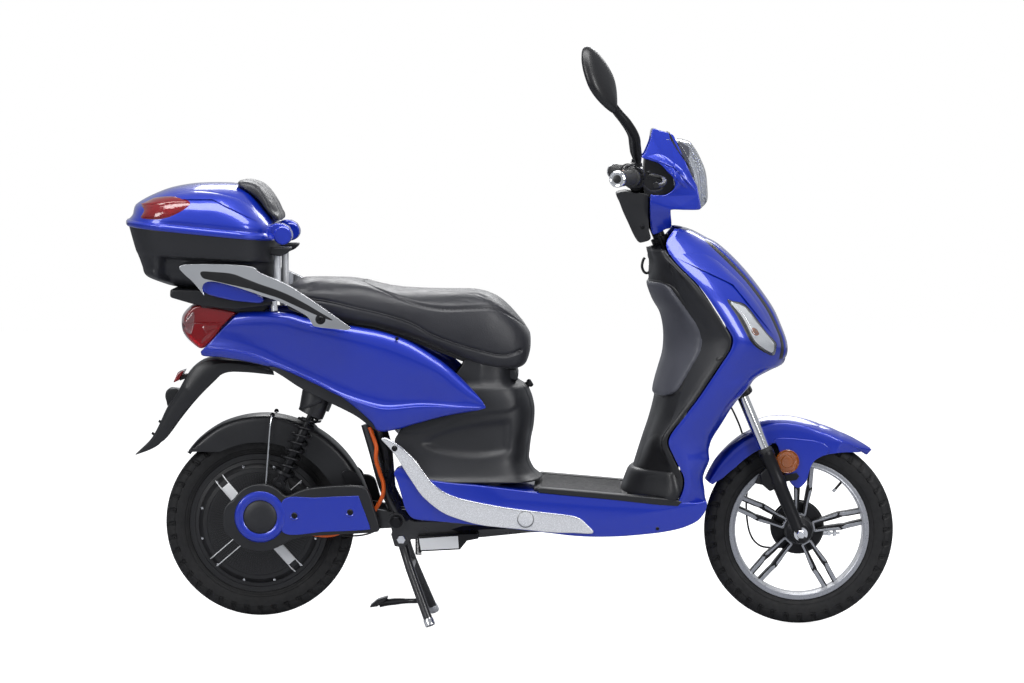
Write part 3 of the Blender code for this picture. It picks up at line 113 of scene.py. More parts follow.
def make_studio():
    """Soft boxes above and beside, a pale floor and an even pale surround."""
    world = bpy.data.worlds.new("studio")
    bpy.context.scene.world = world
    world.use_nodes = True
    tree = world.node_tree
    background = tree.nodes["Background"]
    background.inputs["Color"].default_value = (0.80, 0.84, 0.92, 1.0)
    background.inputs["Strength"].default_value = 0.16
    white = tree.nodes.new("ShaderNodeBackground")
    white.inputs["Color"].default_value = (1.0, 1.0, 1.0, 1.0)
    mirrored_sky = tree.nodes.new("ShaderNodeBackground")
    mirrored_sky.inputs["Color"].default_value = (0.92, 0.95, 1.0, 1.0)
    mirrored_sky.inputs["Strength"].default_value = 0.42
    seen = tree.nodes.new("ShaderNodeLightPath")
    inner = tree.nodes.new("ShaderNodeMixShader")
    tree.links.new(seen.outputs["Is Glossy Ray"], inner.inputs[0])
    tree.links.new(background.outputs[0], inner.inputs[1])
    tree.links.new(mirrored_sky.outputs[0], inner.inputs[2])
    choose = tree.nodes.new("ShaderNodeMixShader")
    tree.links.new(seen.outputs["Is Camera Ray"], choose.inputs[0])
    tree.links.new(inner.outputs[0], choose.inputs[1])
    tree.links.new(white.outputs[0], choose.inputs[2])
    tree.links.new(choose.outputs[0], tree.nodes["World Output"].inputs["Surface"])
    make_light("top_softbox", (0.0, -0.9, 3.2), (0.0, 0.0, 0.5), (3.4, 1.2), 95)
    make_light("front_softbox", (2.4, -3.0, 1.9), (0.3, 0.0, 0.6), (0.9, 2.0), 55)
    make_light("rear_softbox", (-2.6, -2.8, 1.9), (-0.3, 0.0, 0.6), (0.9, 2.0), 45)
    make_light("back_softbox", (0.3, 3.2, 2.6), (0.0, 0.0, 0.6), (3.0, 1.2), 60)
    floor_mesh = bpy.data.meshes.new("floor")
    half = 9.0
    floor_mesh.from_pydata(
        [(-half, -half, 0), (half, -half, 0), (half, half, 0), (-half, half, 0)], [], [(0, 1, 2, 3)],
    )
    floor = bpy.data.objects.new("floor", floor_mesh)
    bpy.context.scene.collection.objects.link(floor)
    floor.location.z = -0.0015
    material = bpy.data.materials.new("floor")
    material.use_nodes = True
    nodes, links = material.node_tree.nodes, material.node_tree.links
    shader = nodes["Principled BSDF"]
    shader.inputs["Base Color"].default_value = (0.50, 0.50, 0.51, 1.0)
    shader.inputs["Roughness"].default_value = 0.75
    shader.inputs["Emission Color"].default_value = (1.0, 1.0, 1.0, 1.0)
    shader.inputs["Emission Strength"].default_value = 0.94
    dim = nodes.new("ShaderNodeBsdfPrincipled")
    dim.inputs["Base Color"].default_value = (0.42, 0.43, 0.46, 1.0)
    dim.inputs["Roughness"].default_value = 0.8
    seen = nodes.new("ShaderNodeLightPath")
    choose = nodes.new("ShaderNodeMixShader")
    links.new(seen.outputs["Is Camera Ray"], choose.inputs[0])
    links.new(dim.outputs[0], choose.inputs[1])
    links.new(shader.outputs[0], choose.inputs[2])
    links.new(choose.outputs[0], nodes["Material Output"].inputs["Surface"])
    floor_mesh.materials.append(material)
    bpy.context.scene.view_settings.view_transform = "Standard"


# ---------------------------------------------------------------- materials


class Surface:
    """A Principled material whose colour, roughness and bump vary by procedural noise."""

    def __init__(self, name, color, roughness, metallic=0.0, **sockets):
        self.material = bpy.data.materials.new(name)
        self.material.use_nodes = True
        self.tree = self.material.node_tree
        self.shader = self.tree.nodes["Principled BSDF"]
        self.shader.inputs["Base Color"].default_value = (*color, 1.0)
        self.shader.inputs["Roughness"].default_value = roughness
        self.shader.inputs["Metallic"].default_value = metallic
        for socket, value in sockets.items():
            self.shader.inputs[socket.replace("_", " ")].default_value = value
        self.color = color
        self.roughness = roughness
        self.place = self.tree.nodes.new("ShaderNodeTexCoord")
        self.normal = None

    def node(self, kind, **settings):
        made = self.tree.nodes.new(kind)
        for key, value in settings.items():
            if key in made.inputs:
                made.inputs[key].default_value = value
            else:
                setattr(made, key, value)
        return made

    def link(self, output, target):
        self.tree.links.new(output, target)

    def noise(self, scale, detail=3.0, stretch=None):
        texture = self.node("ShaderNodeTexNoise", Scale=scale, Detail=detail)
        self.link(self.stretched(stretch), texture.inputs["Vector"])
        return texture.outputs["Fac"]

    def stretched(self, stretch):
        if stretch is None:
            return self.place.outputs["Object"]
        mapping = self.node("ShaderNodeMapping", Scale=stretch)
        self.link(self.place.outputs["Object"], mapping.inputs["Vector"])
        return mapping.outputs["Vector"]

    def cells(self, scale, feature="F1", stretch=None):
        texture = self.node("ShaderNodeTexVoronoi", feature=feature, Scale=scale)
        self.link(self.stretched(stretch), texture.inputs["Vector"])
        return texture.outputs["Distance"]

    def remap(self, value, low, high, source=(0.3, 0.7)):
        made = self.node("ShaderNodeMapRange")
        made.inputs["From Min"].default_value, made.inputs["From Max"].default_value = source
        made.inputs["To Min"].default_value = low
        made.inputs["To Max"].default_value = high
        self.link(value, made.inputs["Value"])
        return made.outputs["Result"]

    def vary_roughness(self, scale, amount, stretch=None):
        value = self.remap(self.noise(scale, 4.0, stretch), self.roughness - amount, self.roughness + amount)
        self.link(value, self.shader.inputs["Roughness"])
        return self

    def vary_color(self, scale, other, share=(0.0, 1.0), stretch=None):
        blend = self.node("ShaderNodeMix", data_type="RGBA")
        blend.inputs[6].default_value = (*self.color, 1.0)
        blend.inputs[7].default_value = (*other, 1.0)
        self.link(self.remap(self.noise(scale, 5.0, stretch), *share), blend.inputs[0])
        self.link(blend.outputs[2], self.shader.inputs["Base Color"])
        return self

    def bump(self, height, strength, distance):
        made = self.node("ShaderNodeBump", Strength=strength, Distance=distance)
        self.link(height, made.inputs["Height"])
        if self.normal:
            self.link(self.normal, made.inputs["Normal"])
        self.normal = made.outputs["Normal"]
        self.link(self.normal, self.shader.inputs["Normal"])
        return self


def paint_surface(name, color):
    """Metallic base under clear coat: fine flakes, a slight orange peel and long soft waves."""
    made = Surface(name, color, 0.34, 0.25, Coat_Weight=1.0, Coat_Roughness=0.045, Coat_IOR=1.5)
    made.vary_color(2600, tuple(min(1.0, c * 1.5 + 0.004) for c in color), (0.0, 0.55))
    made.vary_roughness(900, 0.05)
    made.bump(made.noise(260, 2.0), 0.018, 0.0006)
    return made.material


def plastic_surface(name, color, roughness, grain, strength):
    """Moulded plastic with a fine spark-eroded grain and rub marks."""
    made = Surface(name, color, roughness, 0.0, Specular_IOR_Level=0.5)
    made.vary_roughness(24, 0.05)
    made.vary_color(7, tuple(c * 1.35 for c in color))
    made.bump(made.cells(grain), strength, 0.0003)
    made.bump(made.noise(grain * 1.7, 3.0), strength * 0.6, 0.0002)
    return made.material


def make_materials():
    """Every procedural finish, by name."""
    m = {}
    m["blue_paint"] = paint_surface("blue_paint", (0.0007, 0.020, 0.37))
    m["black_plastic"] = plastic_surface("black_plastic", (0.0085, 0.0088, 0.0105), 0.38, 1500, 0.10)
    m["grained_plastic"] = plastic_surface("grained_plastic", (0.0110, 0.0115, 0.0140), 0.44, 900, 0.35)
    # Dark plastic of the real parts; the same finish also serves as painted shade where dark sheets stand in for
    # the shadow in gaps, a seam, a groove, a recess and a slot.
    m["dark_plastic"] = plastic_surface("dark_plastic", (0.0070, 0.0070, 0.0080), 0.34, 1800, 0.06)
    m["grey_plastic"] = plastic_surface("grey_plastic", (0.060, 0.062, 0.076), 0.38, 1500, 0.10)
    steel = Surface("frame_steel", (0.016, 0.016, 0.018), 0.32, 0.0, Coat_Weight=0.6, Coat_Roughness=0.15)
    steel.vary_roughness(60, 0.07).bump(steel.noise(420, 3.0), 0.10, 0.0004)
    m["frame_steel"] = steel.material
    black = Surface("black_metal", (0.013, 0.013, 0.015), 0.36, 0.55)
    black.vary_roughness(80, 0.06).bump(black.noise(1400, 4.0), 0.12, 0.0002)
    m["black_metal"] = black.material
    chrome = Surface("chrome_trim", (0.83, 0.84, 0.86), 0.09, 1.0)
    chrome.vary_roughness(35, 0.03).bump(chrome.noise(18, 2.0), 0.02, 0.001)
    m["chrome_trim"] = chrome.material
    silver = Surface("silver_trim", (0.72, 0.73, 0.76), 0.26, 0.25, Coat_Weight=0.7, Coat_Roughness=0.12)
    silver.vary_color(400, (0.78, 0.79, 0.81), (0.0, 0.4)).vary_roughness(600, 0.05)
    m["silver_trim"] = silver.material
    alloy = Surface("alloy", (0.42, 0.43, 0.46), 0.32, 0.90)
    alloy.vary_roughness(300, 0.08).bump(alloy.noise(900, 3.0), 0.08, 0.0002)
    m["alloy"] = alloy.material
    tyre = Surface("tyre_rubber", (0.0075, 0.0075, 0.0085), 0.66, 0.0, Specular_IOR_Level=0.35)
    tyre.vary_color(
        26, (0.0140, 0.0138, 0.0140), (0.0, 0.8),
    ).vary_roughness(90, 0.10).bump(tyre.noise(1200, 5.0), 0.22, 0.0004)
    m["tyre_rubber"] = tyre.material
    grip = Surface("grip_rubber", (0.018, 0.018, 0.019), 0.62)
    grip.vary_roughness(200, 0.08).bump(grip.cells(1100), 0.25, 0.0003)
    m["grip_rubber"] = grip.material
    mat = Surface("mat_rubber", (0.026, 0.026, 0.029), 0.55)
    mat.vary_roughness(120, 0.08).bump(mat.cells(1000), 0.20, 0.0003)
    m["mat_rubber"] = mat.material
    leather = Surface(
        "seat_leather", (0.0120, 0.0122, 0.0165), 0.42, 0.0, Sheen_Weight=0.12, Sheen_Roughness=0.5,
    )
    leather.vary_color(9, (0.0190, 0.0195, 0.0250), (0.0, 0.8)).vary_roughness(30, 0.07)
    leather.bump(leather.cells(620), 0.30, 0.0005).bump(leather.noise(240, 5.0), 0.25, 0.0006)
    m["seat_leather"] = leather.material
    red = Surface(
        "red_lens", (0.42, 0.004, 0.010), 0.10, 0.0, Transmission_Weight=0.55, IOR=1.49,
        Coat_Weight=1.0, Coat_Roughness=0.03,
    )
    red.bump(red.cells(260, "F1"), 0.25, 0.0010)
    m["red_lens"] = red.material
    clear = Surface(
        "clear_lens", (0.93, 0.95, 0.98), 0.05, 0.0, Transmission_Weight=0.92, IOR=1.45,
        Coat_Weight=0.5, Coat_Roughness=0.03,
    )
    clear.bump(clear.noise(120, 2.0), 0.05, 0.0006)
    m["clear_lens"] = clear.material
    orange = Surface("orange_cable", (0.86, 0.13, 0.012), 0.42)
    orange.vary_roughness(300, 0.08).bump(orange.noise(900, 3.0), 0.10, 0.0003)
    m["orange_cable"] = orange.material
    amber = Surface(
        "amber_reflector", (0.44, 0.105, 0.002), 0.16, 0.0, Transmission_Weight=0.35, Coat_Weight=1.0,
        Coat_Roughness=0.04,
    )
    amber.bump(amber.cells(700), 0.7, 0.0008)
    m["amber_reflector"] = amber.material
    glass = Surface("mirror_glass", (0.88, 0.90, 0.92), 0.03, 1.0)
    glass.vary_roughness(20, 0.015)
    m["mirror_glass"] = glass.material
    white = Surface("white_mark", (0.78, 0.79, 0.80), 0.5)
    white.vary_roughness(60, 0.08).bump(white.noise(700, 3.0), 0.05, 0.0002)
    m["white_mark"] = white.material
    return m


# ---------------------------------------------------------------- shapes


def link(obj):
    bpy.context.scene.collection.objects.link(obj)
    return obj


def from_bmesh(name, bm, angle=35.0):
    """An object of a bmesh, faces pointing out, smooth but for its sharp edges."""
    bmesh.ops.recalc_face_normals(bm, faces=bm.faces)
    if bm.calc_volume(signed=True) < 0:
        bmesh.ops.reverse_faces(bm, faces=bm.faces)
    mesh = bpy.data.meshes.new(name)
    bm.to_mesh(mesh)
    bm.free()
    mesh.shade_smooth()
    mesh.set_sharp_from_angle(angle=math.radians(angle))
    return link(bpy.data.objects.new(name, mesh))


def curve_points(points, count, closed=False):
    """Evenly spaced points along a smooth curve through the given ones."""
    knots = np.array([tuple(p) for p in points], float)
    if closed:
        knots = np.vstack([knots[-1:], knots, knots[:2]])
    else:
        knots = np.vstack([2 * knots[:1] - knots[1:2], knots, 2 * knots[-1:] - knots[-2:-1]])
    fine = []
    for a, b, c, d in zip(knots, knots[1:], knots[2:], knots[3:]):
        for t in np.linspace(0, 1, 16, endpoint=False):
            fine.append(
                0.5
                * (2 * b + (c - a) * t + (2 * a - 5 * b + 4 * c - d) * t**2 + (3 * b - a - 3 * c + d) * t**3)
            )
    fine.append(knots[-2])
    fine = np.array(fine)
    run = np.concatenate([[0], np.cumsum(np.linalg.norm(np.diff(fine, axis=0), axis=1))])
    wanted = np.linspace(0, run[-1], count + 1)[:-1] if closed else np.linspace(0, run[-1], count)
    return np.stack([np.interp(wanted, run, fine[:, k]) for k in range(fine.shape[1])], axis=1)


def grid_faces(bm, rows, ring=False):
    """Faces between rows of vertices."""
    count = len(rows[0])
    for lower, upper in zip(rows, rows[1:]):
        for i in range(count if ring else count - 1):
            j = (i + 1) % count
            bm.faces.new((lower[i], lower[j], upper[j], upper[i]))


def round_edges(obj, width, segments=3, angle=50.0):
    bevel = obj.modifiers.new("Bevel", "BEVEL")
    bevel.width = width
    bevel.segments = segments
    bevel.limit_method = "ANGLE"
    bevel.angle_limit = math.radians(angle)
    bevel.harden_normals = False
    return obj


def skin(name, rows, along=48, across=14, thickness=0.0025, rim=0.0008, smooth_rows=True, offset=-1.0):
    """A curved shell through rows of points, of even thickness, with rounded rims."""
    runs = [curve_points(row, across) for row in rows]
    if smooth_rows:
        columns = [curve_points([run[k] for run in runs], along) for k in range(across)]
    else:
        columns = [[run[k] for run in runs] for k in range(across)]
    bm = bmesh.new()
    grid = [[bm.verts.new(p) for p in column] for column in columns]
    grid_faces(bm, grid)
    obj = from_bmesh(name, bm)
    shell = obj.modifiers.new("Solidify", "SOLIDIFY")
    shell.thickness = thickness
    shell.offset = offset
    if rim:
        round_edges(obj, rim, 2, 70.0)
    return obj


def plate(name, outline, y_low, y_high, bevel=0.001, segments=3, angle=50.0):
    """A flat outline of (x, z) points, extruded across, with rounded edges."""
    bm = bmesh.new()
    near = [bm.verts.new((x, y_low, z)) for x, z in outline]
    far = [bm.verts.new((x, y_high, z)) for x, z in outline]
    bm.faces.new(near)
    bm.faces.new(far)
    grid_faces(bm, [near, far], True)
    obj = from_bmesh(name, bm)
    if bevel:
        round_edges(obj, bevel, segments, angle)
    return obj


def smooth_outline(points, count):
    """A closed outline rounded through its points."""
    return [tuple(p) for p in curve_points(points, count, closed=True)]


def lathe(name, profile, centre, axis=ACROSS, steps=96, closed=True):
    """A profile of (radius, along) points turned about an axis."""
    bm = bmesh.new()
    turn = Vector((0, 0, 1)).rotation_difference(axis).to_matrix().to_4x4()
    rows = []
    for radius, along in profile:
        if radius < 1e-6:
            rows.append([bm.verts.new((0, 0, along))] * steps)
            continue
        rows.append(
            [
                bm.verts.new(
                    (
                        radius * math.cos(2 * math.pi * i / steps),
                        radius * math.sin(2 * math.pi * i / steps), along,
                    )
                )
                for i in range(steps)
            ]
        )
    if closed:
        rows.append(rows[0])
    for lower, upper in zip(rows, rows[1:]):
        for i in range(steps):
            j = (i + 1) % steps
            corners = []
            for vertex in (lower[i], lower[j], upper[j], upper[i]):
                if vertex not in corners:
                    corners.append(vertex)
            if len(corners) > 2:
                bm.faces.new(corners)
    bm.transform(Matrix.Translation(centre) @ turn)
    return from_bmesh(name, bm, 30.0)


def pipe(name, points, radius, sides=16, count=None, smooth=True, caps=True):
    """A round bar along points. Radius is a number, or a function of the share of the way along."""
    if smooth:
        points = curve_points(points, count or 8 * len(points))
    points = [Vector(p) for p in points]
    bm = bmesh.new()
    rows = []
    side = None
    for i, point in enumerate(points):
        ahead = (points[min(i + 1, len(points) - 1)] - points[max(i - 1, 0)]).normalized()
        if side is None:
            side = ahead.cross(ACROSS if abs(ahead.y) < 0.9 else UP).normalized()
        side = (side - ahead * side.dot(ahead)).normalized()
        other = ahead.cross(side)
        r = radius(i / (len(points) - 1)) if callable(radius) else radius
        rows.append(
            [
                bm.verts.new(point + side * (r * math.cos(a)) + other * (r * math.sin(a)))
                for a in np.linspace(0, 2 * math.pi, sides, endpoint=False)
            ]
        )
    grid_faces(bm, rows, True)
    if caps:
        bm.faces.new(rows[0])
        bm.faces.new(rows[-1])
    return from_bmesh(name, bm, 40.0)


def rod(name, start, end, radius, sides=32, bevel=0.0):
    obj = pipe(name, [start, end], radius, sides, smooth=False)
    if bevel:
        round_edges(obj, bevel, 2)
    return obj


def loft(name, rings, count=None, caps=True, angle=35.0):
    """A closed form through rings of equally many points, smoothed lengthwise when a count is given."""
    if count:
        columns = [curve_points([ring[k] for ring in rings], count) for k in range(len(rings[0]))]
        rings = [[column[i] for column in columns] for i in range(count)]
    bm = bmesh.new()
    rows = [[bm.verts.new(p) for p in ring] for ring in rings]
    grid_faces(bm, rows, True)
    if caps:
        bm.faces.new(rows[0])
        bm.faces.new(rows[-1])
    return from_bmesh(name, bm, angle)


def boolean(obj, other, operation="DIFFERENCE"):
    """Cuts or joins, applies it and removes the other object."""
    modifier = obj.modifiers.new("Boolean", "BOOLEAN")
    modifier.operation = operation
    modifier.object = other
    baked(obj)
    bpy.data.objects.remove(other)
    return obj


def baked(obj):
    """The object with its modifiers applied to its mesh."""
    graph = bpy.context.evaluated_depsgraph_get()
    mesh = bpy.data.meshes.new_from_object(obj.evaluated_get(graph))
    obj.modifiers.clear()
    obj.data = mesh
    return obj


def merged(name, pieces):
    """Several pieces as one object, their materials kept."""
    bm = bmesh.new()
    materials = []
    for piece in pieces:
        baked(piece)
        for material in piece.data.materials:
            if material not in materials:
                materials.append(material)
        first = len(bm.faces)
        mesh = piece.data.copy()
        mesh.transform(piece.matrix_world)
        bm.from_mesh(mesh)
        bm.faces.ensure_lookup_table()
        for face in bm.faces[first:]:
            if piece.data.materials:
                face.material_index = materials.index(piece.data.materials[face.material_index])
        bpy.data.meshes.remove(mesh)
        bpy.data.objects.remove(piece)
    mesh = bpy.data.meshes.new(name)
    bm.to_mesh(mesh)
    bm.free()
    for material in materials:
        mesh.materials.append(material)
    return link(bpy.data.objects.new(name, mesh))


def dress(obj, finish):
    """Gives the piece a finish by name."""
    obj.data.materials.clear()
    obj.data.materials.append(FINISH[finish])
    return obj


def mount(obj, body, slot, *nodes, finish=None):
    """Puts a piece on its body, dressed in its slot's finish unless another finish is given, and hides the CAD
    nodes it stands for.
    """
    if not obj.data.materials:
        dress(obj, finish or slot)
    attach(obj, body)
    if nodes:
        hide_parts(*nodes)
    return obj


def bolt(name, place, axis, radius, height, kind="hex", finish="chrome_trim"):
    """A fastener: a washer face under a hex head, or a domed cap with a socket."""
    axis = Vector(axis).normalized()
    turn = UP.rotation_difference(axis).to_matrix().to_4x4()
    bm = bmesh.new()
    washer = [(radius * 1.28, 0.0), (radius * 1.28, height * 0.18)]
    if kind == "hex":
        head = [(radius, height * 0.18), (radius, height * 0.88), (radius * 0.86, height)]
        sides = 6
    else:
        head = [
            (radius, height * 0.18), (radius * 0.97, height * 0.60), (radius * 0.72, height),
            (radius * 0.46, height),
        ]
        sides = 20
    for profile, count in ((washer, 24), (head, sides)):
        rows = [
            [
                bm.verts.new(
                    (r * math.cos(2 * math.pi * i / count), r * math.sin(2 * math.pi * i / count), z)
                )
                for i in range(count)
            ]
            for r, z in profile
        ]
        grid_faces(bm, rows, True)
        bm.faces.new(rows[0])
        if kind != "hex" and count == sides:
            socket = [
                bm.verts.new(
                    (
                        radius * 0.40 * math.cos(math.pi * i / 3),
                        radius * 0.40 * math.sin(math.pi * i / 3), height * 0.55,
                    )
                )
                for i in range(6)
            ]
            for i in range(count):
                j = (i + 1) % count
                a, b = socket[int(i * 6 / count)], socket[int(j * 6 / count) % 6]
                corners = [rows[-1][i], rows[-1][j], b] + ([a] if a is not b else [])
                bm.faces.new(corners)
            bm.faces.new(socket)
        else:
            bm.faces.new(rows[-1])
    bm.transform(Matrix.Translation(place) @ turn)
    return dress(from_bmesh(name, bm, 30.0), finish)


make_camera()
make_studio()
FINISH = make_materials()
for node_name, node_object in frame["nodes"].items():
    slot_name = next(s["material_slot"] for s in frame["record"]["subparts"] if s["node"] == node_name)
    node_object.data.materials.clear()
    node_object.data.materials.append(FINISH[slot_name])

# ---------------------------------------------------------------- more shapes


def table(points):
    """Reads (key, result) pairs along a smooth curve."""
    fine = curve_points(sorted(points), 240)
    return lambda key: float(np.interp(key, fine[:, 0], fine[:, 1]))


def ease(value, start, stop):
    share = min(max((value - start) / (stop - start), 0.0), 1.0)
    return share * share * (3 - 2 * share)


def turned_out(obj):
    """Turns an open skin's faces away from its own middle."""
    mesh = obj.data
    centre = sum((v.co for v in mesh.vertices), Vector()) / len(mesh.vertices)
    centre.y = 0.0
    score = sum((p.center - centre).dot(p.normal) * p.area for p in mesh.polygons)
    if score < 0:
        mesh.flip_normals()
    return obj


def sheet_skin(name, rows, count_rows, count_across, thickness=0.0025, rim=0.0008):
    """A shell through lengthwise curves: each is evened out, then smoothed across."""
    obj = skin(name, rows, count_across, count_rows, 0.0, 0.0)
    obj.modifiers.clear()
    turned_out(obj)
    shell = obj.modifiers.new("Solidify", "SOLIDIFY")
    shell.thickness = thickness
    shell.offset = -1.0
    if rim:
        round_edges(obj, rim, 2, 70.0)
    return obj


def decal(
    name, outline, target, side, height, rings=12, count=96, dome=5.0, sink=0.0006, smooth=True,
    y_from=0.6,
):
    """A raised patch inside an outline of (x, z) points, laid from the side on the target's surface."""
    graph = bpy.context.evaluated_depsgraph_get()
    body = target.evaluated_get(graph)
    place = target.matrix_world.inverted()
    edge = np.array(smooth_outline(outline, count) if smooth else outline)
    if not smooth:
        run = np.vstack([edge, edge[:1]])
        far = np.concatenate([[0], np.cumsum(np.linalg.norm(np.diff(run, axis=0), axis=1))])
        wanted = np.linspace(0, far[-1], count + 1)[:-1]
        edge = np.stack([np.interp(wanted, far, run[:, k]) for k in range(2)], axis=1)
    heart = edge.mean(axis=0)
    bm = bmesh.new()
    rows = []
    last = None
    for i in range(rings + 1):
        share = 1.0 - (1.0 - i / rings) ** 1.6
        row = []
        for x, z in heart + (edge - heart) * share:
            hit, point, normal, _ = body.ray_cast(
                place @ Vector((x, side * y_from, z)),
                (place.to_3x3() @ Vector((0, -side, 0))).normalized(),
            )
            if not hit:
                point, normal = last if last else (Vector((x, 0, z)), Vector((0, side, 0)))
                point = Vector((x, point.y, z))
            last = (point, normal)
            if normal.y * side < 0:
                normal = -normal
            lift = (height + sink) * (1 - share**dome) - sink
            row.append(bm.verts.new(Vector(point) + normal * lift))
            if i == 0:
                break
        rows.append(row * count if i == 0 else row)
    for lower, upper in zip(rows, rows[1:]):
        for a in range(count):
            b = (a + 1) % count
            corners = [
                v
                for k, v in enumerate((lower[a], lower[b], upper[b], upper[a]))
                if k == 0 or v is not lower[a]
            ]
            bm.faces.new(corners)
    bmesh.ops.recalc_face_normals(bm, faces=bm.faces)
    if sum(f.normal.y * f.calc_area() for f in bm.faces) * side < 0:
        bmesh.ops.reverse_faces(bm, faces=bm.faces)
    mesh = bpy.data.meshes.new(name)
    bm.to_mesh(mesh)
    bm.free()
    mesh.shade_smooth()
    mesh.set_sharp_from_angle(angle=math.radians(50))
    return link(bpy.data.objects.new(name, mesh))


def super_ring(cx, a, b, z, power, count, slope=0.0, widen=None):
    """A rounded rectangle in plan, half sizes a and b, in a plane that climbs with x."""
    ring = []
    for i in range(count):
        turn = 2 * math.pi * (i + 0.5) / count
        c, s = math.cos(turn), math.sin(turn)
        x = a * math.copysign(abs(c) ** (2 / power), c)
        wide = widen(cx + x, z, b) if widen else b
        ring.append((cx + x, wide * math.copysign(abs(s) ** (2 / power), s), z + slope * x))
    return ring


# ---------------------------------------------------------------- side panels

PANEL_TOP = [
    (-0.614, 0.719), (-0.567, 0.722), (-0.500, 0.718), (-0.450, 0.705), (-0.338, 0.687),
    (-0.295, 0.679), (-0.252, 0.666), (-0.218, 0.651), (-0.175, 0.625), (-0.145, 0.604),
    (-0.115, 0.578), (-0.089, 0.552), (-0.067, 0.528), (-0.056, 0.511),
]
PANEL_CREASE = [
    (-0.690, 0.641), (-0.640, 0.637), (-0.586, 0.626), (-0.523, 0.601), (-0.440, 0.564),
    (-0.378, 0.534), (-0.315, 0.514), (-0.274, 0.508), (-0.204, 0.5135), (-0.130, 0.5115),
    (-0.056, 0.5100),
]
PANEL_LOW = [
    (-0.703, 0.629), (-0.697, 0.619), (-0.658, 0.617), (-0.608, 0.610), (-0.566, 0.602),
    (-0.503, 0.586), (-0.462, 0.569), (-0.420, 0.550), (-0.379, 0.529), (-0.337, 0.496),
    (-0.312, 0.472), (-0.296, 0.453), (-0.252, 0.459), (-0.209, 0.472), (-0.145, 0.489),
    (-0.080, 0.501), (-0.056, 0.508),
]
PANEL_WIDTH = [(-0.705, 0.102), (-0.560, 0.128), (-0.400, 0.145), (-0.250, 0.153), (-0.055, 0.157)]
# Share of the way from the top edge to the crease, and on to the low edge; sideways; depth of the scoop
PANEL_SECTION = [
    (0.0, -0.020, 0.0), (0.05, -0.009, 0.0), (0.15, -0.002, 0.0), (0.34, 0.0, 0.003),
    (0.60, -0.001, 0.008), (0.82, -0.001, 0.013), (0.95, 0.0, 0.0145), (0.99, 0.0, 0.011),
    (1.03, 0.001, 0.0), (1.12, 0.002, -0.001), (1.5, 0.001, 0.0), (1.90, -0.004, 0.0),
    (2.0, -0.010, 0.0),
]


def make_body_panels():
    """The painted side panels with their liners, shock shrouds and screws."""
    top, crease, low = (curve_points(points, 170) for points in (PANEL_TOP, PANEL_CREASE, PANEL_LOW))
    half = table(PANEL_WIDTH)
    section = curve_points(PANEL_SECTION, 96)
    for name, side in SIDES:
        bm = bmesh.new()
        rows = []
        for share, shift, scoop in section:
            pair = (top, crease) if share <= 1 else (crease, low)
            part = share if share <= 1 else min(1.0, share - 1)
            row = []
            for x, z in pair[0] * (1 - part) + pair[1] * part:
                depth = ease(x, -0.66, -0.44) * (1 - ease(x, -0.19, -0.09))
                row.append(
                    bm.verts.new(
                        (x, side * (half(x) + shift * (1 - ease(x, -0.10, -0.056)) - scoop * depth), z)
                    )
                )
            rows.append(row)
        grid_faces(bm, rows)
        panel = turned_out(from_bmesh("side_panel_" + name, bm, 60.0))
        shell = panel.modifiers.new("Solidify", "SOLIDIFY")
        shell.thickness = 0.0025
        shell.offset = -1.0
        mount(panel, "root", "blue_paint", "body_panel_" + name)
        liner = [
            (-0.545, 0.598), (-0.500, 0.590), (-0.455, 0.572), (-0.405, 0.546), (-0.360, 0.520),
            (-0.325, 0.488), (-0.303, 0.462), (-0.300, 0.452), (-0.323, 0.468), (-0.354, 0.490),
            (-0.416, 0.521), (-0.470, 0.548), (-0.510, 0.574),
        ]
        inner, outer = sorted((side * 0.118, side * 0.133))
        mount(
            plate("panel_liner_" + name, smooth_outline(liner, 90), inner, outer, 0.002), "root",
            "grained_plastic",
        )
        boot = []
        for share in np.linspace(0, 1, 9):
            centre = Vector((-0.430, 0.0, 0.566)).lerp(Vector((-0.4480, 0.0, 0.5090)), share)
            radius = 0.040 - 0.008 * share
            boot.append(
                [
                    centre + Vector(
                        (radius * math.cos(a) * 0.98, side * 0.092 + 0.031 * math.sin(a), 0.010 * math.cos(a))
                    )
                    for a in np.linspace(0, 2 * math.pi, 40, endpoint=False)
                ]
            )
        shroud = loft("shock_shroud_" + name, boot, None, False)
        wall = shroud.modifiers.new("Solidify", "SOLIDIFY")
        wall.thickness = 0.002
        wall.offset = 0.0
        mount(shroud, "root", "grained_plastic")
        mount(
            bolt(
                "panel_screw_" + name, (-0.255, side * 0.1475, 0.663), (0, side, 0.1), 0.0035, 0.003,
                "cap", "black_metal",
            ),
            "root", "black_metal",
        )


# ---------------------------------------------------------------- seat

SEAT_TOP = [
    (-0.509, 0.776), (-0.503, 0.783), (-0.480, 0.787), (-0.446, 0.788), (-0.400, 0.788),
    (-0.348, 0.788), (-0.300, 0.778), (-0.262, 0.770), (-0.220, 0.765), (-0.180, 0.763),
    (-0.135, 0.763), (-0.083, 0.764), (-0.048, 0.757), (-0.014, 0.734), (0.017, 0.701), (0.034, 0.678),
    (0.042, 0.664),
]
SEAT_LOW = [
    (-0.509, 0.732), (-0.503, 0.724), (-0.470, 0.713), (-0.435, 0.706), (-0.344, 0.689),
    (-0.300, 0.682), (-0.222, 0.659), (-0.148, 0.629), (-0.083, 0.602), (-0.044, 0.592),
    (-0.010, 0.589), (0.017, 0.591), (0.034, 0.603), (0.042, 0.628),
]
SEAT_HALF = [
    (-0.509, 0.090), (-0.500, 0.104), (-0.440, 0.114), (-0.300, 0.124), (-0.180, 0.126),
    (-0.060, 0.114), (0.000, 0.098), (0.025, 0.083), (0.038, 0.066), (0.042, 0.050),
]
SEAT_SECTION = [
    (0.0, 0.0), (0.45, 0.0), (0.80, 0.01), (0.93, 0.09), (0.985, 0.24), (1.0, 0.42), (0.975, 0.62),
    (0.90, 0.80), (0.76, 0.92), (0.50, 0.985), (0.22, 1.0),
]
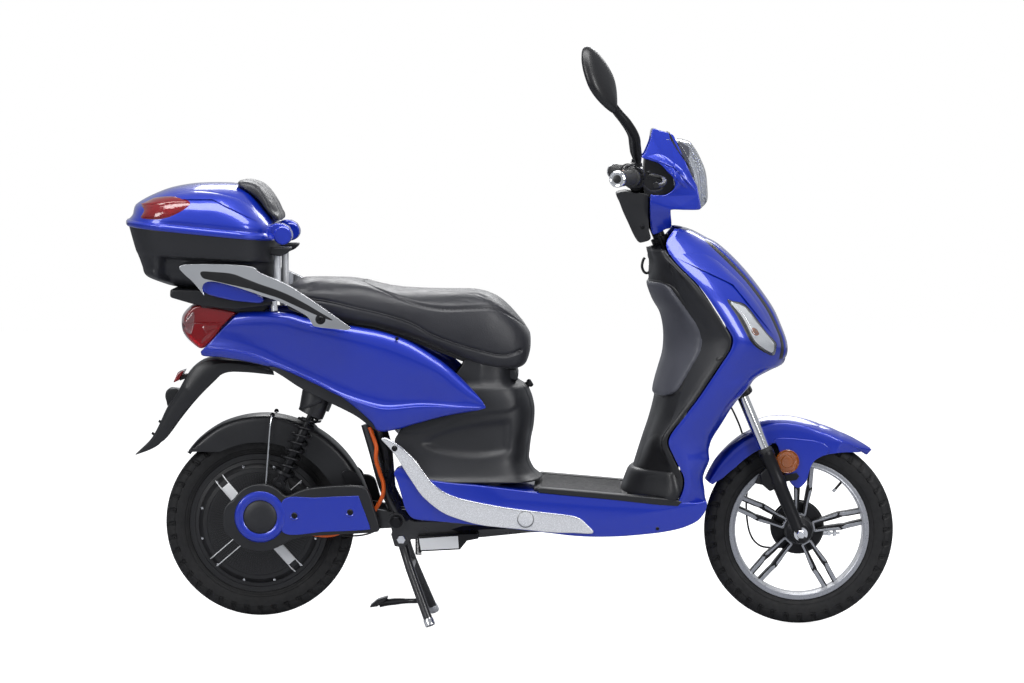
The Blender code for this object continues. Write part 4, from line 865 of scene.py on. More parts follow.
SEAT_SEAM = [
    (-0.470, 0.752), (-0.414, 0.745), (-0.352, 0.731), (-0.290, 0.717), (-0.228, 0.698),
    (-0.177, 0.670), (-0.125, 0.650), (-0.058, 0.630), (-0.015, 0.622), (0.022, 0.632), (0.041, 0.646),
]
SEAT_STEP = [
    (-0.338, 0.000), (-0.332, 0.050), (-0.306, 0.085), (-0.260, 0.106), (-0.208, 0.117),
    (-0.150, 0.116), (-0.080, 0.106), (-0.035, 0.092), (0.000, 0.074), (0.022, 0.045), (0.030, 0.0),
]


def seat_body():
    """The cushion before it is puffed, as one closed form."""
    top, low, half = table(SEAT_TOP), table(SEAT_LOW), table(SEAT_HALF)
    stations = [-0.509, -0.505, -0.498, *np.linspace(-0.488, 0.020, 42), 0.028, 0.034, 0.039, 0.042]
    rings = []
    for x in stations:
        height = top(x) - low(x)
        side = [(x, half(x) * w, low(x) + height * h) for w, h in SEAT_SECTION]
        ring = side + [(x, -y, z) for _, y, z in reversed(side[1:])]
        rings.append(curve_points(ring, 72, closed=True))
    return loft("seat_pad", rings)


def near_curve(points):
    """How far a point lies from a fine curve."""
    fine = curve_points(points, 260)
    return lambda p: float(np.min(np.linalg.norm(fine - np.array(p), axis=1)))


def laid_on(obj, points, side):
    """Points given as (x, z), or as (x, y) from above when side is 0, on the object's surface."""
    graph = bpy.context.evaluated_depsgraph_get()
    body = obj.evaluated_get(graph)
    found = []
    for first, second in points:
        if side:
            hit, place, normal, _ = body.ray_cast(Vector((first, side * 0.5, second)), Vector((0, -side, 0)))
        else:
            hit, place, normal, _ = body.ray_cast(Vector((first, second, 1.4)), Vector((0, 0, -1)))
        if hit:
            found.append(tuple(place))
    return found


def puffed(obj, voxel, pressure, cap, held):
    """Fills the piece out by a cloth simulation with a capped swell.

    Held says how fast a point is held, 0 to 1.
    """
    remesh = obj.modifiers.new("Remesh", "REMESH")
    remesh.mode = "VOXEL"
    remesh.voxel_size = voxel
    baked(obj)
    rest = [v.co.copy() for v in obj.data.vertices]
    group = obj.vertex_groups.new(name="held")
    for i, place in enumerate(rest):
        group.add([i], held(place), "REPLACE")
    cloth = obj.modifiers.new("Cloth", "CLOTH")
    cloth.settings.quality = 5
    cloth.settings.use_pressure = True
    cloth.settings.uniform_pressure_force = pressure
    cloth.settings.effector_weights.gravity = 0.0
    cloth.settings.vertex_group_mass = "held"
    cloth.settings.tension_stiffness = 18
    cloth.settings.compression_stiffness = 18
    cloth.settings.bending_stiffness = 0.6
    scene = bpy.context.scene
    for moment in range(1, 19):
        scene.frame_set(moment)
    graph = bpy.context.evaluated_depsgraph_get()
    swollen = bpy.data.meshes.new_from_object(obj.evaluated_get(graph))
    for vertex, start in zip(swollen.vertices, rest):
        step = vertex.co - start
        if step.length > cap:
            vertex.co = start + step * (cap / step.length)
    obj.modifiers.clear()
    obj.vertex_groups.clear()
    obj.data = swollen
    scene.frame_set(1)
    finer = obj.modifiers.new("Subdivision", "SUBSURF")
    finer.levels = 1
    finer.render_levels = 1
    baked(obj)
    obj.data.shade_smooth()
    return obj


def pressed(obj, distance, width, depth):
    """Presses a channel into the surface along the curve that the distance is measured from."""
    mesh = obj.data
    normals = [v.normal.copy() for v in mesh.vertices]
    for vertex, normal in zip(mesh.vertices, normals):
        away = distance(vertex.co)
        if away < width:
            vertex.co -= normal * depth * (1 - (away / width) ** 2) ** 2
    return obj


def make_seat():
    """The padded seat with its piping."""
    pad = seat_body()
    seams = []
    for side in (-1, 1):
        seams.append(laid_on(pad, SEAT_SEAM[:-1], side))
    step = laid_on(pad, SEAT_STEP, 0)
    step = step + [(x, -y, z) for x, y, z in reversed(step[:-1])]
    distances = [near_curve(points) for points in (*seams, step)]
    low = table(SEAT_LOW)

    def held(place):
        nearest = min(distance(place) for distance in distances)
        if place.z < low(place.x) + 0.006:
            return 1.0
        return 1.0 - ease(nearest, 0.004, 0.016)

    puffed(pad, 0.0048, 3.5, 0.0055, held)
    for distance in distances[:2]:
        pressed(pad, distance, 0.007, 0.0030)
    pressed(pad, distances[2], 0.008, 0.0022)
    mount(pad, "seat", "seat_leather", "seat_cushion")
    for (name, side), seam in zip(SIDES, seams):
        bead = pipe("seat_piping_" + name, [(x, y - side * 0.0018, z) for x, y, z in seam], 0.0013, 10, 160)
        mount(bead, "seat", "seat_leather")
    stitches = []
    fine = curve_points(step, 230)
    for a, b in zip(fine[::2], fine[1::2]):
        a, b = Vector(a), Vector(b)
        stitches.append(
            pipe(
                "stitch", [a + UP * 0.0002, a.lerp(b, 0.5) + UP * 0.0007, b + UP * 0.0002], 0.0005, 6,
                smooth=False,
            )
        )
    mount(dress(merged("seat_stitches", stitches), "black_plastic"), "seat", "seat_leather")


# ---------------------------------------------------------------- top box

LID_LEVELS = [
    (0.925, 0.1615, 0.201, -0.6945), (0.942, 0.1555, 0.197, -0.699), (0.957, 0.1475, 0.190, -0.7035),
    (0.974, 0.1305, 0.174, -0.7005), (0.988, 0.1100, 0.152, -0.6935), (0.998, 0.0890, 0.124, -0.6875),
    (1.004, 0.0680, 0.092, -0.680), (1.0075, 0.0440, 0.058, -0.676), (1.0090, 0.0180, 0.022, -0.675),
]
RIM_SLOPE = -0.1


def base_width(x, z, b):
    """The tub is narrower where the grab rails pass it."""
    if z > 0.846:
        return b
    return b + (0.184 - b) * (1 - ease(x, -0.795, -0.768)) * ease(z, 0.779, 0.800)


def make_topbox():
    """The top box, its lid and the backrest pad."""
    levels = [
        (0.7745, 0.088, 0.092, -0.663), (0.7760, 0.103, 0.106, -0.665), (0.782, 0.118, 0.118, -0.671),
        (0.800, 0.142, 0.138, -0.684), (0.820, 0.149, 0.148, -0.687), (0.832, 0.152, 0.151, -0.689),
        (0.838, 0.154, 0.155, -0.690), (0.8425, 0.155, 0.176, -0.691), (0.850, 0.157, 0.187, -0.693),
        (0.875, 0.162, 0.194, -0.696), (0.893, 0.165, 0.1985, -0.698), (0.900, 0.167, 0.200, -0.698),
    ]
    rings = [
        super_ring(cx, a, b, z, 4.0, 160, RIM_SLOPE * ease(z, 0.775, 0.900), base_width)
        for z, a, b, cx in levels
    ]
    bm = bmesh.new()
    columns = [curve_points([ring[k] for ring in rings], 46) for k in range(160)]
    rows = [[bm.verts.new(column[i]) for column in columns] for i in range(46)]
    grid_faces(bm, rows, True)
    bm.faces.new(rows[0])
    base = from_bmesh("topbox_tub", bm, 30.0)
    turned_out(base)
    shell = base.modifiers.new("Solidify", "SOLIDIFY")
    shell.thickness = 0.0028
    shell.offset = -1.0
    mount(base, "root", "grained_plastic", "topbox_base")
    lip = [
        (0.8975, 0.0000), (0.8985, 0.0052), (0.9020, 0.0078), (0.9085, 0.0078), (0.9120, 0.0050),
        (0.9135, 0.0008), (0.9150, 0.0),
    ]
    rings = [super_ring(-0.698, 0.1650 + out, 0.1990 + out, z, 3.9, 160, RIM_SLOPE) for z, out in lip]
    dome = []
    for z, a, b, cx in LID_LEVELS:
        dome.append(
            super_ring(
                cx, a, b, z, 3.9 - 1.0 * ease(z, 0.915, 0.975), 160,
                RIM_SLOPE * (1 - ease(z, 0.912, 1.000)) ** 1.5,
            )
        )
    dome_columns = [curve_points([rings[-1][k]] + [ring[k] for ring in dome], 34) for k in range(160)]
    rings += [[column[i] for column in dome_columns] for i in range(1, 34)]
    bm = bmesh.new()
    rows = [[bm.verts.new(p) for p in ring] for ring in rings]
    grid_faces(bm, rows, True)
    bm.faces.new(rows[-1])
    lid = from_bmesh("topbox_dome", bm, 40.0)
    turned_out(lid)
    shell = lid.modifiers.new("Solidify", "SOLIDIFY")
    shell.thickness = 0.0025
    shell.offset = -1.0
    mount(lid, "lid", "blue_paint", "topbox_lid")
    for name, side in SIDES:
        ridge = [
            (-0.800, 0.9745), (-0.755, 0.988), (-0.714, 0.994), (-0.666, 0.991), (-0.619, 0.981),
            (-0.585, 0.966), (-0.562, 0.944), (-0.549, 0.918), (-0.560, 0.935), (-0.587, 0.959),
            (-0.622, 0.974), (-0.666, 0.984), (-0.714, 0.987), (-0.755, 0.982),
        ]
        mount(decal("lid_ridge_" + name, ridge, lid, side, 0.0028, 6, 120, 3.0), "lid", "blue_paint")
        lens = [
            (-0.8285, 0.963), (-0.812, 0.974), (-0.795, 0.980), (-0.754, 0.983), (-0.727, 0.978),
            (-0.712, 0.969), (-0.716, 0.960), (-0.736, 0.947), (-0.760, 0.936), (-0.787, 0.931),
            (-0.815, 0.932), (-0.8265, 0.935), (-0.822, 0.944), (-0.820, 0.953),
        ]
        mount(decal("lid_reflector_" + name, lens, lid, side, 0.0050, 14, 120, 4.0), "lid", "red_lens")
        ridge = [
            (-0.826, 0.9635), (-0.790, 0.9645), (-0.758, 0.968), (-0.722, 0.969), (-0.740, 0.9635),
            (-0.770, 0.9605), (-0.800, 0.9590), (-0.820, 0.9600),
        ]
        mount(
            decal("lid_reflector_ridge_" + name, ridge, lid, side, 0.0078, 8, 90, 2.0, -0.003), "lid",
            "red_lens",
        )
        y = sorted((side * 0.084, side * 0.121))
        ear = [
            (-0.548, 0.902), (-0.543, 0.914), (-0.530, 0.9205), (-0.513, 0.9195), (-0.499, 0.912),
            (-0.493, 0.898), (-0.492, 0.886), (-0.548, 0.884),
        ]
        knuckle = plate("hinge_cap_" + name, ear, *y, 0.004, 4, 25.0)
        mount(knuckle, "lid", "blue_paint")
        mount(
            lathe(
                "hinge_ring_" + name,
                [
                    (0.0, -0.0215), (0.0180, -0.0215), (0.0205, -0.0195), (0.0205, 0.0195),
                    (0.0180, 0.0215), (0.0, 0.0215),
                ],
                Vector((-0.513, side * 0.1025, 0.893)), ACROSS, 48, False,
            ),
            "lid", "blue_paint",
        )
        foot = [
            (-0.545, 0.8665), (-0.546, 0.8560), (-0.538, 0.8490), (-0.519, 0.8460), (-0.505, 0.8520),
            (-0.496, 0.8600), (-0.494, 0.8665),
        ]
        mount(plate("hinge_foot_" + name, foot, *y, 0.004, 4, 25.0), "root", "black_plastic")
        post = rod(
            "hinge_post_" + name, (-0.5275, side * 0.100, 0.744), (-0.5275, side * 0.100, 0.850),
            0.0085, 28,
        )
        mount(post, "root", "chrome_trim", finish="silver_trim")
    backrest = []
    spine = [
        (-0.622, 1.0110), (-0.604, 1.0150), (-0.588, 1.0130), (-0.572, 1.0060), (-0.556, 0.9900),
        (-0.541, 0.9660), (-0.530, 0.9420), (-0.523, 0.9270), (-0.530, 0.9210), (-0.546, 0.9420),
        (-0.566, 0.9700), (-0.596, 0.9960),
    ]
    middle_x, middle_z = -0.572, 0.976
    for y, size in (
        (-0.102, 0.35), (-0.100, 0.62), (-0.094, 0.85), (-0.082, 0.97), (-0.050, 1.0), (0.0, 1.02),
        (0.050, 1.0), (0.082, 0.97), (0.094, 0.85), (0.100, 0.62), (0.102, 0.35),
    ):
        ring = smooth_outline(spine, 60)
        backrest.append(
            [(middle_x + (x - middle_x) * size, y, middle_z + (z - middle_z) * size) for x, z in ring]
        )
    pad = loft("lid_pad", backrest, 60)
    puffed(
        pad, 0.0040, 3.0, 0.0035,
        lambda p: 1.0 - ease((p - Vector((-0.586, p.y, 0.958))).length, 0.020, 0.045),
    )
    for offset in (-0.034, 0.034):
        pressed(pad, lambda p, offset=offset: abs(p.y - offset), 0.006, 0.0022)
    mount(pad, "lid", "seat_leather", "backrest_pad")


# ---------------------------------------------------------------- carrier and tail

RAIL_OUTER = [
    (-0.739, 0.822), (-0.733, 0.829), (-0.708, 0.8315), (-0.660, 0.8315), (-0.621, 0.8305),
    (-0.580, 0.826), (-0.566, 0.820), (-0.558, 0.812), (-0.501, 0.787), (-0.463, 0.764),
    (-0.414, 0.731), (-0.380, 0.707), (-0.358, 0.690), (-0.365, 0.6845), (-0.393, 0.687),
    (-0.435, 0.692), (-0.444, 0.700), (-0.455, 0.716), (-0.488, 0.735), (-0.520, 0.7495),
    (-0.555, 0.761), (-0.598, 0.776), (-0.640, 0.788), (-0.667, 0.793), (-0.683, 0.789),
    (-0.688, 0.776), (-0.683, 0.760), (-0.694, 0.774), (-0.710, 0.793), (-0.727, 0.808),
]
RAIL_INLAY = [
    (-0.704, 0.8185), (-0.670, 0.8180), (-0.629, 0.8140), (-0.595, 0.8020), (-0.560, 0.7885),
    (-0.519, 0.7745), (-0.485, 0.7600), (-0.451, 0.7420), (-0.417, 0.7220), (-0.383, 0.7010),
    (-0.405, 0.7060), (-0.434, 0.7180), (-0.451, 0.7270), (-0.485, 0.7420), (-0.519, 0.7560),
    (-0.560, 0.7690), (-0.601, 0.7830), (-0.643, 0.7975), (-0.670, 0.8010), (-0.697, 0.8020),
]
INSERT = [
    (-0.690, 0.781), (-0.684, 0.7915), (-0.674, 0.793), (-0.650, 0.789), (-0.622, 0.783),
    (-0.590, 0.7715), (-0.564, 0.761), (-0.553, 0.751), (-0.562, 0.7435), (-0.590, 0.7455),
    (-0.622, 0.749), (-0.655, 0.756), (-0.676, 0.762), (-0.688, 0.770),
]


def make_carrier():
    """The chrome grab rails and the rear carrier."""
    for name, side in SIDES:
        low, high = sorted((side * 0.158, side * 0.179))
        rail = plate("grab_rail_" + name, smooth_outline(RAIL_OUTER, 220), low, high, 0.0052, 5, 40.0)
        mount(rail, "root", "chrome_trim", "rear_carrier")
        mount(
            decal("rail_inlay_" + name, RAIL_INLAY, rail, side, 0.0010, 6, 160, 6.0), "root",
            "chrome_trim", finish="dark_plastic",
        )
        low, high = sorted((side * 0.126, side * 0.161))
        mount(
            plate("tail_insert_" + name, smooth_outline(INSERT, 120), low, high, 0.005, 4, 40.0),
            "root", "blue_paint",
        )
        mount(
            bolt(
                "rail_bolt_" + name, (-0.424, side * 0.1785, 0.7085), (0, side, 0), 0.0075, 0.005,
                "cap", "black_metal",
            ),
            "root", "chrome_trim",
        )
        mount(
            lathe(
                "rail_bolt_seat_" + name,
                [(0.0, 0.0), (0.0115, 0.0), (0.0115, 0.0012), (0.0095, 0.0018), (0.0, 0.0018)],
                Vector((-0.424, side * 0.1785, 0.7085)), ACROSS * side, 40, False,
            ),
            "root", "chrome_trim", finish="black_metal",
        )
        arm = [(-0.580, side * 0.118, 0.7500), (-0.545, side * 0.140, 0.7540), (-0.515, side * 0.162, 0.7580)]
        mount(pipe("carrier_arm_" + name, arm, 0.0085, 20), "root", "chrome_trim", finish="black_metal")
        post = rod(
            "carrier_post_" + name, (-0.580, side * 0.056, 0.7045), (-0.580, side * 0.056, 0.748),
            0.009, 28,
        )
        mount(post, "root", "chrome_trim", finish="black_metal")
        stay = rod(
            "carrier_stay_" + name, (-0.533, side * 0.108, 0.722), (-0.536, side * 0.104, 0.752),
            0.0075, 24,
        )
        mount(stay, "root", "chrome_trim", finish="silver_trim")
    rack = [
        (-0.768, 0.7535), (-0.767, 0.7720), (-0.742, 0.7725), (-0.690, 0.7700), (-0.572, 0.7690),
        (-0.540, 0.7620), (-0.536, 0.7370), (-0.560, 0.7330), (-0.620, 0.7260), (-0.690, 0.7330),
        (-0.722, 0.7400),
    ]
    mount(plate("rack_plate", rack, -0.124, 0.124, 0.005, 4, 20.0), "root", "black_plastic")
    under = [(-0.705, 0.7400), (-0.700, 0.7280), (-0.640, 0.7180), (-0.560, 0.7160), (-0.545, 0.7350)]
    mount(plate("rack_underside", under, -0.098, 0.098, 0.004, 3, 20.0), "root", "black_plastic")


LAMP = [
    (-0.7520, 0.700), (-0.7450, 0.716), (-0.7250, 0.7335), (-0.700, 0.735), (-0.660, 0.730),
    (-0.6170, 0.7200), (-0.626, 0.7070), (-0.648, 0.6880), (-0.664, 0.6680), (-0.684, 0.6460),
    (-0.706, 0.6330), (-0.728, 0.6460), (-0.744, 0.6620), (-0.7510, 0.6780),
]


def make_tail():
    """The tail lamp wraps round the tail: one red lens body, with a clear window, a ridge and a blade laid on each
    side.
    """
    outline = np.array(smooth_outline(LAMP, 90))
    heart = np.array([-0.672, 0.690])
    rings = []
    for y in np.linspace(-1, 1, 37):
        size = 1 - 0.16 * abs(y) ** 3.2
        reach = 0.100
        ring = [
            (
                heart[0] + (x - heart[0]) * size, y * reach * (1 - 0.10 * ease(x, -0.66, -0.76)),
                heart[1] + (z - heart[1]) * (0.93 + 0.07 * (1 - abs(y) ** 4)),
            )
            for x, z in outline
        ]
        rings.append(ring)
    lamp = loft("tail_lamp", rings)
    round_edges(lamp, 0.006, 4, 40.0)
    mount(lamp, "root", "red_lens", "tail_light")
    for name, side in SIDES:
        white = [
            (-0.7410, 0.694), (-0.7330, 0.708), (-0.7220, 0.719), (-0.7160, 0.7180), (-0.7165, 0.691),
            (-0.7240, 0.668), (-0.7360, 0.672), (-0.7410, 0.682),
        ]
        mount(
            decal("tail_lamp_window_" + name, white, lamp, side, 0.0016, 8, 80, 5.0), "root",
            "red_lens", finish="clear_lens",
        )
        ridge = [(-0.7440, 0.6935), (-0.700, 0.6960), (-0.6560, 0.6950), (-0.700, 0.6915)]
        mount(decal("tail_lamp_ridge_" + name, ridge, lamp, side, 0.0030, 6, 60, 2.5), "root", "red_lens")
        blade = [
            (-0.700, 0.686), (-0.676, 0.690), (-0.662, 0.686), (-0.690, 0.653), (-0.704, 0.648),
            (-0.690, 0.668),
        ]
        mount(decal("tail_lamp_blade_" + name, blade, lamp, side, 0.0022, 6, 60, 3.0), "root", "red_lens")


FLAP_UPPER = [
    (-0.545, 0.5860), (-0.600, 0.6020), (-0.655, 0.6085), (-0.700, 0.6060), (-0.731, 0.5850),
    (-0.765, 0.5290), (-0.787, 0.4970), (-0.806, 0.4570), (-0.826, 0.4230), (-0.861, 0.3890),
]
FLAP_LOWER = [
    (-0.540, 0.5720), (-0.609, 0.5790), (-0.655, 0.5760), (-0.693, 0.5440), (-0.732, 0.5040),
    (-0.766, 0.4620), (-0.787, 0.4330), (-0.805, 0.4120), (-0.830, 0.3980), (-0.860, 0.3870),
]


def make_mudflap():
    """The tail piece: a channel in section, which narrows to its tip."""
    upper, lower = curve_points(FLAP_UPPER, 40), curve_points(FLAP_LOWER, 40)
    rings = []
    for i, ((ux, uz), (lx, lz)) in enumerate(zip(upper, lower)):
        share = i / 39
        half = 0.052 + 0.010 * math.sin(math.pi * share) - 0.016 * ease(share, 0.75, 1.0)
        ring = []
        for w, s in (
            (0.0, 0.0), (0.55, 0.0), (0.86, 0.06), (0.98, 0.30), (1.0, 0.65), (0.96, 1.0), (0.88, 1.0),
            (0.86, 0.60), (0.70, 0.36), (0.0, 0.30),
        ):
            ring.append((ux + (lx - ux) * s, half * w, uz + (lz - uz) * s))
        rings.append(ring + [(x, -y, z) for x, y, z in reversed(ring[1:-1])])
    flap = loft("tail_mudguard", rings, None, True, 30.0)
    round_edges(flap, 0.0012, 2, 45.0)
    mount(flap, "root", "black_plastic", "mudflap")
    reflector = [(-0.7630, 0.5760), (-0.7480, 0.5810), (-0.7600, 0.5580), (-0.7740, 0.5520)]
    mount(plate("rear_reflector", reflector, -0.030, 0.030, 0.003), "root", "red_lens")
    carrier = [(-0.7590, 0.5560), (-0.7440, 0.5620), (-0.7460, 0.5700), (-0.7620, 0.5680)]
    mount(plate("reflector_holder", carrier, -0.020, 0.020, 0.001), "root", "black_plastic")
    lamp = [
        (-0.7930, 0.5200), (-0.7900, 0.5330), (-0.7800, 0.5380), (-0.7560, 0.5300), (-0.7720, 0.4980),
        (-0.7870, 0.4980), (-0.7900, 0.5080),
    ]
    mount(
        plate("plate_lamp", smooth_outline(lamp, 50), -0.024, 0.024, 0.003, 3, 40.0), "root",
        "black_plastic",
    )
    mount(
        plate(
            "plate_lamp_glass",
            [(-0.7890, 0.5010), (-0.7760, 0.5010), (-0.7790, 0.4960), (-0.7870, 0.4960)], -0.018, 0.018,
            0.001,
        ),
        "root", "clear_lens",
    )
    for x, z in ((-0.8010, 0.4560), (-0.8170, 0.4280)):
        mount(
            rod("plate_stud", (x - 0.010, 0, z + 0.006), (x + 0.004, 0, z - 0.002), 0.0032, 16, 0.0006),
            "root", "chrome_trim", finish="black_metal",
        )


make_body_panels()
make_seat()
make_topbox()
make_carrier()
make_tail()
make_mudflap()


# ---------------------------------------------------------------- leg shield, nose and floor

SHIELD_EDGE = [
    (0.290, 0.372), (0.319, 0.386), (0.353, 0.389), (0.399, 0.367), (0.440, 0.355), (0.494, 0.392),
    (0.532, 0.420), (0.570, 0.445), (0.607, 0.469), (0.640, 0.490), (0.661, 0.496), (0.675, 0.493),
    (0.704, 0.475), (0.748, 0.447), (0.789, 0.416), (0.826, 0.378), (0.857, 0.353), (0.880, 0.349),
    (0.905, 0.366),
]
SHIELD_WIDTH = [
    (0.290, 0.156), (0.400, 0.166), (0.540, 0.180), (0.660, 0.192), (0.760, 0.184), (0.850, 0.140),
    (0.905, 0.100),
]
SHIELD_REAR = [
    (0.305, 0.262), (0.352, 0.274), (0.386, 0.284), (0.433, 0.299), (0.472, 0.312), (0.510, 0.322),
    (0.558, 0.332), (0.590, 0.341), (0.622, 0.350), (0.654, 0.353), (0.686, 0.351), (0.717, 0.343),
    (0.749, 0.325), (0.790, 0.312), (0.832, 0.312), (0.860, 0.306),
]
KNEE_EDGE = [
    (0.530, 0.338), (0.5335, 0.356), (0.545, 0.375), (0.580, 0.397), (0.621, 0.421), (0.650, 0.432),
    (0.672, 0.430), (0.703, 0.415), (0.741, 0.387), (0.773, 0.364), (0.784, 0.350), (0.789, 0.330),
]
shield_edge, shield_width, shield_rear = table(SHIELD_EDGE), table(SHIELD_WIDTH), table(SHIELD_REAR)


def shield_ring(z, count=81, out=0.0):
    """The inner shield at one height, from its right edge round the middle ridge to its left edge."""
    edge, half, rear = shield_edge(z) - 0.004, shield_width(z) - 0.001, shield_rear(z)
    half_ring = [
        (edge, half), (edge - 0.012, half - 0.004), (edge * 0.74 + rear * 0.26, half * 0.90),
        (edge * 0.32 + rear * 0.68, half * 0.64), (rear + 0.008, half * 0.38),
        (rear + 0.001, half * 0.17), (rear, 0.0),
    ]
    ring = curve_points(
        [(x, -y) for x, y in half_ring] + [(x, y) for x, y in reversed(half_ring[:-1])], count,
    )
    if out:
        ahead = np.gradient(ring, axis=0)
        ahead /= np.linalg.norm(ahead, axis=1)[:, None]
        ring = ring + np.stack(
            [-np.abs(ahead[:, 1]), np.sign(ring[:, 1]) * np.abs(ahead[:, 0]) * 0.9], axis=1,
        ) * out
    return [(x, y, z) for x, y in ring]


def wrapped(name, heights, offsets, reach, count=90):
    """A pad that wraps round the inner shield: at each height, the part of the shield behind reach(z)."""
    rows = []
    for z, out in zip(heights, offsets):
        base, raised = np.array(shield_ring(z, 241)), np.array(shield_ring(z, 241, out))
        inside = base[:, 0] <= reach(z)
        if inside.sum() < 4:
            inside = base[:, 0] <= shield_rear(z) + 0.004
        base, raised = base[inside], raised[inside]
        share = np.abs(np.linspace(-1, 1, len(base)))[:, None] ** 40
        rows.append(curve_points(raised * (1 - share) + base * share, count))
    bm = bmesh.new()
    grid = [[bm.verts.new(p) for p in row] for row in rows]
    grid_faces(bm, grid)
    return turned_out(from_bmesh(name, bm, 60.0))


def make_leg_shield():
    """The leg shield with its knee panel and hook."""
    heights = [0.300, *np.linspace(0.312, 0.862, 90)]
    rows = [shield_ring(z) for z in heights]
    bm = bmesh.new()
    grid = [[bm.verts.new(p) for p in row] for row in rows]
    grid_faces(bm, grid)
    shield = turned_out(from_bmesh("inner_shield", bm, 60.0))
    shell = shield.modifiers.new("Solidify", "SOLIDIFY")
    shell.thickness = 0.0025
    shell.offset = -1.0
    mount(shield, "root", "grained_plastic", "leg_shield", finish="black_plastic")
    reach = table(KNEE_EDGE)
    heights = [0.5305, 0.5315, 0.5335, 0.537, *np.linspace(0.545, 0.775, 60), 0.781, 0.7845, 0.7865, 0.7875]
    offsets = [-0.001, 0.004, 0.006, 0.007, *[0.0075] * 60, 0.007, 0.006, 0.004, -0.001]
    mount(wrapped("knee_panel", heights, offsets, reach), "root", "grained_plastic", finish="grey_plastic")
    # A dark band a little wider than the knee panel: painted shade standing in for the shadowed gap round its
    # edge.
    heights = [0.5255, 0.528, *np.linspace(0.535, 0.785, 60), 0.7905, 0.7925]
    offsets = [-0.001, 0.0016, *[0.0020] * 60, 0.0016, -0.001]
    mount(
        wrapped("knee_panel_gap", heights, offsets, lambda z: reach(z) + 0.007), "root",
        "grained_plastic", finish="dark_plastic",
    )
    heights = [0.2985, 0.3000, 0.304, 0.312, 0.322, 0.334, 0.346, 0.354, 0.359, 0.3625, 0.3645]
    offsets = [0.004, 0.009, 0.013, 0.0145, 0.014, 0.013, 0.0115, 0.0105, 0.0085, 0.005, 0.000]
    mount(
        wrapped("shield_foot", heights, offsets, lambda z: 0.383 - 0.4 * max(0.0, z - 0.325), 110),
        "root", "grained_plastic", finish="black_plastic",
    )
    for name, side in SIDES:
        arch = [
            (0.287, 0.366), (0.292, 0.390), (0.300, 0.415), (0.313, 0.440), (0.328, 0.452),
            (0.342, 0.446), (0.351, 0.430), (0.355, 0.408), (0.366, 0.390), (0.379, 0.368),
            (0.384, 0.350), (0.360, 0.352), (0.320, 0.358),
        ]
        mount(
            decal("shield_arch_" + name, arch, shield, side, 0.0012, 10, 110, 8.0), "root",
            "grained_plastic", finish="dark_plastic",
        )
        groove = [
            (0.350, 0.846), (0.362, 0.836), (0.395, 0.790), (0.450, 0.722), (0.484, 0.672),
            (0.4885, 0.655), (0.484, 0.640), (0.466, 0.612), (0.438, 0.574), (0.380, 0.492),
            (0.350, 0.446), (0.3535, 0.452), (0.384, 0.492), (0.432, 0.560), (0.462, 0.604),
            (0.4785, 0.634), (0.4815, 0.652), (0.476, 0.668), (0.446, 0.712), (0.391, 0.781),
            (0.358, 0.824),
        ]
        mount(
            decal("shield_bead_" + name, groove, shield, side, 0.0024, 4, 200, 2.2), "root",
            "grained_plastic", finish="grained_plastic",
        )
        # A small dark patch: painted shade standing in for the shadowed inside of the slot.
        slot = [
            (0.456, 0.620), (0.461, 0.626), (0.470, 0.629), (0.478, 0.627), (0.478, 0.621),
            (0.468, 0.6195), (0.462, 0.616),
        ]
        mount(
            decal("shield_slot_" + name, slot, shield, side, 0.0012, 5, 50, 3.0), "root",
            "grained_plastic", finish="dark_plastic",
        )
    neck = []
    for z, front, back, half in (
        (0.838, 0.352, 0.315, 0.060), (0.846, 0.352, 0.310, 0.052), (0.856, 0.352, 0.309, 0.040),
        (0.866, 0.351, 0.313, 0.034), (0.870, 0.348, 0.317, 0.030),
    ):
        middle_x, reach_x = (front + back) / 2, (front - back) / 2
        neck.append(
            [
                (middle_x + reach_x * math.cos(a), half * math.sin(a), z + 0.35 * reach_x * math.cos(a))
                for a in np.linspace(0, 2 * math.pi, 48, endpoint=False)
            ]
        )
    mount(
        round_edges(loft("shield_neck", neck, 16), 0.002), "root", "grained_plastic",
        finish="grained_plastic",
    )
    hook = pipe(
        "bag_hook",
        [
            (0.319, 0, 0.812), (0.309, 0, 0.803), (0.301, 0, 0.806), (0.2965, 0, 0.818),
            (0.299, 0, 0.832), (0.303, 0, 0.838),
        ],
        0.0030, 16, 40,
    )
    mount(hook, "root", "black_plastic")
    mount(
        bolt("bag_hook_screw", (0.3145, 0, 0.818), (-1, 0, 0), 0.004, 0.003, "cap", "chrome_trim"),
        "root", "chrome_trim",
    )


NOSE_LINE = [
    (0.290, 0.4405), (0.320, 0.4375), (0.353, 0.4345), (0.388, 0.4480), (0.410, 0.4465),
    (0.437, 0.4540), (0.466, 0.4720), (0.511, 0.5000), (0.550, 0.5330), (0.572, 0.5520),
    (0.590, 0.5950), (0.600, 0.6190), (0.620, 0.6240), (0.649, 0.6225), (0.688, 0.6080),
    (0.723, 0.5920), (0.762, 0.5660), (0.803, 0.5340), (0.838, 0.5020), (0.867, 0.4700),
    (0.880, 0.4510), (0.901, 0.4120), (0.908, 0.3880),
]
WELL_HALF = 0.115


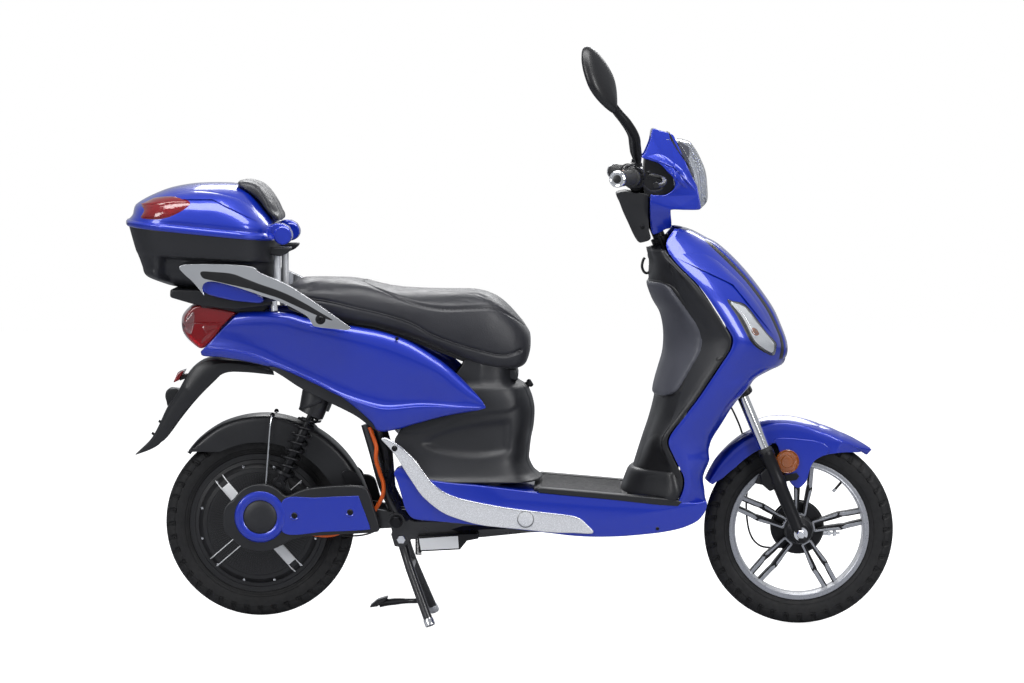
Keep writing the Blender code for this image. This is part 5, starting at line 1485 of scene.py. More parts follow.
def nose_ring(z, nose_at, count=97, out=0.0, keep=1.0):
    """The outer nose at one height, from the right edge round the tip to the left edge."""
    edge, half, nose = shield_edge(z), shield_width(z), nose_at(z)
    depth = nose - edge
    open_ring = [
        (edge, half), (edge + 0.010, half + 0.0015), (edge + depth * 0.30, half * 0.955 + 0.001),
        (edge + depth * 0.62, half * 0.80), (edge + depth * 0.86, half * 0.56),
        (edge + depth * 0.97, half * 0.28), (nose, 0.0),
    ]
    flank = [
        (edge, half), (edge + 0.010, half + 0.0015), (edge + depth * 0.40, half * 0.985),
        (edge + depth * 0.78, half * 0.90), (nose - 0.001, WELL_HALF + 0.012),
        (nose - 0.014, WELL_HALF), (nose - 0.024, 0.0),
    ]
    mix = ease(z, 0.560, 0.606)
    half_ring = [
        (a[0] * (1 - mix) + b[0] * mix, a[1] * (1 - mix) + b[1] * mix)
        for a, b in zip(flank, open_ring)
    ]
    ring = curve_points(
        [(x, -y) for x, y in half_ring] + [(x, y) for x, y in reversed(half_ring[:-1])], count,
    )
    if keep < 1:
        middle = (count - 1) / 2
        ring = ring[int(middle * (1 - keep)) : int(middle * (1 + keep)) + 1]
    if out:
        ahead = np.gradient(ring, axis=0)
        ahead /= np.linalg.norm(ahead, axis=1)[:, None]
        ring = ring + np.stack([np.abs(ahead[:, 1]), np.sign(ring[:, 1]) * np.abs(ahead[:, 0])], axis=1) * out
    return [(x, y, z) for x, y in ring]


def make_nose():
    """The nose fairing with its garnish and indicators."""
    nose_at = table(NOSE_LINE)
    heights = [
        *np.linspace(0.292, 0.556, 44), *np.linspace(0.562, 0.625, 18), *np.linspace(0.633, 0.896, 44),
        0.901, 0.905, 0.908,
    ]
    bm = bmesh.new()
    grid = [[bm.verts.new(p) for p in nose_ring(z, nose_at)] for z in heights]
    grid_faces(bm, grid)
    nose = turned_out(from_bmesh("nose_shell", bm, 60.0))
    shell = nose.modifiers.new("Solidify", "SOLIDIFY")
    shell.thickness = 0.003
    shell.offset = -1.0
    well_low, well_high = (STEER_POINT + STEER_AHEAD * 0.010 + STEER_UP * up for up in (-0.60, -0.315))
    boolean(nose, rod("well_cutter", well_low, well_high, 0.115, 72))
    nose.data.shade_smooth()
    nose.data.set_sharp_from_angle(angle=math.radians(45))
    mount(nose, "root", "blue_paint", "front_fairing")
    for name, side in SIDES:
        crease = [
            (0.353, 0.8535), (0.410, 0.8605), (0.449, 0.8480), (0.484, 0.8210), (0.528, 0.7780),
            (0.572, 0.7180), (0.600, 0.6600), (0.590, 0.6700), (0.566, 0.7140), (0.522, 0.7700),
            (0.480, 0.8110), (0.447, 0.8370), (0.410, 0.8490),
        ]
        mount(decal("nose_crease_" + name, crease, nose, side, 0.0034, 5, 160, 2.4), "root", "blue_paint")
        # A dark patch a little larger than the indicator lens: painted shade standing in for the shadowed recess
        # round the lens.
        surround = [
            (0.478, 0.757), (0.495, 0.7545), (0.520, 0.7475), (0.539, 0.728), (0.557, 0.703),
            (0.577, 0.676), (0.600, 0.651), (0.601, 0.636), (0.594, 0.620), (0.574, 0.627),
            (0.546, 0.646), (0.530, 0.666), (0.514, 0.697), (0.500, 0.722),
        ]
        mount(
            decal("lamp_recess_" + name, surround, nose, side, 0.0012, 6, 120, 6.0), "root",
            "clear_lens", finish="dark_plastic",
        )
        mirror = [
            (0.487, 0.7505), (0.497, 0.7475), (0.516, 0.7405), (0.531, 0.7245), (0.549, 0.7000),
            (0.568, 0.6760), (0.589, 0.6510), (0.5915, 0.6410), (0.5885, 0.6295), (0.577, 0.6345),
            (0.553, 0.6510), (0.539, 0.6690), (0.524, 0.6985), (0.511, 0.7210),
        ]
        mount(
            decal("lamp_mirror_" + name, mirror, nose, side, 0.0030, 8, 100, 6.0), "root", "clear_lens",
            finish="white_mark",
        )
        lens = [
            (0.4835, 0.7530), (0.4955, 0.7505), (0.5175, 0.7440), (0.5340, 0.7270), (0.5525, 0.7020),
            (0.5720, 0.6765), (0.5940, 0.6515), (0.5965, 0.6415), (0.5920, 0.6255), (0.5770, 0.6310),
            (0.5515, 0.6480), (0.5365, 0.6670), (0.5210, 0.6980), (0.5075, 0.7210),
        ]
        mount(
            decal("indicator_lens_" + name, lens, nose, side, 0.0085, 14, 120, 5.0), "root",
            "clear_lens", "indicator_" + name,
        )
        bulb = decal(
            "indicator_bulb_" + name,
            [(0.534, 0.695), (0.548, 0.688), (0.556, 0.672), (0.545, 0.668), (0.533, 0.682)], nose,
            side, 0.0055, 6, 50, 2.0,
        )
        mount(bulb, "root", "clear_lens", finish="amber_reflector")
    # The dark seam sheet is a little wider than the garnish laid over it, so a dark border shows round the
    # garnish: painted shade standing in for the gap between them.
    for name, width, out, finish in (
        ("nose_seam", 0.40, 0.0012, "dark_plastic"), ("nose_garnish", 0.29, 0.0046, "blue_paint"),
    ):
        rows = []
        heights = np.linspace(0.612, 0.884, 60)
        for k, z in enumerate(heights):
            raise_by = out * (1 - abs(2 * k / 59 - 1) ** 24) - 0.0004
            flat = np.array(nose_ring(z, nose_at, 161, 0.0, width))
            risen = np.array(nose_ring(z, nose_at, 161, raise_by, width))
            share = np.abs(np.linspace(-1, 1, len(flat)))[:, None] ** 16
            rows.append([tuple(p) for p in curve_points(risen * (1 - share) + flat * share, 44)])
        bm = bmesh.new()
        grid = [[bm.verts.new(p) for p in row] for row in rows]
        grid_faces(bm, grid)
        mount(turned_out(from_bmesh(name, bm, 60.0)), "root", "blue_paint", finish=finish)
    liner = []
    for z in np.linspace(0.330, 0.560, 24):
        x = nose_at(z) - 0.030
        liner.append(
            [
                (x, -WELL_HALF, z), (x - 0.012, -0.06, z), (x - 0.016, 0.0, z), (x - 0.012, 0.06, z),
                (x, WELL_HALF, z),
            ]
        )
    well = sheet_skin("wheel_well_liner", liner, 30, 40, 0.002)
    well_cut = rod("liner_cutter", well_low, well_high, 0.120, 72)
    boolean(baked(well), well_cut)
    mount(well, "root", "black_plastic")


BELLY = [
    (-0.262, 0.362), (-0.247, 0.3735), (-0.225, 0.362), (-0.192, 0.347), (-0.140, 0.339),
    (-0.080, 0.334), (-0.010, 0.326), (0.066, 0.317), (0.160, 0.3085), (0.246, 0.302), (0.330, 0.2985),
    (0.400, 0.2955), (0.426, 0.296), (0.4385, 0.300), (0.441, 0.290), (0.436, 0.274), (0.421, 0.2555),
    (0.400, 0.2440), (0.375, 0.2355), (0.340, 0.2285), (0.299, 0.2235), (0.245, 0.2190),
    (0.185, 0.2178), (0.135, 0.2205), (0.092, 0.2255), (0.030, 0.2325), (-0.037, 0.2400),
    (-0.105, 0.2465), (-0.166, 0.2520), (-0.205, 0.2550), (-0.222, 0.2600), (-0.231, 0.2700),
    (-0.238, 0.2830), (-0.248, 0.3200), (-0.256, 0.3450),
]
TRIM = [
    (-0.2905, 0.4385), (-0.284, 0.4415), (-0.277, 0.4405), (-0.260, 0.4310), (-0.239, 0.4155),
    (-0.213, 0.3900), (-0.194, 0.3630), (-0.175, 0.3390), (-0.150, 0.3200), (-0.120, 0.3070),
    (-0.080, 0.2970), (-0.016, 0.2850), (0.049, 0.2765), (0.100, 0.2710), (0.138, 0.2660),
    (0.156, 0.2600), (0.168, 0.2500), (0.186, 0.2275), (0.140, 0.2275), (0.092, 0.2285),
    (0.027, 0.2350), (-0.037, 0.2410), (-0.070, 0.2455), (-0.100, 0.2530), (-0.145, 0.2690),
    (-0.175, 0.2890), (-0.200, 0.3120), (-0.218, 0.3380), (-0.237, 0.3670), (-0.260, 0.4040),
    (-0.282, 0.4290),
]


def make_floor():
    """The lower side fairing and the floor mat."""
    belly = plate("belly_fairing", smooth_outline(BELLY, 300), -0.1585, 0.1585, 0.009, 5, 40.0)
    baked(belly)
    hollow = [
        (-0.300, 0.356), (-0.247, 0.362), (-0.192, 0.338), (-0.080, 0.327), (0.066, 0.311),
        (0.246, 0.297), (0.400, 0.287), (0.410, 0.262), (0.372, 0.243), (0.330, 0.180), (-0.300, 0.180),
    ]
    boolean(belly, plate("belly_hollow", hollow, -0.1530, 0.1530, 0.0))
    boolean(
        belly,
        rod(
            "belly_tyre_room", FRONT_AXLE + STEER_UP * 0.036 + ACROSS * -0.050,
            FRONT_AXLE + STEER_UP * 0.036 + ACROSS * 0.050, 0.221, 96,
        ),
    )
    rear_door = plate(
        "belly_door", [(-0.300, 0.200), (-0.185, 0.200), (-0.185, 0.420), (-0.300, 0.420)], -0.110,
        0.110, 0.0,
    )
    boolean(belly, rear_door)
    tube_door = plate(
        "belly_tube_door", [(0.285, 0.270), (0.405, 0.270), (0.405, 0.330), (0.285, 0.330)], -0.050,
        0.050, 0.0,
    )
    boolean(belly, tube_door)
    belly.data.shade_smooth()
    belly.data.set_sharp_from_angle(angle=math.radians(40))
    mount(belly, "root", "blue_paint", "lower_fairing")
    mat = [
        (0.052, 0.3190), (0.052, 0.3245), (0.066, 0.3262), (0.187, 0.3158), (0.262, 0.3095),
        (0.268, 0.3035), (0.246, 0.3035), (0.187, 0.3080),
    ]
    pieces = [plate("mat_base", mat, -0.132, 0.132, 0.0012, 2)]
    for k in range(15):
        y = -0.119 + k * 0.017
        ribs = [(0.066, 0.3250), (0.250, 0.3098), (0.250, 0.3118), (0.066, 0.3272)]
        pieces.append(plate("mat_rib", ribs, y - 0.004, y + 0.004, 0.0008, 2))
    mount(dress(merged("foot_mat", pieces), "mat_rubber"), "root", "mat_rubber", "floor_mat")
    for name, side in SIDES:
        edge = [
            (0.058, 0.3265), (0.066, 0.3290), (0.187, 0.3190), (0.262, 0.3125), (0.330, 0.3065),
            (0.372, 0.3020), (0.386, 0.2980), (0.376, 0.2870), (0.330, 0.2900), (0.262, 0.2975),
            (0.187, 0.3055), (0.064, 0.3170),
        ]
        low, high = sorted((side * 0.131, side * 0.1596))
        mount(
            plate("floor_edge_" + name, edge, low, high, 0.0030, 4, 30.0), "root", "grained_plastic",
            finish="black_plastic",
        )
        low, high = sorted((side * 0.1580, side * 0.1655))
        trim = plate("side_trim_" + name, smooth_outline(TRIM, 260), low, high, 0.0024, 4, 40.0)
        mount(trim, "root", "silver_trim", "trim_" + name)
        bead_line = [
            (-0.282, 0.4395), (-0.261, 0.4295), (-0.240, 0.4140), (-0.214, 0.3885), (-0.195, 0.3620),
            (-0.176, 0.3380), (-0.151, 0.3190), (-0.121, 0.3060), (-0.080, 0.2960), (-0.016, 0.2840),
            (0.049, 0.2755), (0.100, 0.2700), (0.137, 0.2650), (0.155, 0.2590),
        ]
        bead = pipe("trim_bead_" + name, [(x, side * 0.1652, z) for x, z in bead_line], 0.0014, 12, 160)
        mount(bead, "root", "chrome_trim")
        cap = [
            (0.0, 0.0), (0.0195, 0.0), (0.0195, 0.0008), (0.0185, 0.0012), (0.0182, -0.0004),
            (0.0172, -0.0004), (0.0168, 0.0016), (0.0150, 0.0022), (0.0, 0.0024),
        ]
        mount(
            lathe("trim_cap_" + name, cap, Vector((0.034, side * 0.1655, 0.2585)), ACROSS * side, 64, False),
            "root", "silver_trim",
        )
        # A dark ring in the groove of the trim cap: painted shade standing in for the shadow in the groove.
        mount(
            lathe(
                "trim_cap_gap_" + name,
                [(0.0178, 0.0), (0.0192, 0.0), (0.0192, 0.0010), (0.0178, 0.0010)],
                Vector((0.034, side * 0.1655, 0.2585)), ACROSS * side, 64,
            ),
            "root", "silver_trim", finish="dark_plastic",
        )
        mount(
            bolt(
                "trim_screw_" + name, (-0.260, side * 0.1652, 0.4175), (0, side, 0), 0.0052, 0.0030,
                "cap", "black_metal",
            ),
            "root", "silver_trim",
        )
        mount(
            bolt(
                "belly_screw_" + name, (0.330, side * 0.1580, 0.2370), (0, side, 0), 0.0040, 0.0025,
                "cap", "black_metal",
            ),
            "root", "black_metal",
        )


COVER_LEVELS = [
    (0.338, -0.200, 0.070, 0.146), (0.346, -0.202, 0.060, 0.139), (0.356, -0.205, 0.050, 0.134),
    (0.378, -0.215, 0.040, 0.127), (0.400, -0.235, 0.041, 0.1225), (0.426, -0.262, 0.044, 0.119),
    (0.450, -0.252, 0.049, 0.1165), (0.474, -0.235, 0.0515, 0.115), (0.498, -0.212, 0.0515, 0.1135),
    (0.520, -0.190, 0.047, 0.1125), (0.536, -0.172, 0.041, 0.111), (0.546, -0.160, 0.036, 0.109),
    (0.553, -0.152, 0.026, 0.105), (0.562, -0.142, 0.013, 0.101), (0.575, -0.128, 0.011, 0.100),
    (0.588, -0.118, 0.011, 0.099), (0.600, -0.110, 0.011, 0.098), (0.612, -0.105, 0.000, 0.097),
]
COVER_SCOOP = [
    (-0.205, 0.424), (-0.177, 0.448), (-0.125, 0.466), (-0.070, 0.476), (-0.022, 0.481),
    (-0.001, 0.478), (0.004, 0.455), (0.004, 0.425), (-0.006, 0.398), (-0.073, 0.388), (-0.130, 0.392),
    (-0.177, 0.402),
]


def depth_inside(outline, points):
    """How deep each (x, z) point lies inside a closed outline; negative outside."""
    a = np.array(outline)
    b = np.roll(a, -1, axis=0)
    p = np.array(points)[:, None, :]
    along = b - a
    share = np.clip(((p - a) * along).sum(2) / (along**2).sum(1), 0, 1)
    away = np.linalg.norm(p - (a + share[:, :, None] * along), axis=2).min(1)
    crosses = ((a[:, 1] > p[:, :, 1]) != (b[:, 1] > p[:, :, 1])) & (
        p[:, :, 0] < (b[:, 0] - a[:, 0]) * (p[:, :, 1] - a[:, 1]) / (b[:, 1] - a[:, 1] + 1e-12)
        + a[:, 0]
    )
    return np.where(crosses.sum(1) % 2 == 1, away, -away)


def dented(obj, outline, depth, width, soft=0.0):
    """Moves the sides inwards within an outline, over an edge of that width."""
    points = [(v.co.x, v.co.z) for v in obj.data.vertices]
    inside = depth_inside(smooth_outline(outline, 90), points)
    for vertex, deep in zip(obj.data.vertices, inside):
        step = depth * ease(float(deep), -soft, width)
        if abs(vertex.co.y) > 0.05:
            vertex.co.y -= math.copysign(step, vertex.co.y)
    return obj


def make_center_cover():
    """The cover between the floor and the seat."""
    levels = curve_points([(z, rear, front, half) for z, rear, front, half in COVER_LEVELS], 92)
    rows = []
    for z, rear, front, half in levels:
        half_ring = [
            (rear, half * 1.02), ((rear + front) / 2 - 0.02, half * 1.01), (front - 0.075, half * 0.99),
            (front - 0.038, half * 0.90), (front - 0.016, half * 0.66), (front - 0.004, half * 0.34),
            (front, 0.0),
        ]
        rows.append(
            curve_points(
                [(x, -y, z) for x, y in half_ring] + [(x, y, z) for x, y in reversed(half_ring[:-1])],
                121,
            )
        )
    bm = bmesh.new()
    grid = [[bm.verts.new(p) for p in row] for row in rows]
    grid_faces(bm, grid)
    cover = turned_out(from_bmesh("seat_pedestal", bm, 60.0))
    dented(cover, COVER_SCOOP, 0.0085, 0.020)
    shoulder = [
        (-0.300, 0.300), (-0.300, 0.440), (-0.215, 0.452), (-0.177, 0.462), (-0.125, 0.485),
        (-0.058, 0.496), (-0.008, 0.501), (0.010, 0.510), (0.020, 0.560), (0.080, 0.560),
        (0.090, 0.300),
    ]
    dented(cover, shoulder, 0.0035, 0.008)
    shell = cover.modifiers.new("Solidify", "SOLIDIFY")
    shell.thickness = 0.0025
    shell.offset = -1.0
    mount(cover, "root", "grained_plastic", "center_cover")
    knob = [
        (0.0, 0.0), (0.007, 0.0), (0.007, 0.005), (0.0095, 0.006), (0.0095, 0.012), (0.0075, 0.0145),
        (0.0, 0.0145),
    ]
    mount(
        lathe(
            "cover_knob", knob, Vector((0.0330, 0, 0.5460)), Vector((0.85, 0, 0.52)).normalized(), 40,
            False,
        ),
        "root", "black_plastic",
    )
    collar = [
        (-0.040, 0.588), (-0.020, 0.5905), (0.010, 0.5885), (0.014, 0.575), (0.0135, 0.560),
        (-0.036, 0.570),
    ]
    mount(
        plate("seat_latch_block", collar, -0.062, 0.062, 0.004, 3, 30.0), "root", "black_plastic",
        finish="grained_plastic",
    )


make_leg_shield()
make_nose()
make_floor()
make_center_cover()


# ---------------------------------------------------------------- wheels


def around_axle(centre, angle, radius, y):
    """A point at an angle in degrees and a radius round a wheel's axle."""
    a = math.radians(angle)
    return Vector((centre.x + radius * math.cos(a), y, centre.z + radius * math.sin(a)))


def tread_depth(angle, y, radius):
    """Grooves of the tread: two zigzags round the crown and slanted cuts over the shoulders."""
    wide = abs(y)
    turn = (angle * 40 / (2 * math.pi) + (0.25 if y > 0 else 0.0)) % 1.0
    zig = 0.0085 + 0.0030 * abs(2 * turn - 1)
    depth = 0.0028 * (1 - ease(abs(wide - zig), 0.0009, 0.0020))
    slant = (turn + (wide - 0.012) * 26) % 1.0
    on_shoulder = ease(radius, 0.1900, 0.1945)
    cut = (1 - ease(abs(slant - 0.5), 0.08, 0.13)) * ease(wide, 0.0135, 0.0150) * on_shoulder
    notch = (1 - ease(abs(turn - 0.18), 0.05, 0.09)) * ease(wide, 0.0225, 0.0235) * on_shoulder
    return max(depth if radius > 0.2 else 0.0, 0.0044 * cut, 0.0026 * notch)


def make_tyre(name, centre, body, node):
    """One tyre with its tread."""
    half = [
        (0.1585, 0.0200), (0.1600, 0.0235), (0.1640, 0.0250), (0.1660, 0.0268), (0.1720, 0.0292),
        (0.1800, 0.0312), (0.1900, 0.0322), (0.1985, 0.0318), (0.2055, 0.0290), (0.2105, 0.0240),
        (0.2140, 0.0160), (0.2157, 0.0080), (0.2160, 0.0),
    ]
    profile = curve_points([(y, r) for r, y in half] + [(-y, r) for r, y in reversed(half[:-1])], 121)
    steps = 720
    bm = bmesh.new()
    angles = np.linspace(0, 2 * math.pi, steps, endpoint=False)
    rows = []
    for y, r in profile:
        row = []
        for a in angles:
            dip = tread_depth(a, y, r) if r > 0.1895 else 0.0
            sideways = math.copysign(dip * 0.8 * ease(abs(y), 0.022, 0.031), y)
            row.append(
                bm.verts.new(
                    (
                        centre.x + (r - dip * 0.8) * math.cos(a), y - sideways,
                        centre.z + (r - dip * 0.8) * math.sin(a),
                    )
                )
            )
        rows.append(row)
    grid_faces(bm, rows, True)
    tyre = turned_out_ring(from_bmesh(name, bm, 38.0), centre)
    mount(tyre, body, "tyre_rubber", node)
    for side in (-1, 1):
        for radius, out in ((0.1705, 0.0290), (0.1935, 0.0325)):
            bead = lathe(
                name + "_bead",
                [(radius - 0.0012, out - 0.001), (radius, out + 0.0006), (radius + 0.0012, out - 0.001)],
                centre, ACROSS * side, 180,
            )
            mount(bead, body, "tyre_rubber")


def turned_out_ring(obj, centre):
    """Points a wheel skin's faces away from the tube's middle."""
    mesh = obj.data
    score = 0.0
    for polygon in list(mesh.polygons)[:: max(1, len(mesh.polygons) // 400)]:
        flat = Vector((polygon.center.x - centre.x, 0, polygon.center.z - centre.z))
        core = Vector((centre.x, 0, centre.z)) + flat.normalized() * 0.185
        score += polygon.normal.dot(polygon.center - core)
    if score < 0:
        mesh.flip_normals()
    return obj


HUB_FACE = [
    (0.0, 0.0500), (0.050, 0.0480), (0.064, 0.0460), (0.090, 0.0440), (0.120, 0.0415), (0.1275, 0.0400),
    (0.1300, 0.0380), (0.1370, 0.0330), (0.1400, 0.0300), (0.1480, 0.0285), (0.150, 0.0262),
]
hub_face = table(HUB_FACE)


def hub_strip(name, angle, across_low, across_high, r_low, r_high, side, lift=0.0006):
    """A flat stripe along the motor's face, parallel to a radius."""
    a = math.radians(angle)
    along, over = Vector((math.cos(a), 0, math.sin(a))), Vector((-math.sin(a), 0, math.cos(a)))
    bm = bmesh.new()
    rows = []
    for u in np.linspace(r_low, r_high, 24):
        row = []
        for v in np.linspace(across_low, across_high, 6):
            flat = along * u + over * v
            row.append(bm.verts.new(REAR_AXLE + flat + ACROSS * side * (hub_face(flat.length) + lift)))
        rows.append(row)
    grid_faces(bm, rows)
    strip = from_bmesh(name, bm, 60.0)
    shell = strip.modifiers.new("Solidify", "SOLIDIFY")
    shell.thickness = 0.0012
    shell.offset = 0.0
    return strip


def make_rear_wheel():
    """The rear tyre and the hub motor."""
    make_tyre("rear_tyre_skin", REAR_AXLE, "rear_wheel", "rear_tyre")
    profile = [
        (0.009, 0.0490), (0.050, 0.0480), (0.064, 0.0458), (0.0645, 0.0446), (0.118, 0.0408),
        (0.1185, 0.0420), (0.1275, 0.0405), (0.1300, 0.0375), (0.1365, 0.0330), (0.1380, 0.0300),
        (0.1460, 0.0285), (0.1475, 0.0262), (0.1540, 0.0255), (0.1590, 0.0265), (0.1598, 0.0245),
        (0.1575, 0.0225), (0.1560, 0.0150),
    ]
    both = profile + [(r, -y) for r, y in reversed(profile)]
    mount(
        lathe("hub_motor_shell", both, REAR_AXLE, ACROSS, 160), "rear_wheel", "black_plastic",
        "hub_motor", finish="dark_plastic",
    )
    for side in (-1, 1):
        fins, studs = [], []
        for k in range(108):
            a = math.radians(k * 360 / 108)
            ahead, over = Vector((math.cos(a), 0, math.sin(a))), Vector((-math.sin(a), 0, math.cos(a)))
            for r_low, r_high, half in ((0.070, 0.1135, 0.0008), (0.1205, 0.1270, 0.0017)):
                bm = bmesh.new()
                rows = []
                for r in (r_low, r_high):
                    low, high = hub_face(r) - 0.0035, hub_face(r) + 0.0002
                    rows.append(
                        [
                            bm.verts.new(REAR_AXLE + ahead * r + over * v + ACROSS * side * y)
                            for v, y in ((-half * 1.6, low), (-half, high), (half, high), (half * 1.6, low))
                        ]
                    )
                grid_faces(bm, rows, True)
                bm.faces.new(rows[0])
                bm.faces.new(rows[1])
                fins.append(from_bmesh("fin", bm, 30.0))
        mount(
            dress(merged("motor_fins_" + ("right" if side < 0 else "left"), fins), "dark_plastic"),
            "rear_wheel", "black_plastic",
        )
        for k in range(12):
            place = around_axle(REAR_AXLE, 15 + 30 * k, 0.1335, side * 0.0340)
            studs.append(bolt("motor_screw", place, (0, side, 0), 0.0026, 0.0024, "cap"))
        mount(merged("motor_screws_" + ("right" if side < 0 else "left"), studs), "rear_wheel", "chrome_trim")
        strips = []
        for angle in (131.0, 311.0):
            strips.append(hub_strip("stripe", angle, -0.0115, 0.0115, 0.060, 0.1160, side))
            strips.append(hub_strip("stripe", angle, -0.0115, -0.0095, 0.1165, 0.1385, side))
            strips.append(hub_strip("stripe", angle, 0.0095, 0.0115, 0.1165, 0.1385, side))
        for angle in (41.0, 221.0):
            strips.append(hub_strip("stripe", angle, -0.0125, -0.0105, 0.052, 0.1390, side))
            strips.append(hub_strip("stripe", angle, 0.0095, 0.0115, 0.052, 0.1390, side))
        mount(
            dress(merged("motor_stripes_" + ("right" if side < 0 else "left"), strips), "white_mark"),
            "rear_wheel", "black_plastic", finish="white_mark",
        )


def wheel_plate(name, centre, angle, outline, y_low, y_high, bevel):
    """A flat piece given along and across a radius of the wheel, in millimetres."""
    a = math.radians(angle)
    points = [
        (
            centre.x + (u * math.cos(a) - v * math.sin(a)) / 1000,
            centre.z + (u * math.sin(a) + v * math.cos(a)) / 1000,
        )
        for u, v in outline
    ]
    return plate(name, points, y_low, y_high, bevel, 2, 30.0)


def flipped(outline, flip):
    """A spoke's outline as it is, or mirrored across the radius and still counter-clockwise."""
    points = [(u, v * flip) for u, v in outline]
    return points if flip > 0 else points[::-1]


def make_front_wheel():
    """The front tyre, the cast rim and the brake plate."""
    make_tyre("front_tyre_skin", FRONT_AXLE, "front_wheel", "front_tyre")
    lip = [
        (0.1470, 0.0225), (0.1480, 0.0262), (0.1495, 0.0272), (0.1530, 0.0262), (0.1560, 0.0268),
        (0.1592, 0.0262), (0.1598, 0.0235), (0.1560, 0.0215),
    ]
    barrel = [
        (0.1450, 0.0120), (0.1462, 0.0180), (0.1470, 0.0240), (0.1500, 0.0230), (0.1540, 0.0180),
        (0.1540, -0.0180), (0.1500, -0.0230), (0.1470, -0.0240), (0.1462, -0.0180), (0.1450, -0.0120),
        (0.1445, 0.0),
    ]
    mount(
        lathe("rim_barrel", barrel, FRONT_AXLE, ACROSS, 160), "front_wheel", "alloy", "front_rim",
        finish="silver_trim",
    )
    for name, side in SIDES:
        mount(lathe("rim_lip_" + name, lip, FRONT_AXLE, ACROSS * side, 160), "front_wheel", "alloy")
    blacks, faces = [], []
    blade = [
        (24, 3.6), (24, 12.5), (34, 14.2), (60, 15.6), (80, 18.6), (96, 20.6), (112, 19.4), (149, 18.6),
        (149, 7.0), (118, 7.6), (104, 8.8), (92, 7.2), (60, 5.2),
    ]
    inner_face = [
        (33.0, 9.8), (35.0, 12.9), (60, 14.4), (80, 17.4), (91, 19.2), (95, 17.4), (90, 13.2),
        (60, 10.2), (38, 8.6),
    ]
    outer_face = [
        (97, 14.4), (101, 19.4), (112, 18.4), (148.6, 17.6), (148.6, 10.4), (120, 10.6), (106, 10.8),
    ]
    bridge = [
        (32.2, -10.4), (32.2, 10.4), (35.0, 12.0), (38.6, 9.0), (37.0, 6.6), (37.0, -6.6), (38.6, -9.0),
        (35.0, -12.0),
    ]
    for k in range(5):
        angle = 12 + 72 * k
        for flip in (1, -1):
            blacks.append(
                wheel_plate("blade", FRONT_AXLE, angle, flipped(blade, flip), -0.0125, 0.0125, 0.0012)
            )
            for y in (-0.0134, 0.0116):
                faces.append(
                    wheel_plate(
                        "blade_face", FRONT_AXLE, angle, flipped(inner_face, flip), y, y + 0.0018,
                        0.0005,
                    )
                )
                faces.append(
                    wheel_plate(
                        "blade_face", FRONT_AXLE, angle, flipped(outer_face, flip), y, y + 0.0018,
                        0.0005,
                    )
                )
        for y in (-0.0134, 0.0116):
            faces.append(wheel_plate("blade_face", FRONT_AXLE, angle, bridge, y, y + 0.0018, 0.0005))
    hub = [
        (0.0065, 0.0420), (0.0180, 0.0420), (0.0200, 0.0400), (0.0290, 0.0330), (0.0330, 0.0200),
        (0.0345, 0.0120), (0.0345, -0.0120), (0.0330, -0.0200), (0.0290, -0.0330), (0.0200, -0.0390),
        (0.0180, -0.0400), (0.0065, -0.0400),
    ]
    blacks.append(lathe("hub_barrel", hub, FRONT_AXLE, ACROSS, 80))
    drum = [
        (0.0065, 0.0440), (0.0560, 0.0440), (0.0590, 0.0420), (0.0600, 0.0200), (0.0560, 0.0140),
        (0.0340, 0.0120), (0.0065, 0.0120),
    ]
    blacks.append(lathe("brake_drum", drum, FRONT_AXLE, ACROSS, 96))
    mount(dress(merged("rim_blades", blacks), "black_metal"), "front_wheel", "alloy", finish="dark_plastic")
    mount(dress(merged("rim_faces", faces), "alloy"), "front_wheel", "alloy")
    valve = rod(
        "valve_stem", around_axle(FRONT_AXLE, 48, 0.1460, 0.0),
        around_axle(FRONT_AXLE, 48, 0.1240, -0.004), 0.0030, 20, 0.0004,
    )
    mount(valve, "front_wheel", "tyre_rubber", finish="grip_rubber")
    mount(
        rod(
            "valve_cap", around_axle(FRONT_AXLE, 48, 0.1250, -0.0038),
            around_axle(FRONT_AXLE, 48, 0.1170, -0.0052), 0.0036, 20, 0.0006,
        ),
        "front_wheel", "chrome_trim",
    )


# ---------------------------------------------------------------- swingarm, shocks and stand

COVER_SHAPE = [
    (-0.508, 0.3040), (-0.480, 0.3150), (-0.450, 0.3225), (-0.388, 0.3280), (-0.345, 0.3270),
    (-0.329, 0.3225), (-0.320, 0.3120), (-0.310, 0.2780), (-0.299, 0.2430), (-0.298, 0.2300),
    (-0.304, 0.2225), (-0.350, 0.2185), (-0.415, 0.2150), (-0.469, 0.2110), (-0.500, 0.2020),
    (-0.520, 0.1910), (-0.545, 0.1805), (-0.570, 0.1770), (-0.600, 0.1830), (-0.622, 0.1980),
    (-0.632, 0.2080), (-0.643, 0.2160), (-0.650, 0.2300), (-0.6515, 0.2560), (-0.648, 0.2760),
    (-0.640, 0.2870), (-0.628, 0.2960), (-0.612, 0.3150), (-0.592, 0.3270), (-0.569, 0.3310),
    (-0.545, 0.3280), (-0.525, 0.3170),
]
INLAY = [
    (-0.514, 0.2955), (-0.440, 0.3010), (-0.352, 0.3050), (-0.3435, 0.3020), (-0.338, 0.2880),
    (-0.321, 0.2420), (-0.3195, 0.2330), (-0.326, 0.2280), (-0.420, 0.2235), (-0.514, 0.2210),
]
CAP_CENTRE = Vector((-0.567, 0.0, 0.2565))


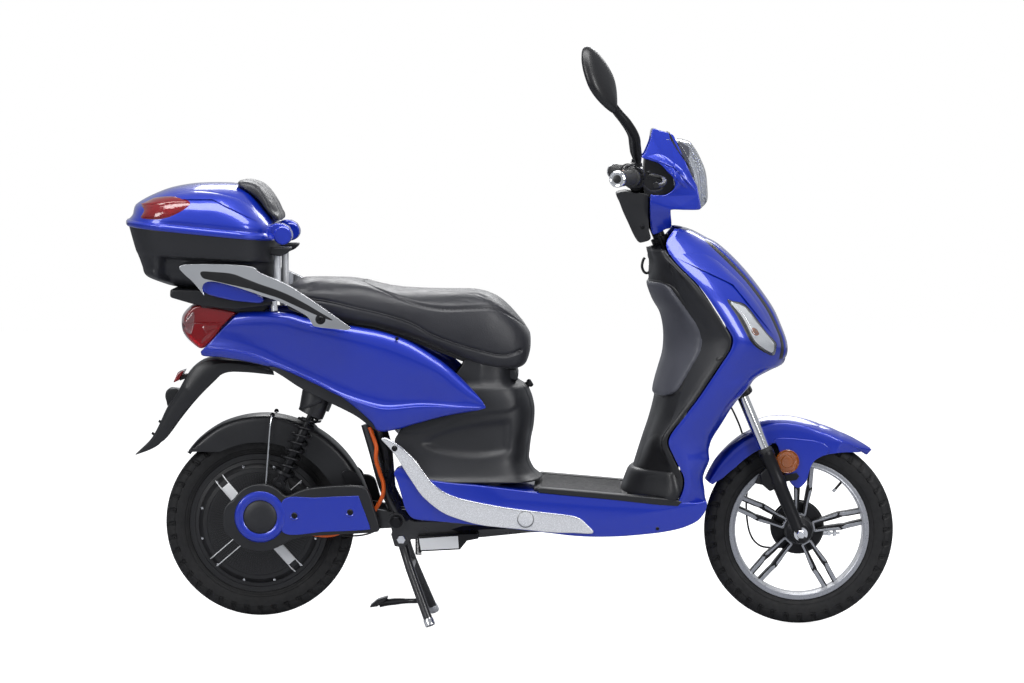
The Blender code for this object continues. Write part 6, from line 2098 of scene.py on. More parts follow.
def make_swingarm():
    """The swingarm with its covers and hugger."""
    for name, side in SIDES:
        low, high = sorted((side * 0.104, side * 0.1235))
        body = plate("cover_body_" + name, smooth_outline(COVER_SHAPE, 220), low, high, 0.0060, 5, 40.0)
        mount(body, "swingarm", "blue_paint", "swingarm_cover_" + name, finish="black_plastic")
        low, high = sorted((side * 0.1195, side * 0.1265))
        mount(
            plate("cover_inlay_" + name, smooth_outline(INLAY, 160), low, high, 0.0034, 4, 40.0),
            "swingarm", "blue_paint",
        )
        ring = [
            (0.0375, 0.1200), (0.0385, 0.1262), (0.0420, 0.1282), (0.0500, 0.1288), (0.0555, 0.1270),
            (0.0590, 0.1225), (0.0590, 0.1190),
        ]
        mount(lathe("cover_ring_" + name, ring, CAP_CENTRE, ACROSS * side, 128), "swingarm", "blue_paint")
        cap = [(0.0375, 0.1215), (0.0370, 0.1252), (0.0340, 0.1272), (0.0200, 0.1288), (0.0, 0.1292)]
        mount(
            lathe("cover_cap_" + name, cap, CAP_CENTRE, ACROSS * side, 96, False), "swingarm",
            "blue_paint", finish="grained_plastic",
        )
        for k, (x, z) in enumerate(((-0.489, 0.2600), (-0.363, 0.2680))):
            mount(
                lathe(
                    f"cover_well_{name}_{k}",
                    [
                        (0.0075, 0.1262), (0.0105, 0.1262), (0.0105, 0.1275), (0.0090, 0.1279),
                        (0.0075, 0.1272),
                    ],
                    Vector((x, 0, z)), ACROSS * side, 40,
                ),
                "swingarm", "blue_paint",
            )
            mount(
                bolt(
                    f"cover_bolt_{name}_{k}", (x, side * 0.1258, z), (0, side, 0), 0.0068, 0.0032,
                    "cap", "black_metal",
                ),
                "swingarm", "black_metal",
            )
        mount(
            bolt(
                "axle_nut_" + name, REAR_AXLE + ACROSS * side * 0.0722, (0, side, 0), 0.0125, 0.012,
                "hex", "chrome_trim",
            ),
            "swingarm", "chrome_trim",
        )
        stay = pipe(
            "hugger_stay_" + name,
            [
                (-0.5440, side * 0.0480, 0.4805), (-0.5460, side * 0.0590, 0.4760),
                (-0.5500, side * 0.0640, 0.4400), (-0.5580, side * 0.0680, 0.3300),
                (-0.5590, side * 0.0680, 0.3200),
            ],
            0.0023, 16, 60,
        )
        mount(stay, "swingarm", "chrome_trim")
        mount(
            bolt(
                "hugger_bolt_" + name, (-0.5445, side * 0.0470, 0.4800), (0, side * 0.6, 0.8), 0.0045,
                0.0050, "hex", "black_metal",
            ),
            "swingarm", "black_metal",
        )
    rows = []
    for degrees in np.linspace(14, 134, 72):
        a = math.radians(degrees)
        top = float(
            np.interp(
                degrees, [14, 30, 60, 84, 110, 126, 134],
                [0.258, 0.2555, 0.2530, 0.2520, 0.2460, 0.2380, 0.2325],
            )
        )
        low = float(np.interp(degrees, [14, 22, 30, 116], [0.205, 0.196, 0.190, 0.187]))
        if degrees > 116:
            low = max(low, 0.1662 / math.sin(a))
        low = min(low, top - 0.0015)
        half_ring = [
            (low, 0.0515), (low * 0.35 + top * 0.65, 0.0505), (top - 0.008, 0.0470),
            (top - 0.002, 0.0340), (top, 0.0),
        ]
        ring = [(r, y) for r, y in half_ring] + [(r, -y) for r, y in reversed(half_ring[:-1])]
        rows.append([(REAR_AXLE.x + r * math.cos(a), y, REAR_AXLE.z + r * math.sin(a)) for r, y in ring])
    hugger = sheet_skin("rear_hugger_skin", rows, 90, 60, 0.0026)
    mount(hugger, "swingarm", "black_plastic", "rear_hugger")
    for name, side in SIDES:
        brace = plate(
            "hugger_brace_" + name,
            smooth_outline(
                [
                    (-0.366, 0.2800), (-0.381, 0.3300), (-0.386, 0.3500), (-0.371, 0.3560),
                    (-0.348, 0.3420), (-0.340, 0.3100), (-0.338, 0.2780),
                ],
                60,
            ),
            *sorted((side * 0.0535, side * 0.0575)), 0.0015, 3,
        )
        mount(brace, "swingarm", "black_metal")


def make_shock_absorbers():
    """Both coil-over shock absorbers."""
    axis = (SHOCK_FOOT - SHOCK_TOP).normalized()
    length = (SHOCK_FOOT - SHOCK_TOP).length
    across = ACROSS.cross(axis)
    for name, side in SIDES:
        top = SHOCK_TOP + ACROSS * side * SHOCK_TRACK
        foot = SHOCK_FOOT + ACROSS * side * SHOCK_TRACK
        body = "shock_" + name
        bell = [
            (0.0, 0.004), (0.016, 0.004), (0.024, 0.010), (0.0285, 0.022), (0.0300, 0.060),
            (0.0300, 0.072), (0.0270, 0.072), (0.0265, 0.030), (0.0070, 0.030), (0.0060, 0.034),
            (0.0060, 0.150), (0.0, 0.150),
        ]
        eye = lathe(
            "shock_top_eye_" + name,
            [(0.0068, -0.011), (0.014, -0.011), (0.014, 0.011), (0.0068, 0.011)], top, ACROSS, 40,
        )
        mount(
            dress(
                merged("shock_top_" + name, [lathe("bell", bell, top, axis, 48, False), eye]),
                "black_plastic",
            ),
            body, "black_plastic", "shock_body_" + name,
        )
        coil = []
        start, stop, turns = 0.034, length - 0.034, 9.5
        for i in range(601):
            t = i / 600
            run = start + (stop - start) * t
            angle = 2 * math.pi * turns * t
            coil.append(top + axis * run + (ACROSS * math.sin(angle) + across * math.cos(angle)) * 0.0206)
        spring = pipe("coil_spring_" + name, coil, 0.0029, 12, None, False)
        baked(spring)
        mount(spring, body, "black_metal", "shock_spring_" + name)
        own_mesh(spring)
        lower = [
            (0.0072, 0.108), (0.0110, 0.108), (0.0125, 0.112), (0.0125, 0.150), (0.0110, 0.154),
            (0.0110, length - 0.034), (0.0240, length - 0.033), (0.0245, length - 0.027),
            (0.0120, length - 0.024), (0.0105, length - 0.012), (0.0072, length - 0.040),
        ]
        sleeve = lathe("shock_sleeve_" + name, lower, top, axis, 48)
        foot_eye = lathe(
            "foot_eye_" + name, [(0.0072, -0.009), (0.013, -0.009), (0.013, 0.009), (0.0072, 0.009)],
            foot, ACROSS, 40,
        )
        mount(
            dress(merged("shock_lower_" + name, [sleeve, foot_eye]), "black_metal"),
            "shock_slider_" + name, "black_metal", "shock_rod_" + name,
        )
        mount(
            bolt(
                "shock_foot_bolt_" + name, foot + ACROSS * side * 0.0096, (0, side, 0), 0.0070, 0.0045,
                "hex", "black_metal",
            ),
            "swingarm", "black_metal",
        )


def make_center_stand():
    """The centre stand with its foot lever."""
    x, z = STAND_PIVOT.x, STAND_PIVOT.z
    pieces = [rod("stand_cross", (-0.231, -0.066, 0.130), (-0.231, 0.066, 0.130), 0.008, 32)]
    tips, ends = [], []
    for name, side in SIDES:
        pieces.append(
            lathe(
                "stand_hub_" + name,
                [(0.0068, 0.036), (0.0125, 0.036), (0.0125, 0.062), (0.0068, 0.062)], Vector((x, 0, z)),
                ACROSS * side, 40,
            )
        )
        foot = Vector((-0.1835, 0.1045 * side, 0.0085))
        knee = Vector((-0.231, 0.064 * side, 0.130))
        down = (foot - knee).normalized()
        leg = [
            (x + 0.001, 0.049 * side, z - 0.004), (-0.243, 0.053 * side, 0.168),
            (-0.2335, 0.062 * side, 0.138), tuple(knee + down * 0.02), tuple(knee.lerp(foot, 0.6)),
            tuple(foot),
        ]
        pieces.append(pipe("stand_leg_" + name, leg, 0.0102, 24, 60))
        gusset = plate(
            "stand_gusset_" + name,
            [(-0.262, 0.195), (-0.240, 0.195), (-0.222, 0.125), (-0.240, 0.122)],
            *sorted((0.0535 * side, 0.0575 * side)), 0.001, 2,
        )
        pieces.append(gusset)
        tips.append(
            lathe(
                "stand_tip_" + name,
                [
                    (0.0085, -0.014), (0.0112, -0.014), (0.0118, -0.012), (0.0118, 0.001),
                    (0.0108, 0.0022), (0.0085, 0.0022),
                ],
                foot, down, 40,
            )
        )
        ends.append(
            lathe(
                "stand_plug_" + name,
                [(0.0, 0.0012), (0.0088, 0.0012), (0.0088, -0.004), (0.0, -0.004)], foot, down, 32,
                False,
            )
        )
    lever = [
        (-0.196, 0.104, 0.034), (-0.206, 0.118, 0.030), (-0.232, 0.133, 0.026), (-0.262, 0.139, 0.0245),
        (-0.292, 0.141, 0.0215), (-0.314, 0.142, 0.0170),
    ]
    pieces.append(pipe("stand_lever", lever, lambda t: 0.0060 + 0.0022 * ease(t, 0.45, 0.75), 20, 60))
    pad = [
        (-0.336, 0.0105), (-0.334, 0.0155), (-0.318, 0.0285), (-0.296, 0.0355), (-0.293, 0.0330),
        (-0.304, 0.0230), (-0.318, 0.0130),
    ]
    pieces.append(plate("stand_pad", pad, 0.128, 0.156, 0.0012, 2))
    mount(dress(merged("stand_frame", pieces), "frame_steel"), "stand", "frame_steel", "center_stand")
    mount(dress(merged("stand_tips", tips), "chrome_trim"), "stand", "chrome_trim")
    mount(dress(merged("stand_plugs", ends), "dark_plastic"), "stand", "frame_steel", finish="dark_plastic")
    coil = [
        (
            -0.214 + 0.0065 * math.cos(a), -0.020 + 0.0065 * math.sin(a),
            0.205 - 0.0028 * a / (2 * math.pi) * 1.0,
        )
        for a in np.linspace(0, 2 * math.pi * 17, 500)
    ]
    mount(pipe("stand_spring", coil, 0.0011, 8, None, False), "root", "black_metal")


def make_frame_details():
    """The visible tubes and brackets of the frame."""
    for name, side in SIDES:
        mount(
            bolt(
                "stand_bolt_" + name, (STAND_PIVOT.x, side * 0.0655, STAND_PIVOT.z), (0, side, 0),
                0.0105, 0.0080, "hex", "chrome_trim",
            ),
            "root", "chrome_trim",
        )
        mount(
            bolt(
                "swing_bolt_" + name, (-0.261, side * 0.0830, 0.2420), (0, side, 0), 0.0120, 0.0100,
                "hex", "black_metal",
            ),
            "root", "black_metal",
        )
        mount(
            lathe(
                "swing_washer_" + name,
                [(0.0, 0.0725), (0.0185, 0.0725), (0.0185, 0.0830), (0.0, 0.0830)],
                Vector((-0.261, 0, 0.242)), ACROSS * side, 48, False,
            ),
            "root", "frame_steel",
        )
        mount(
            pipe(
                "frame_loop_" + name,
                [
                    (-0.330, side * 0.062, 0.462), (-0.312, side * 0.062, 0.400),
                    (-0.290, side * 0.062, 0.320), (-0.262, side * 0.062, 0.262),
                    (-0.240, side * 0.062, 0.238),
                ],
                0.0125, 24, 60,
            ),
            "root", "frame_steel",
        )
        bracket = plate(
            "rail_bracket_" + name,
            [
                (-0.2600, 0.2560), (-0.2200, 0.2400), (-0.0650, 0.2420), (0.0560, 0.2300),
                (0.0560, 0.2170), (-0.0680, 0.2040), (-0.2280, 0.1990), (-0.2460, 0.1800),
                (-0.2660, 0.1830), (-0.2740, 0.2100),
            ],
            *sorted((side * 0.0640, side * 0.0700)), 0.0015, 3,
        )
        mount(bracket, "root", "frame_steel")
        mount(
            plate(
                "rating_plate_" + name,
                [(-0.2090, 0.2050), (-0.1205, 0.2115), (-0.1185, 0.1830), (-0.2045, 0.1785)],
                *sorted((side * 0.0990, side * 0.1012)), 0.0006, 2,
            ),
            "root", "silver_trim", finish="white_mark",
        )
        mount(
            plate(
                "plate_holder_" + name,
                [
                    (-0.2130, 0.2090), (-0.1165, 0.2155), (-0.0750, 0.2165), (-0.0740, 0.2050),
                    (-0.1000, 0.2000), (-0.1160, 0.1800), (-0.2080, 0.1750),
                ],
                *sorted((side * 0.0690, side * 0.0992)), 0.0015, 2,
            ),
            "root", "black_metal",
        )
    orange = [
        (-0.3210, -0.0800, 0.4560), (-0.3130, -0.0850, 0.4350), (-0.3060, -0.0880, 0.4130),
        (-0.3065, -0.0900, 0.3850), (-0.2980, -0.0900, 0.3550), (-0.2895, -0.0900, 0.3270),
        (-0.2920, -0.0900, 0.3000), (-0.3060, -0.0885, 0.2740), (-0.3180, -0.0850, 0.2600),
    ]
    mount(pipe("motor_cable_run", orange, 0.0047, 20, 160), "root", "orange_cable", "motor_cable")
    under = [
        (-0.4950, -0.0880, 0.2300), (-0.4700, -0.0930, 0.2180), (-0.4400, -0.0950, 0.2120),
        (-0.4150, -0.0950, 0.2110), (-0.3950, -0.0930, 0.2150), (-0.3700, -0.0860, 0.2260),
    ]
    mount(pipe("motor_cable_tail", under, 0.0043, 20, 120), "swingarm", "orange_cable")
    thin = [
        (-0.4000, -0.0850, 0.2150), (-0.3850, -0.0850, 0.2100), (-0.3500, -0.0840, 0.2090),
        (-0.3200, -0.0820, 0.2150), (-0.2950, -0.0800, 0.2290),
    ]
    mount(pipe("brake_cable_rear", thin, 0.0020, 14, 90), "swingarm", "grip_rubber", finish="grip_rubber")


make_rear_wheel()
make_front_wheel()
make_swingarm()
make_shock_absorbers()
make_center_stand()
make_frame_details()


# ---------------------------------------------------------------- fork and front fender


def steer(ahead, y, up):
    """A point given from the steering point: ahead of the axis, sideways, and up along it."""
    return STEER_POINT + STEER_AHEAD * ahead + ACROSS * y + STEER_UP * up


def up_of(point):
    return (Vector(point) - STEER_POINT).dot(STEER_UP)


def make_fork():
    """The stanchions, fork legs, axle and brake arm."""
    crown_up = up_of((0.530, 0.0, 0.548))
    leg_top = up_of((0.576, 0.0, 0.402))
    axle_up = up_of(FRONT_AXLE)
    outline = [
        (-0.024, -0.026), (-0.010, -0.050), (0.010, -0.094), (0.022, -0.100), (0.050, -0.100),
        (0.058, -0.090), (0.060, -0.060), (0.046, -0.030), (0.044, 0.0),
    ]
    outline = outline + [(ahead, -y) for ahead, y in reversed(outline[:-1])]
    bm = bmesh.new()
    rows = []
    for up, inset in (
        (crown_up - 0.014, 0.003), (crown_up - 0.0115, 0.0), (crown_up + 0.0115, 0.0),
        (crown_up + 0.014, 0.003),
    ):
        ring = curve_points([(a, y) for a, y in outline], 120, True)
        middle_ahead = 0.020
        row = []
        for a, y in ring:
            pull = 1 - inset / max(0.02, math.hypot(a - middle_ahead, y))
            row.append(bm.verts.new(steer(middle_ahead + (a - middle_ahead) * pull, y * pull, up)))
        rows.append(row)
    grid_faces(bm, rows, True)
    bm.faces.new(rows[0])
    bm.faces.new(rows[-1])
    pieces = [from_bmesh("yoke", bm, 35.0)]
    pieces.append(rod("stem", steer(0, 0, crown_up - 0.010), steer(0, 0, 0.120), 0.014, 32))
    pieces.append(rod("stem_collar", steer(0, 0, -0.080), steer(0, 0, 0.012), 0.021, 40, 0.0015))
    pieces.append(rod("bar_clamp", (0.282, -0.028, 1.008), (0.282, 0.028, 1.008), 0.019, 40, 0.002))
    pieces.append(rod("clamp_neck", steer(0, 0, 0.100), (0.282, 0, 1.002), 0.015, 32))
    for name, side in SIDES:
        y = 0.075 * side
        for low, high, radius in (
            (crown_up - 0.017, crown_up - 0.003, 0.0195), (crown_up + 0.001, crown_up + 0.018, 0.0190),
        ):
            pieces.append(rod("clamp", steer(0.035, y, low), steer(0.035, y, high), radius, 48, 0.0015))
    mount(
        dress(merged("steering_yoke", pieces), "black_metal"), "steering", "frame_steel",
        "steering_stem", finish="black_metal",
    )
    for name, side in SIDES:
        y = 0.075 * side
        mount(
            rod(
                "stanchion_tube_" + name, steer(0.035, y, leg_top - 0.090),
                steer(0.035, y, crown_up + 0.020), 0.0125, 48, 0.0006,
            ),
            "steering", "chrome_trim", "stanchion_" + name,
        )
        mount(
            bolt(
                "yoke_bolt_" + name, steer(0.0555, side * 0.080, crown_up), STEER_AHEAD, 0.0048, 0.0050,
                "cap", "chrome_trim",
            ),
            "steering", "chrome_trim",
        )
        foot = axle_up - 0.020
        span = leg_top - foot
        leg_profile = [
            (0.0129, span), (0.0168, span), (0.0178, span - 0.003), (0.0178, span - 0.012),
            (0.0162, span - 0.015), (0.0158, span - 0.060), (0.0172, span - 0.070),
            (0.0172, span - 0.080), (0.0152, span - 0.092), (0.0148, 0.040), (0.0160, 0.020),
            (0.0150, 0.002), (0.0120, 0.0), (0.0, 0.0),
        ]
        leg = lathe("lower_leg_" + name, leg_profile, steer(0.035, y, foot), STEER_UP, 48, False)
        ring = lathe(
            "axle_boss_" + name,
            [
                (0.0068, -0.0095), (0.0195, -0.0095), (0.0210, -0.0075), (0.0210, 0.0075),
                (0.0195, 0.0095), (0.0068, 0.0095),
            ],
            FRONT_AXLE + ACROSS * y, ACROSS, 48,
        )
        lug = plate(
            "leg_lug_" + name,
            [
                (0.5620, 0.3520), (0.5740, 0.3640), (0.5900, 0.3720), (0.6080, 0.3440),
                (0.6020, 0.3200), (0.5860, 0.3120), (0.5680, 0.3280),
            ],
            *sorted((0.058 * side, 0.084 * side)), 0.004, 3,
        )
        rear_lug = plate(
            "stay_lug_" + name,
            [(0.5520, 0.3300), (0.5600, 0.3480), (0.5760, 0.3560), (0.5860, 0.3400), (0.5720, 0.3260)],
            *sorted((0.066 * side, 0.080 * side)), 0.002, 3,
        )
        mount(
            dress(merged("fork_lower_" + name, [leg, ring, lug, rear_lug]), "black_metal"), "fork",
            "black_metal", "fork_leg_" + name,
        )
        seal = lathe(
            "dust_seal_" + name,
            [(0.0128, 0.0), (0.0165, 0.0), (0.0160, 0.006), (0.0140, 0.009), (0.0128, 0.009)],
            steer(0.035, y, leg_top + 0.0005), STEER_UP, 48,
        )
        mount(seal, "fork", "grip_rubber")
        mount(
            bolt(
                "fender_bolt_" + name, (0.5960, 0.0842 * side, 0.3360), (0, side, 0), 0.0048, 0.0045,
                "hex", "black_metal",
            ),
            "fork", "black_metal",
        )
        washer = lathe(
            "axle_washer_" + name, [(0.0, 0.0845), (0.0155, 0.0845), (0.0155, 0.0872), (0.0, 0.0872)],
            FRONT_AXLE, ACROSS * side, 48, False,
        )
        nut = bolt(
            "axle_end_" + name, FRONT_AXLE + ACROSS * side * 0.0870, (0, side, 0), 0.0098, 0.0095,
            "hex", "chrome_trim",
        )
        mount(dress(merged("front_nut_" + name, [washer, nut]), "chrome_trim"), "fork", "chrome_trim")
    spindle = lathe(
        "front_spindle",
        [
            (0.0, 0.0990), (0.0055, 0.0990), (0.0060, 0.0980), (0.0060, -0.0980), (0.0055, -0.0990),
            (0.0, -0.0990),
        ],
        FRONT_AXLE, ACROSS, 40, False,
    )
    mount(spindle, "fork", "chrome_trim", "front_axle")
    back = lathe(
        "brake_back",
        [
            (0.0066, 0.0570), (0.0250, 0.0570), (0.0280, 0.0530), (0.0580, 0.0510), (0.0620, 0.0480),
            (0.0620, 0.0450), (0.0066, 0.0450),
        ],
        FRONT_AXLE, ACROSS, 96,
    )
    mount(dress(back, "dark_plastic"), "fork", "alloy", "brake_plate", finish="dark_plastic")
    arm = plate(
        "brake_arm",
        [
            (0.6900, 0.2020), (0.6960, 0.2080), (0.7300, 0.2030), (0.7340, 0.1980), (0.7300, 0.1930),
            (0.6960, 0.1940),
        ],
        0.0590, 0.0625, 0.0010, 2,
    )
    cam = rod("brake_cam", (0.6950, 0.0480, 0.2010), (0.6950, 0.0660, 0.2010), 0.0052, 24, 0.0008)
    adjuster = pipe(
        "brake_adjuster",
        [(0.7150, 0.0608, 0.1975), (0.7310, 0.0608, 0.1980), (0.7560, 0.0608, 0.1990)], 0.0022, 16, 30,
    )
    nut = bolt("adjuster_nut", (0.7400, 0.0608, 0.1983), (1, 0, 0.04), 0.0062, 0.0080, "hex", "chrome_trim")
    barrel = rod("adjuster_barrel", (0.7310, 0.0540, 0.1980), (0.7310, 0.0680, 0.1980), 0.0048, 24, 0.0006)
    mount(
        dress(merged("brake_linkage", [arm, cam, adjuster, nut, barrel]), "chrome_trim"), "fork",
        "chrome_trim",
    )
    cable = [
        (0.7150, 0.0608, 0.1975), (0.6900, 0.0620, 0.1860), (0.6500, 0.0640, 0.1700),
        (0.6050, 0.0640, 0.1640), (0.5700, 0.0630, 0.1700), (0.5480, 0.0620, 0.2000),
        (0.5400, 0.0620, 0.2600), (0.5450, 0.0600, 0.3300),
    ]
    mount(pipe("brake_cable_lower", cable, 0.0022, 16, 160), "fork", "grip_rubber", finish="grip_rubber")
    upper = [
        (0.5450, 0.0600, 0.3300), (0.5400, 0.0560, 0.3900), (0.5260, 0.0450, 0.4400),
        (0.5110, 0.0340, 0.4760), (0.4960, 0.0280, 0.5060), (0.4800, 0.0260, 0.5450),
    ]
    mount(pipe("brake_cable_front", upper, 0.0022, 16, 120), "fork", "grip_rubber", finish="grip_rubber")


def make_front_fender():
    """The front fender and its stays."""
    for part, degrees_range in (("front", (48.8, 110.5)), ("rear", (108.0, 151.5))):
        rows = []
        for degrees in np.linspace(*degrees_range, 60):
            a = math.radians(degrees)
            if part == "front":
                top = float(
                    np.interp(
                        degrees, [48.8, 56.8, 68, 79, 89, 98, 105, 110.5],
                        [0.2480, 0.2450, 0.2430, 0.2470, 0.2560, 0.2640, 0.2690, 0.2700],
                    )
                )
                low = float(
                    np.interp(
                        degrees, [48.8, 50.5, 53.5, 58.3, 69, 75, 82, 100, 110.5],
                        [0.2465, 0.2370, 0.2240, 0.2130, 0.1910, 0.1810, 0.1900, 0.2050, 0.2160],
                    )
                )
                half = float(np.interp(degrees, [48.8, 55, 65, 110.5], [0.0160, 0.0340, 0.0470, 0.0500]))
                half_ring = [
                    (low, half * 1.04), (low * 0.40 + top * 0.60, half * 1.03), (top - 0.0150, half),
                    (top - 0.0120, half * 0.93), (top - 0.0060, half * 0.62),
                    (top - 0.0015, half * 0.22), (top, 0.0),
                ]
            else:
                top = float(np.interp(degrees, [108, 122, 140, 151.5], [0.2540, 0.2545, 0.2500, 0.2440]))
                low = float(np.interp(degrees, [108, 135, 145, 151.5], [0.2100, 0.2080, 0.2140, 0.2260]))
                half_ring = [
                    (low, 0.0480), (low * 0.4 + top * 0.6, 0.0475), (top - 0.010, 0.0440),
                    (top - 0.006, 0.0370), (top - 0.002, 0.0220), (top - 0.0004, 0.0080), (top, 0.0),
                ]
            ring = [(r, y) for r, y in half_ring] + [(r, -y) for r, y in reversed(half_ring[:-1])]
            rows.append(
                [(FRONT_AXLE.x + r * math.cos(a), y, FRONT_AXLE.z + r * math.sin(a)) for r, y in ring]
            )
        skin_piece = sheet_skin("fender_" + part, rows, 90, 90, 0.0028)
        if part == "front":
            mount(skin_piece, "fork", "blue_paint", "front_fender")
        else:
            mount(skin_piece, "fork", "blue_paint")
    tongue = [
        (0.6020, 0.4300), (0.6060, 0.4080), (0.6180, 0.3700), (0.6260, 0.3470), (0.6340, 0.3290),
        (0.6460, 0.3180), (0.6560, 0.3180), (0.6650, 0.3260), (0.6720, 0.3360), (0.6780, 0.3580),
        (0.6880, 0.3780), (0.7050, 0.3890), (0.7200, 0.3960), (0.7150, 0.4150), (0.6800, 0.4260),
    ]
    for name, side in SIDES:
        low, high = sorted((side * 0.0490, side * 0.0530))
        mount(
            plate("fender_tongue_" + name, smooth_outline(tongue, 120), low, high, 0.0014, 3), "fork",
            "blue_paint",
        )
        centre = Vector((0.6265, 0, 0.3780))
        cup = lathe(
            "reflector_cup_" + name,
            [
                (0.0, 0.0525), (0.0262, 0.0525), (0.0270, 0.0545), (0.0270, 0.0590), (0.0255, 0.0605),
                (0.0240, 0.0590), (0.0, 0.0575),
            ],
            centre, ACROSS * side, 80, False,
        )
        mount(cup, "fork", "clear_lens", finish="amber_reflector")
        face = lathe(
            "reflector_face_" + name,
            [
                (0.0, 0.0612), (0.0130, 0.0608), (0.0138, 0.0600), (0.0146, 0.0608), (0.0225, 0.0600),
                (0.0240, 0.0585), (0.0, 0.0570),
            ],
            centre, ACROSS * side, 80, False,
        )
        mount(face, "fork", "clear_lens", finish="amber_reflector")
        mount(
            bolt(
                "tongue_bolt_" + name, (0.6450, side * 0.0530, 0.3440), (0, side, 0), 0.0042, 0.0035,
                "cap", "black_metal",
            ),
            "fork", "black_metal",
        )
        strut = plate(
            "tongue_strut_" + name,
            [(0.5900, 0.3260), (0.5940, 0.3420), (0.6480, 0.3520), (0.6540, 0.3440), (0.6480, 0.3360)],
            *sorted((side * 0.0530, side * 0.0580)), 0.0010, 2,
        )
        mount(strut, "fork", "black_metal")


# ---------------------------------------------------------------- handlebar, mirrors and headlight

GRIP_INNER = Vector((0.268, 0.215, 1.026))
GRIP_OUTER = Vector((0.238, 0.330, 1.026))


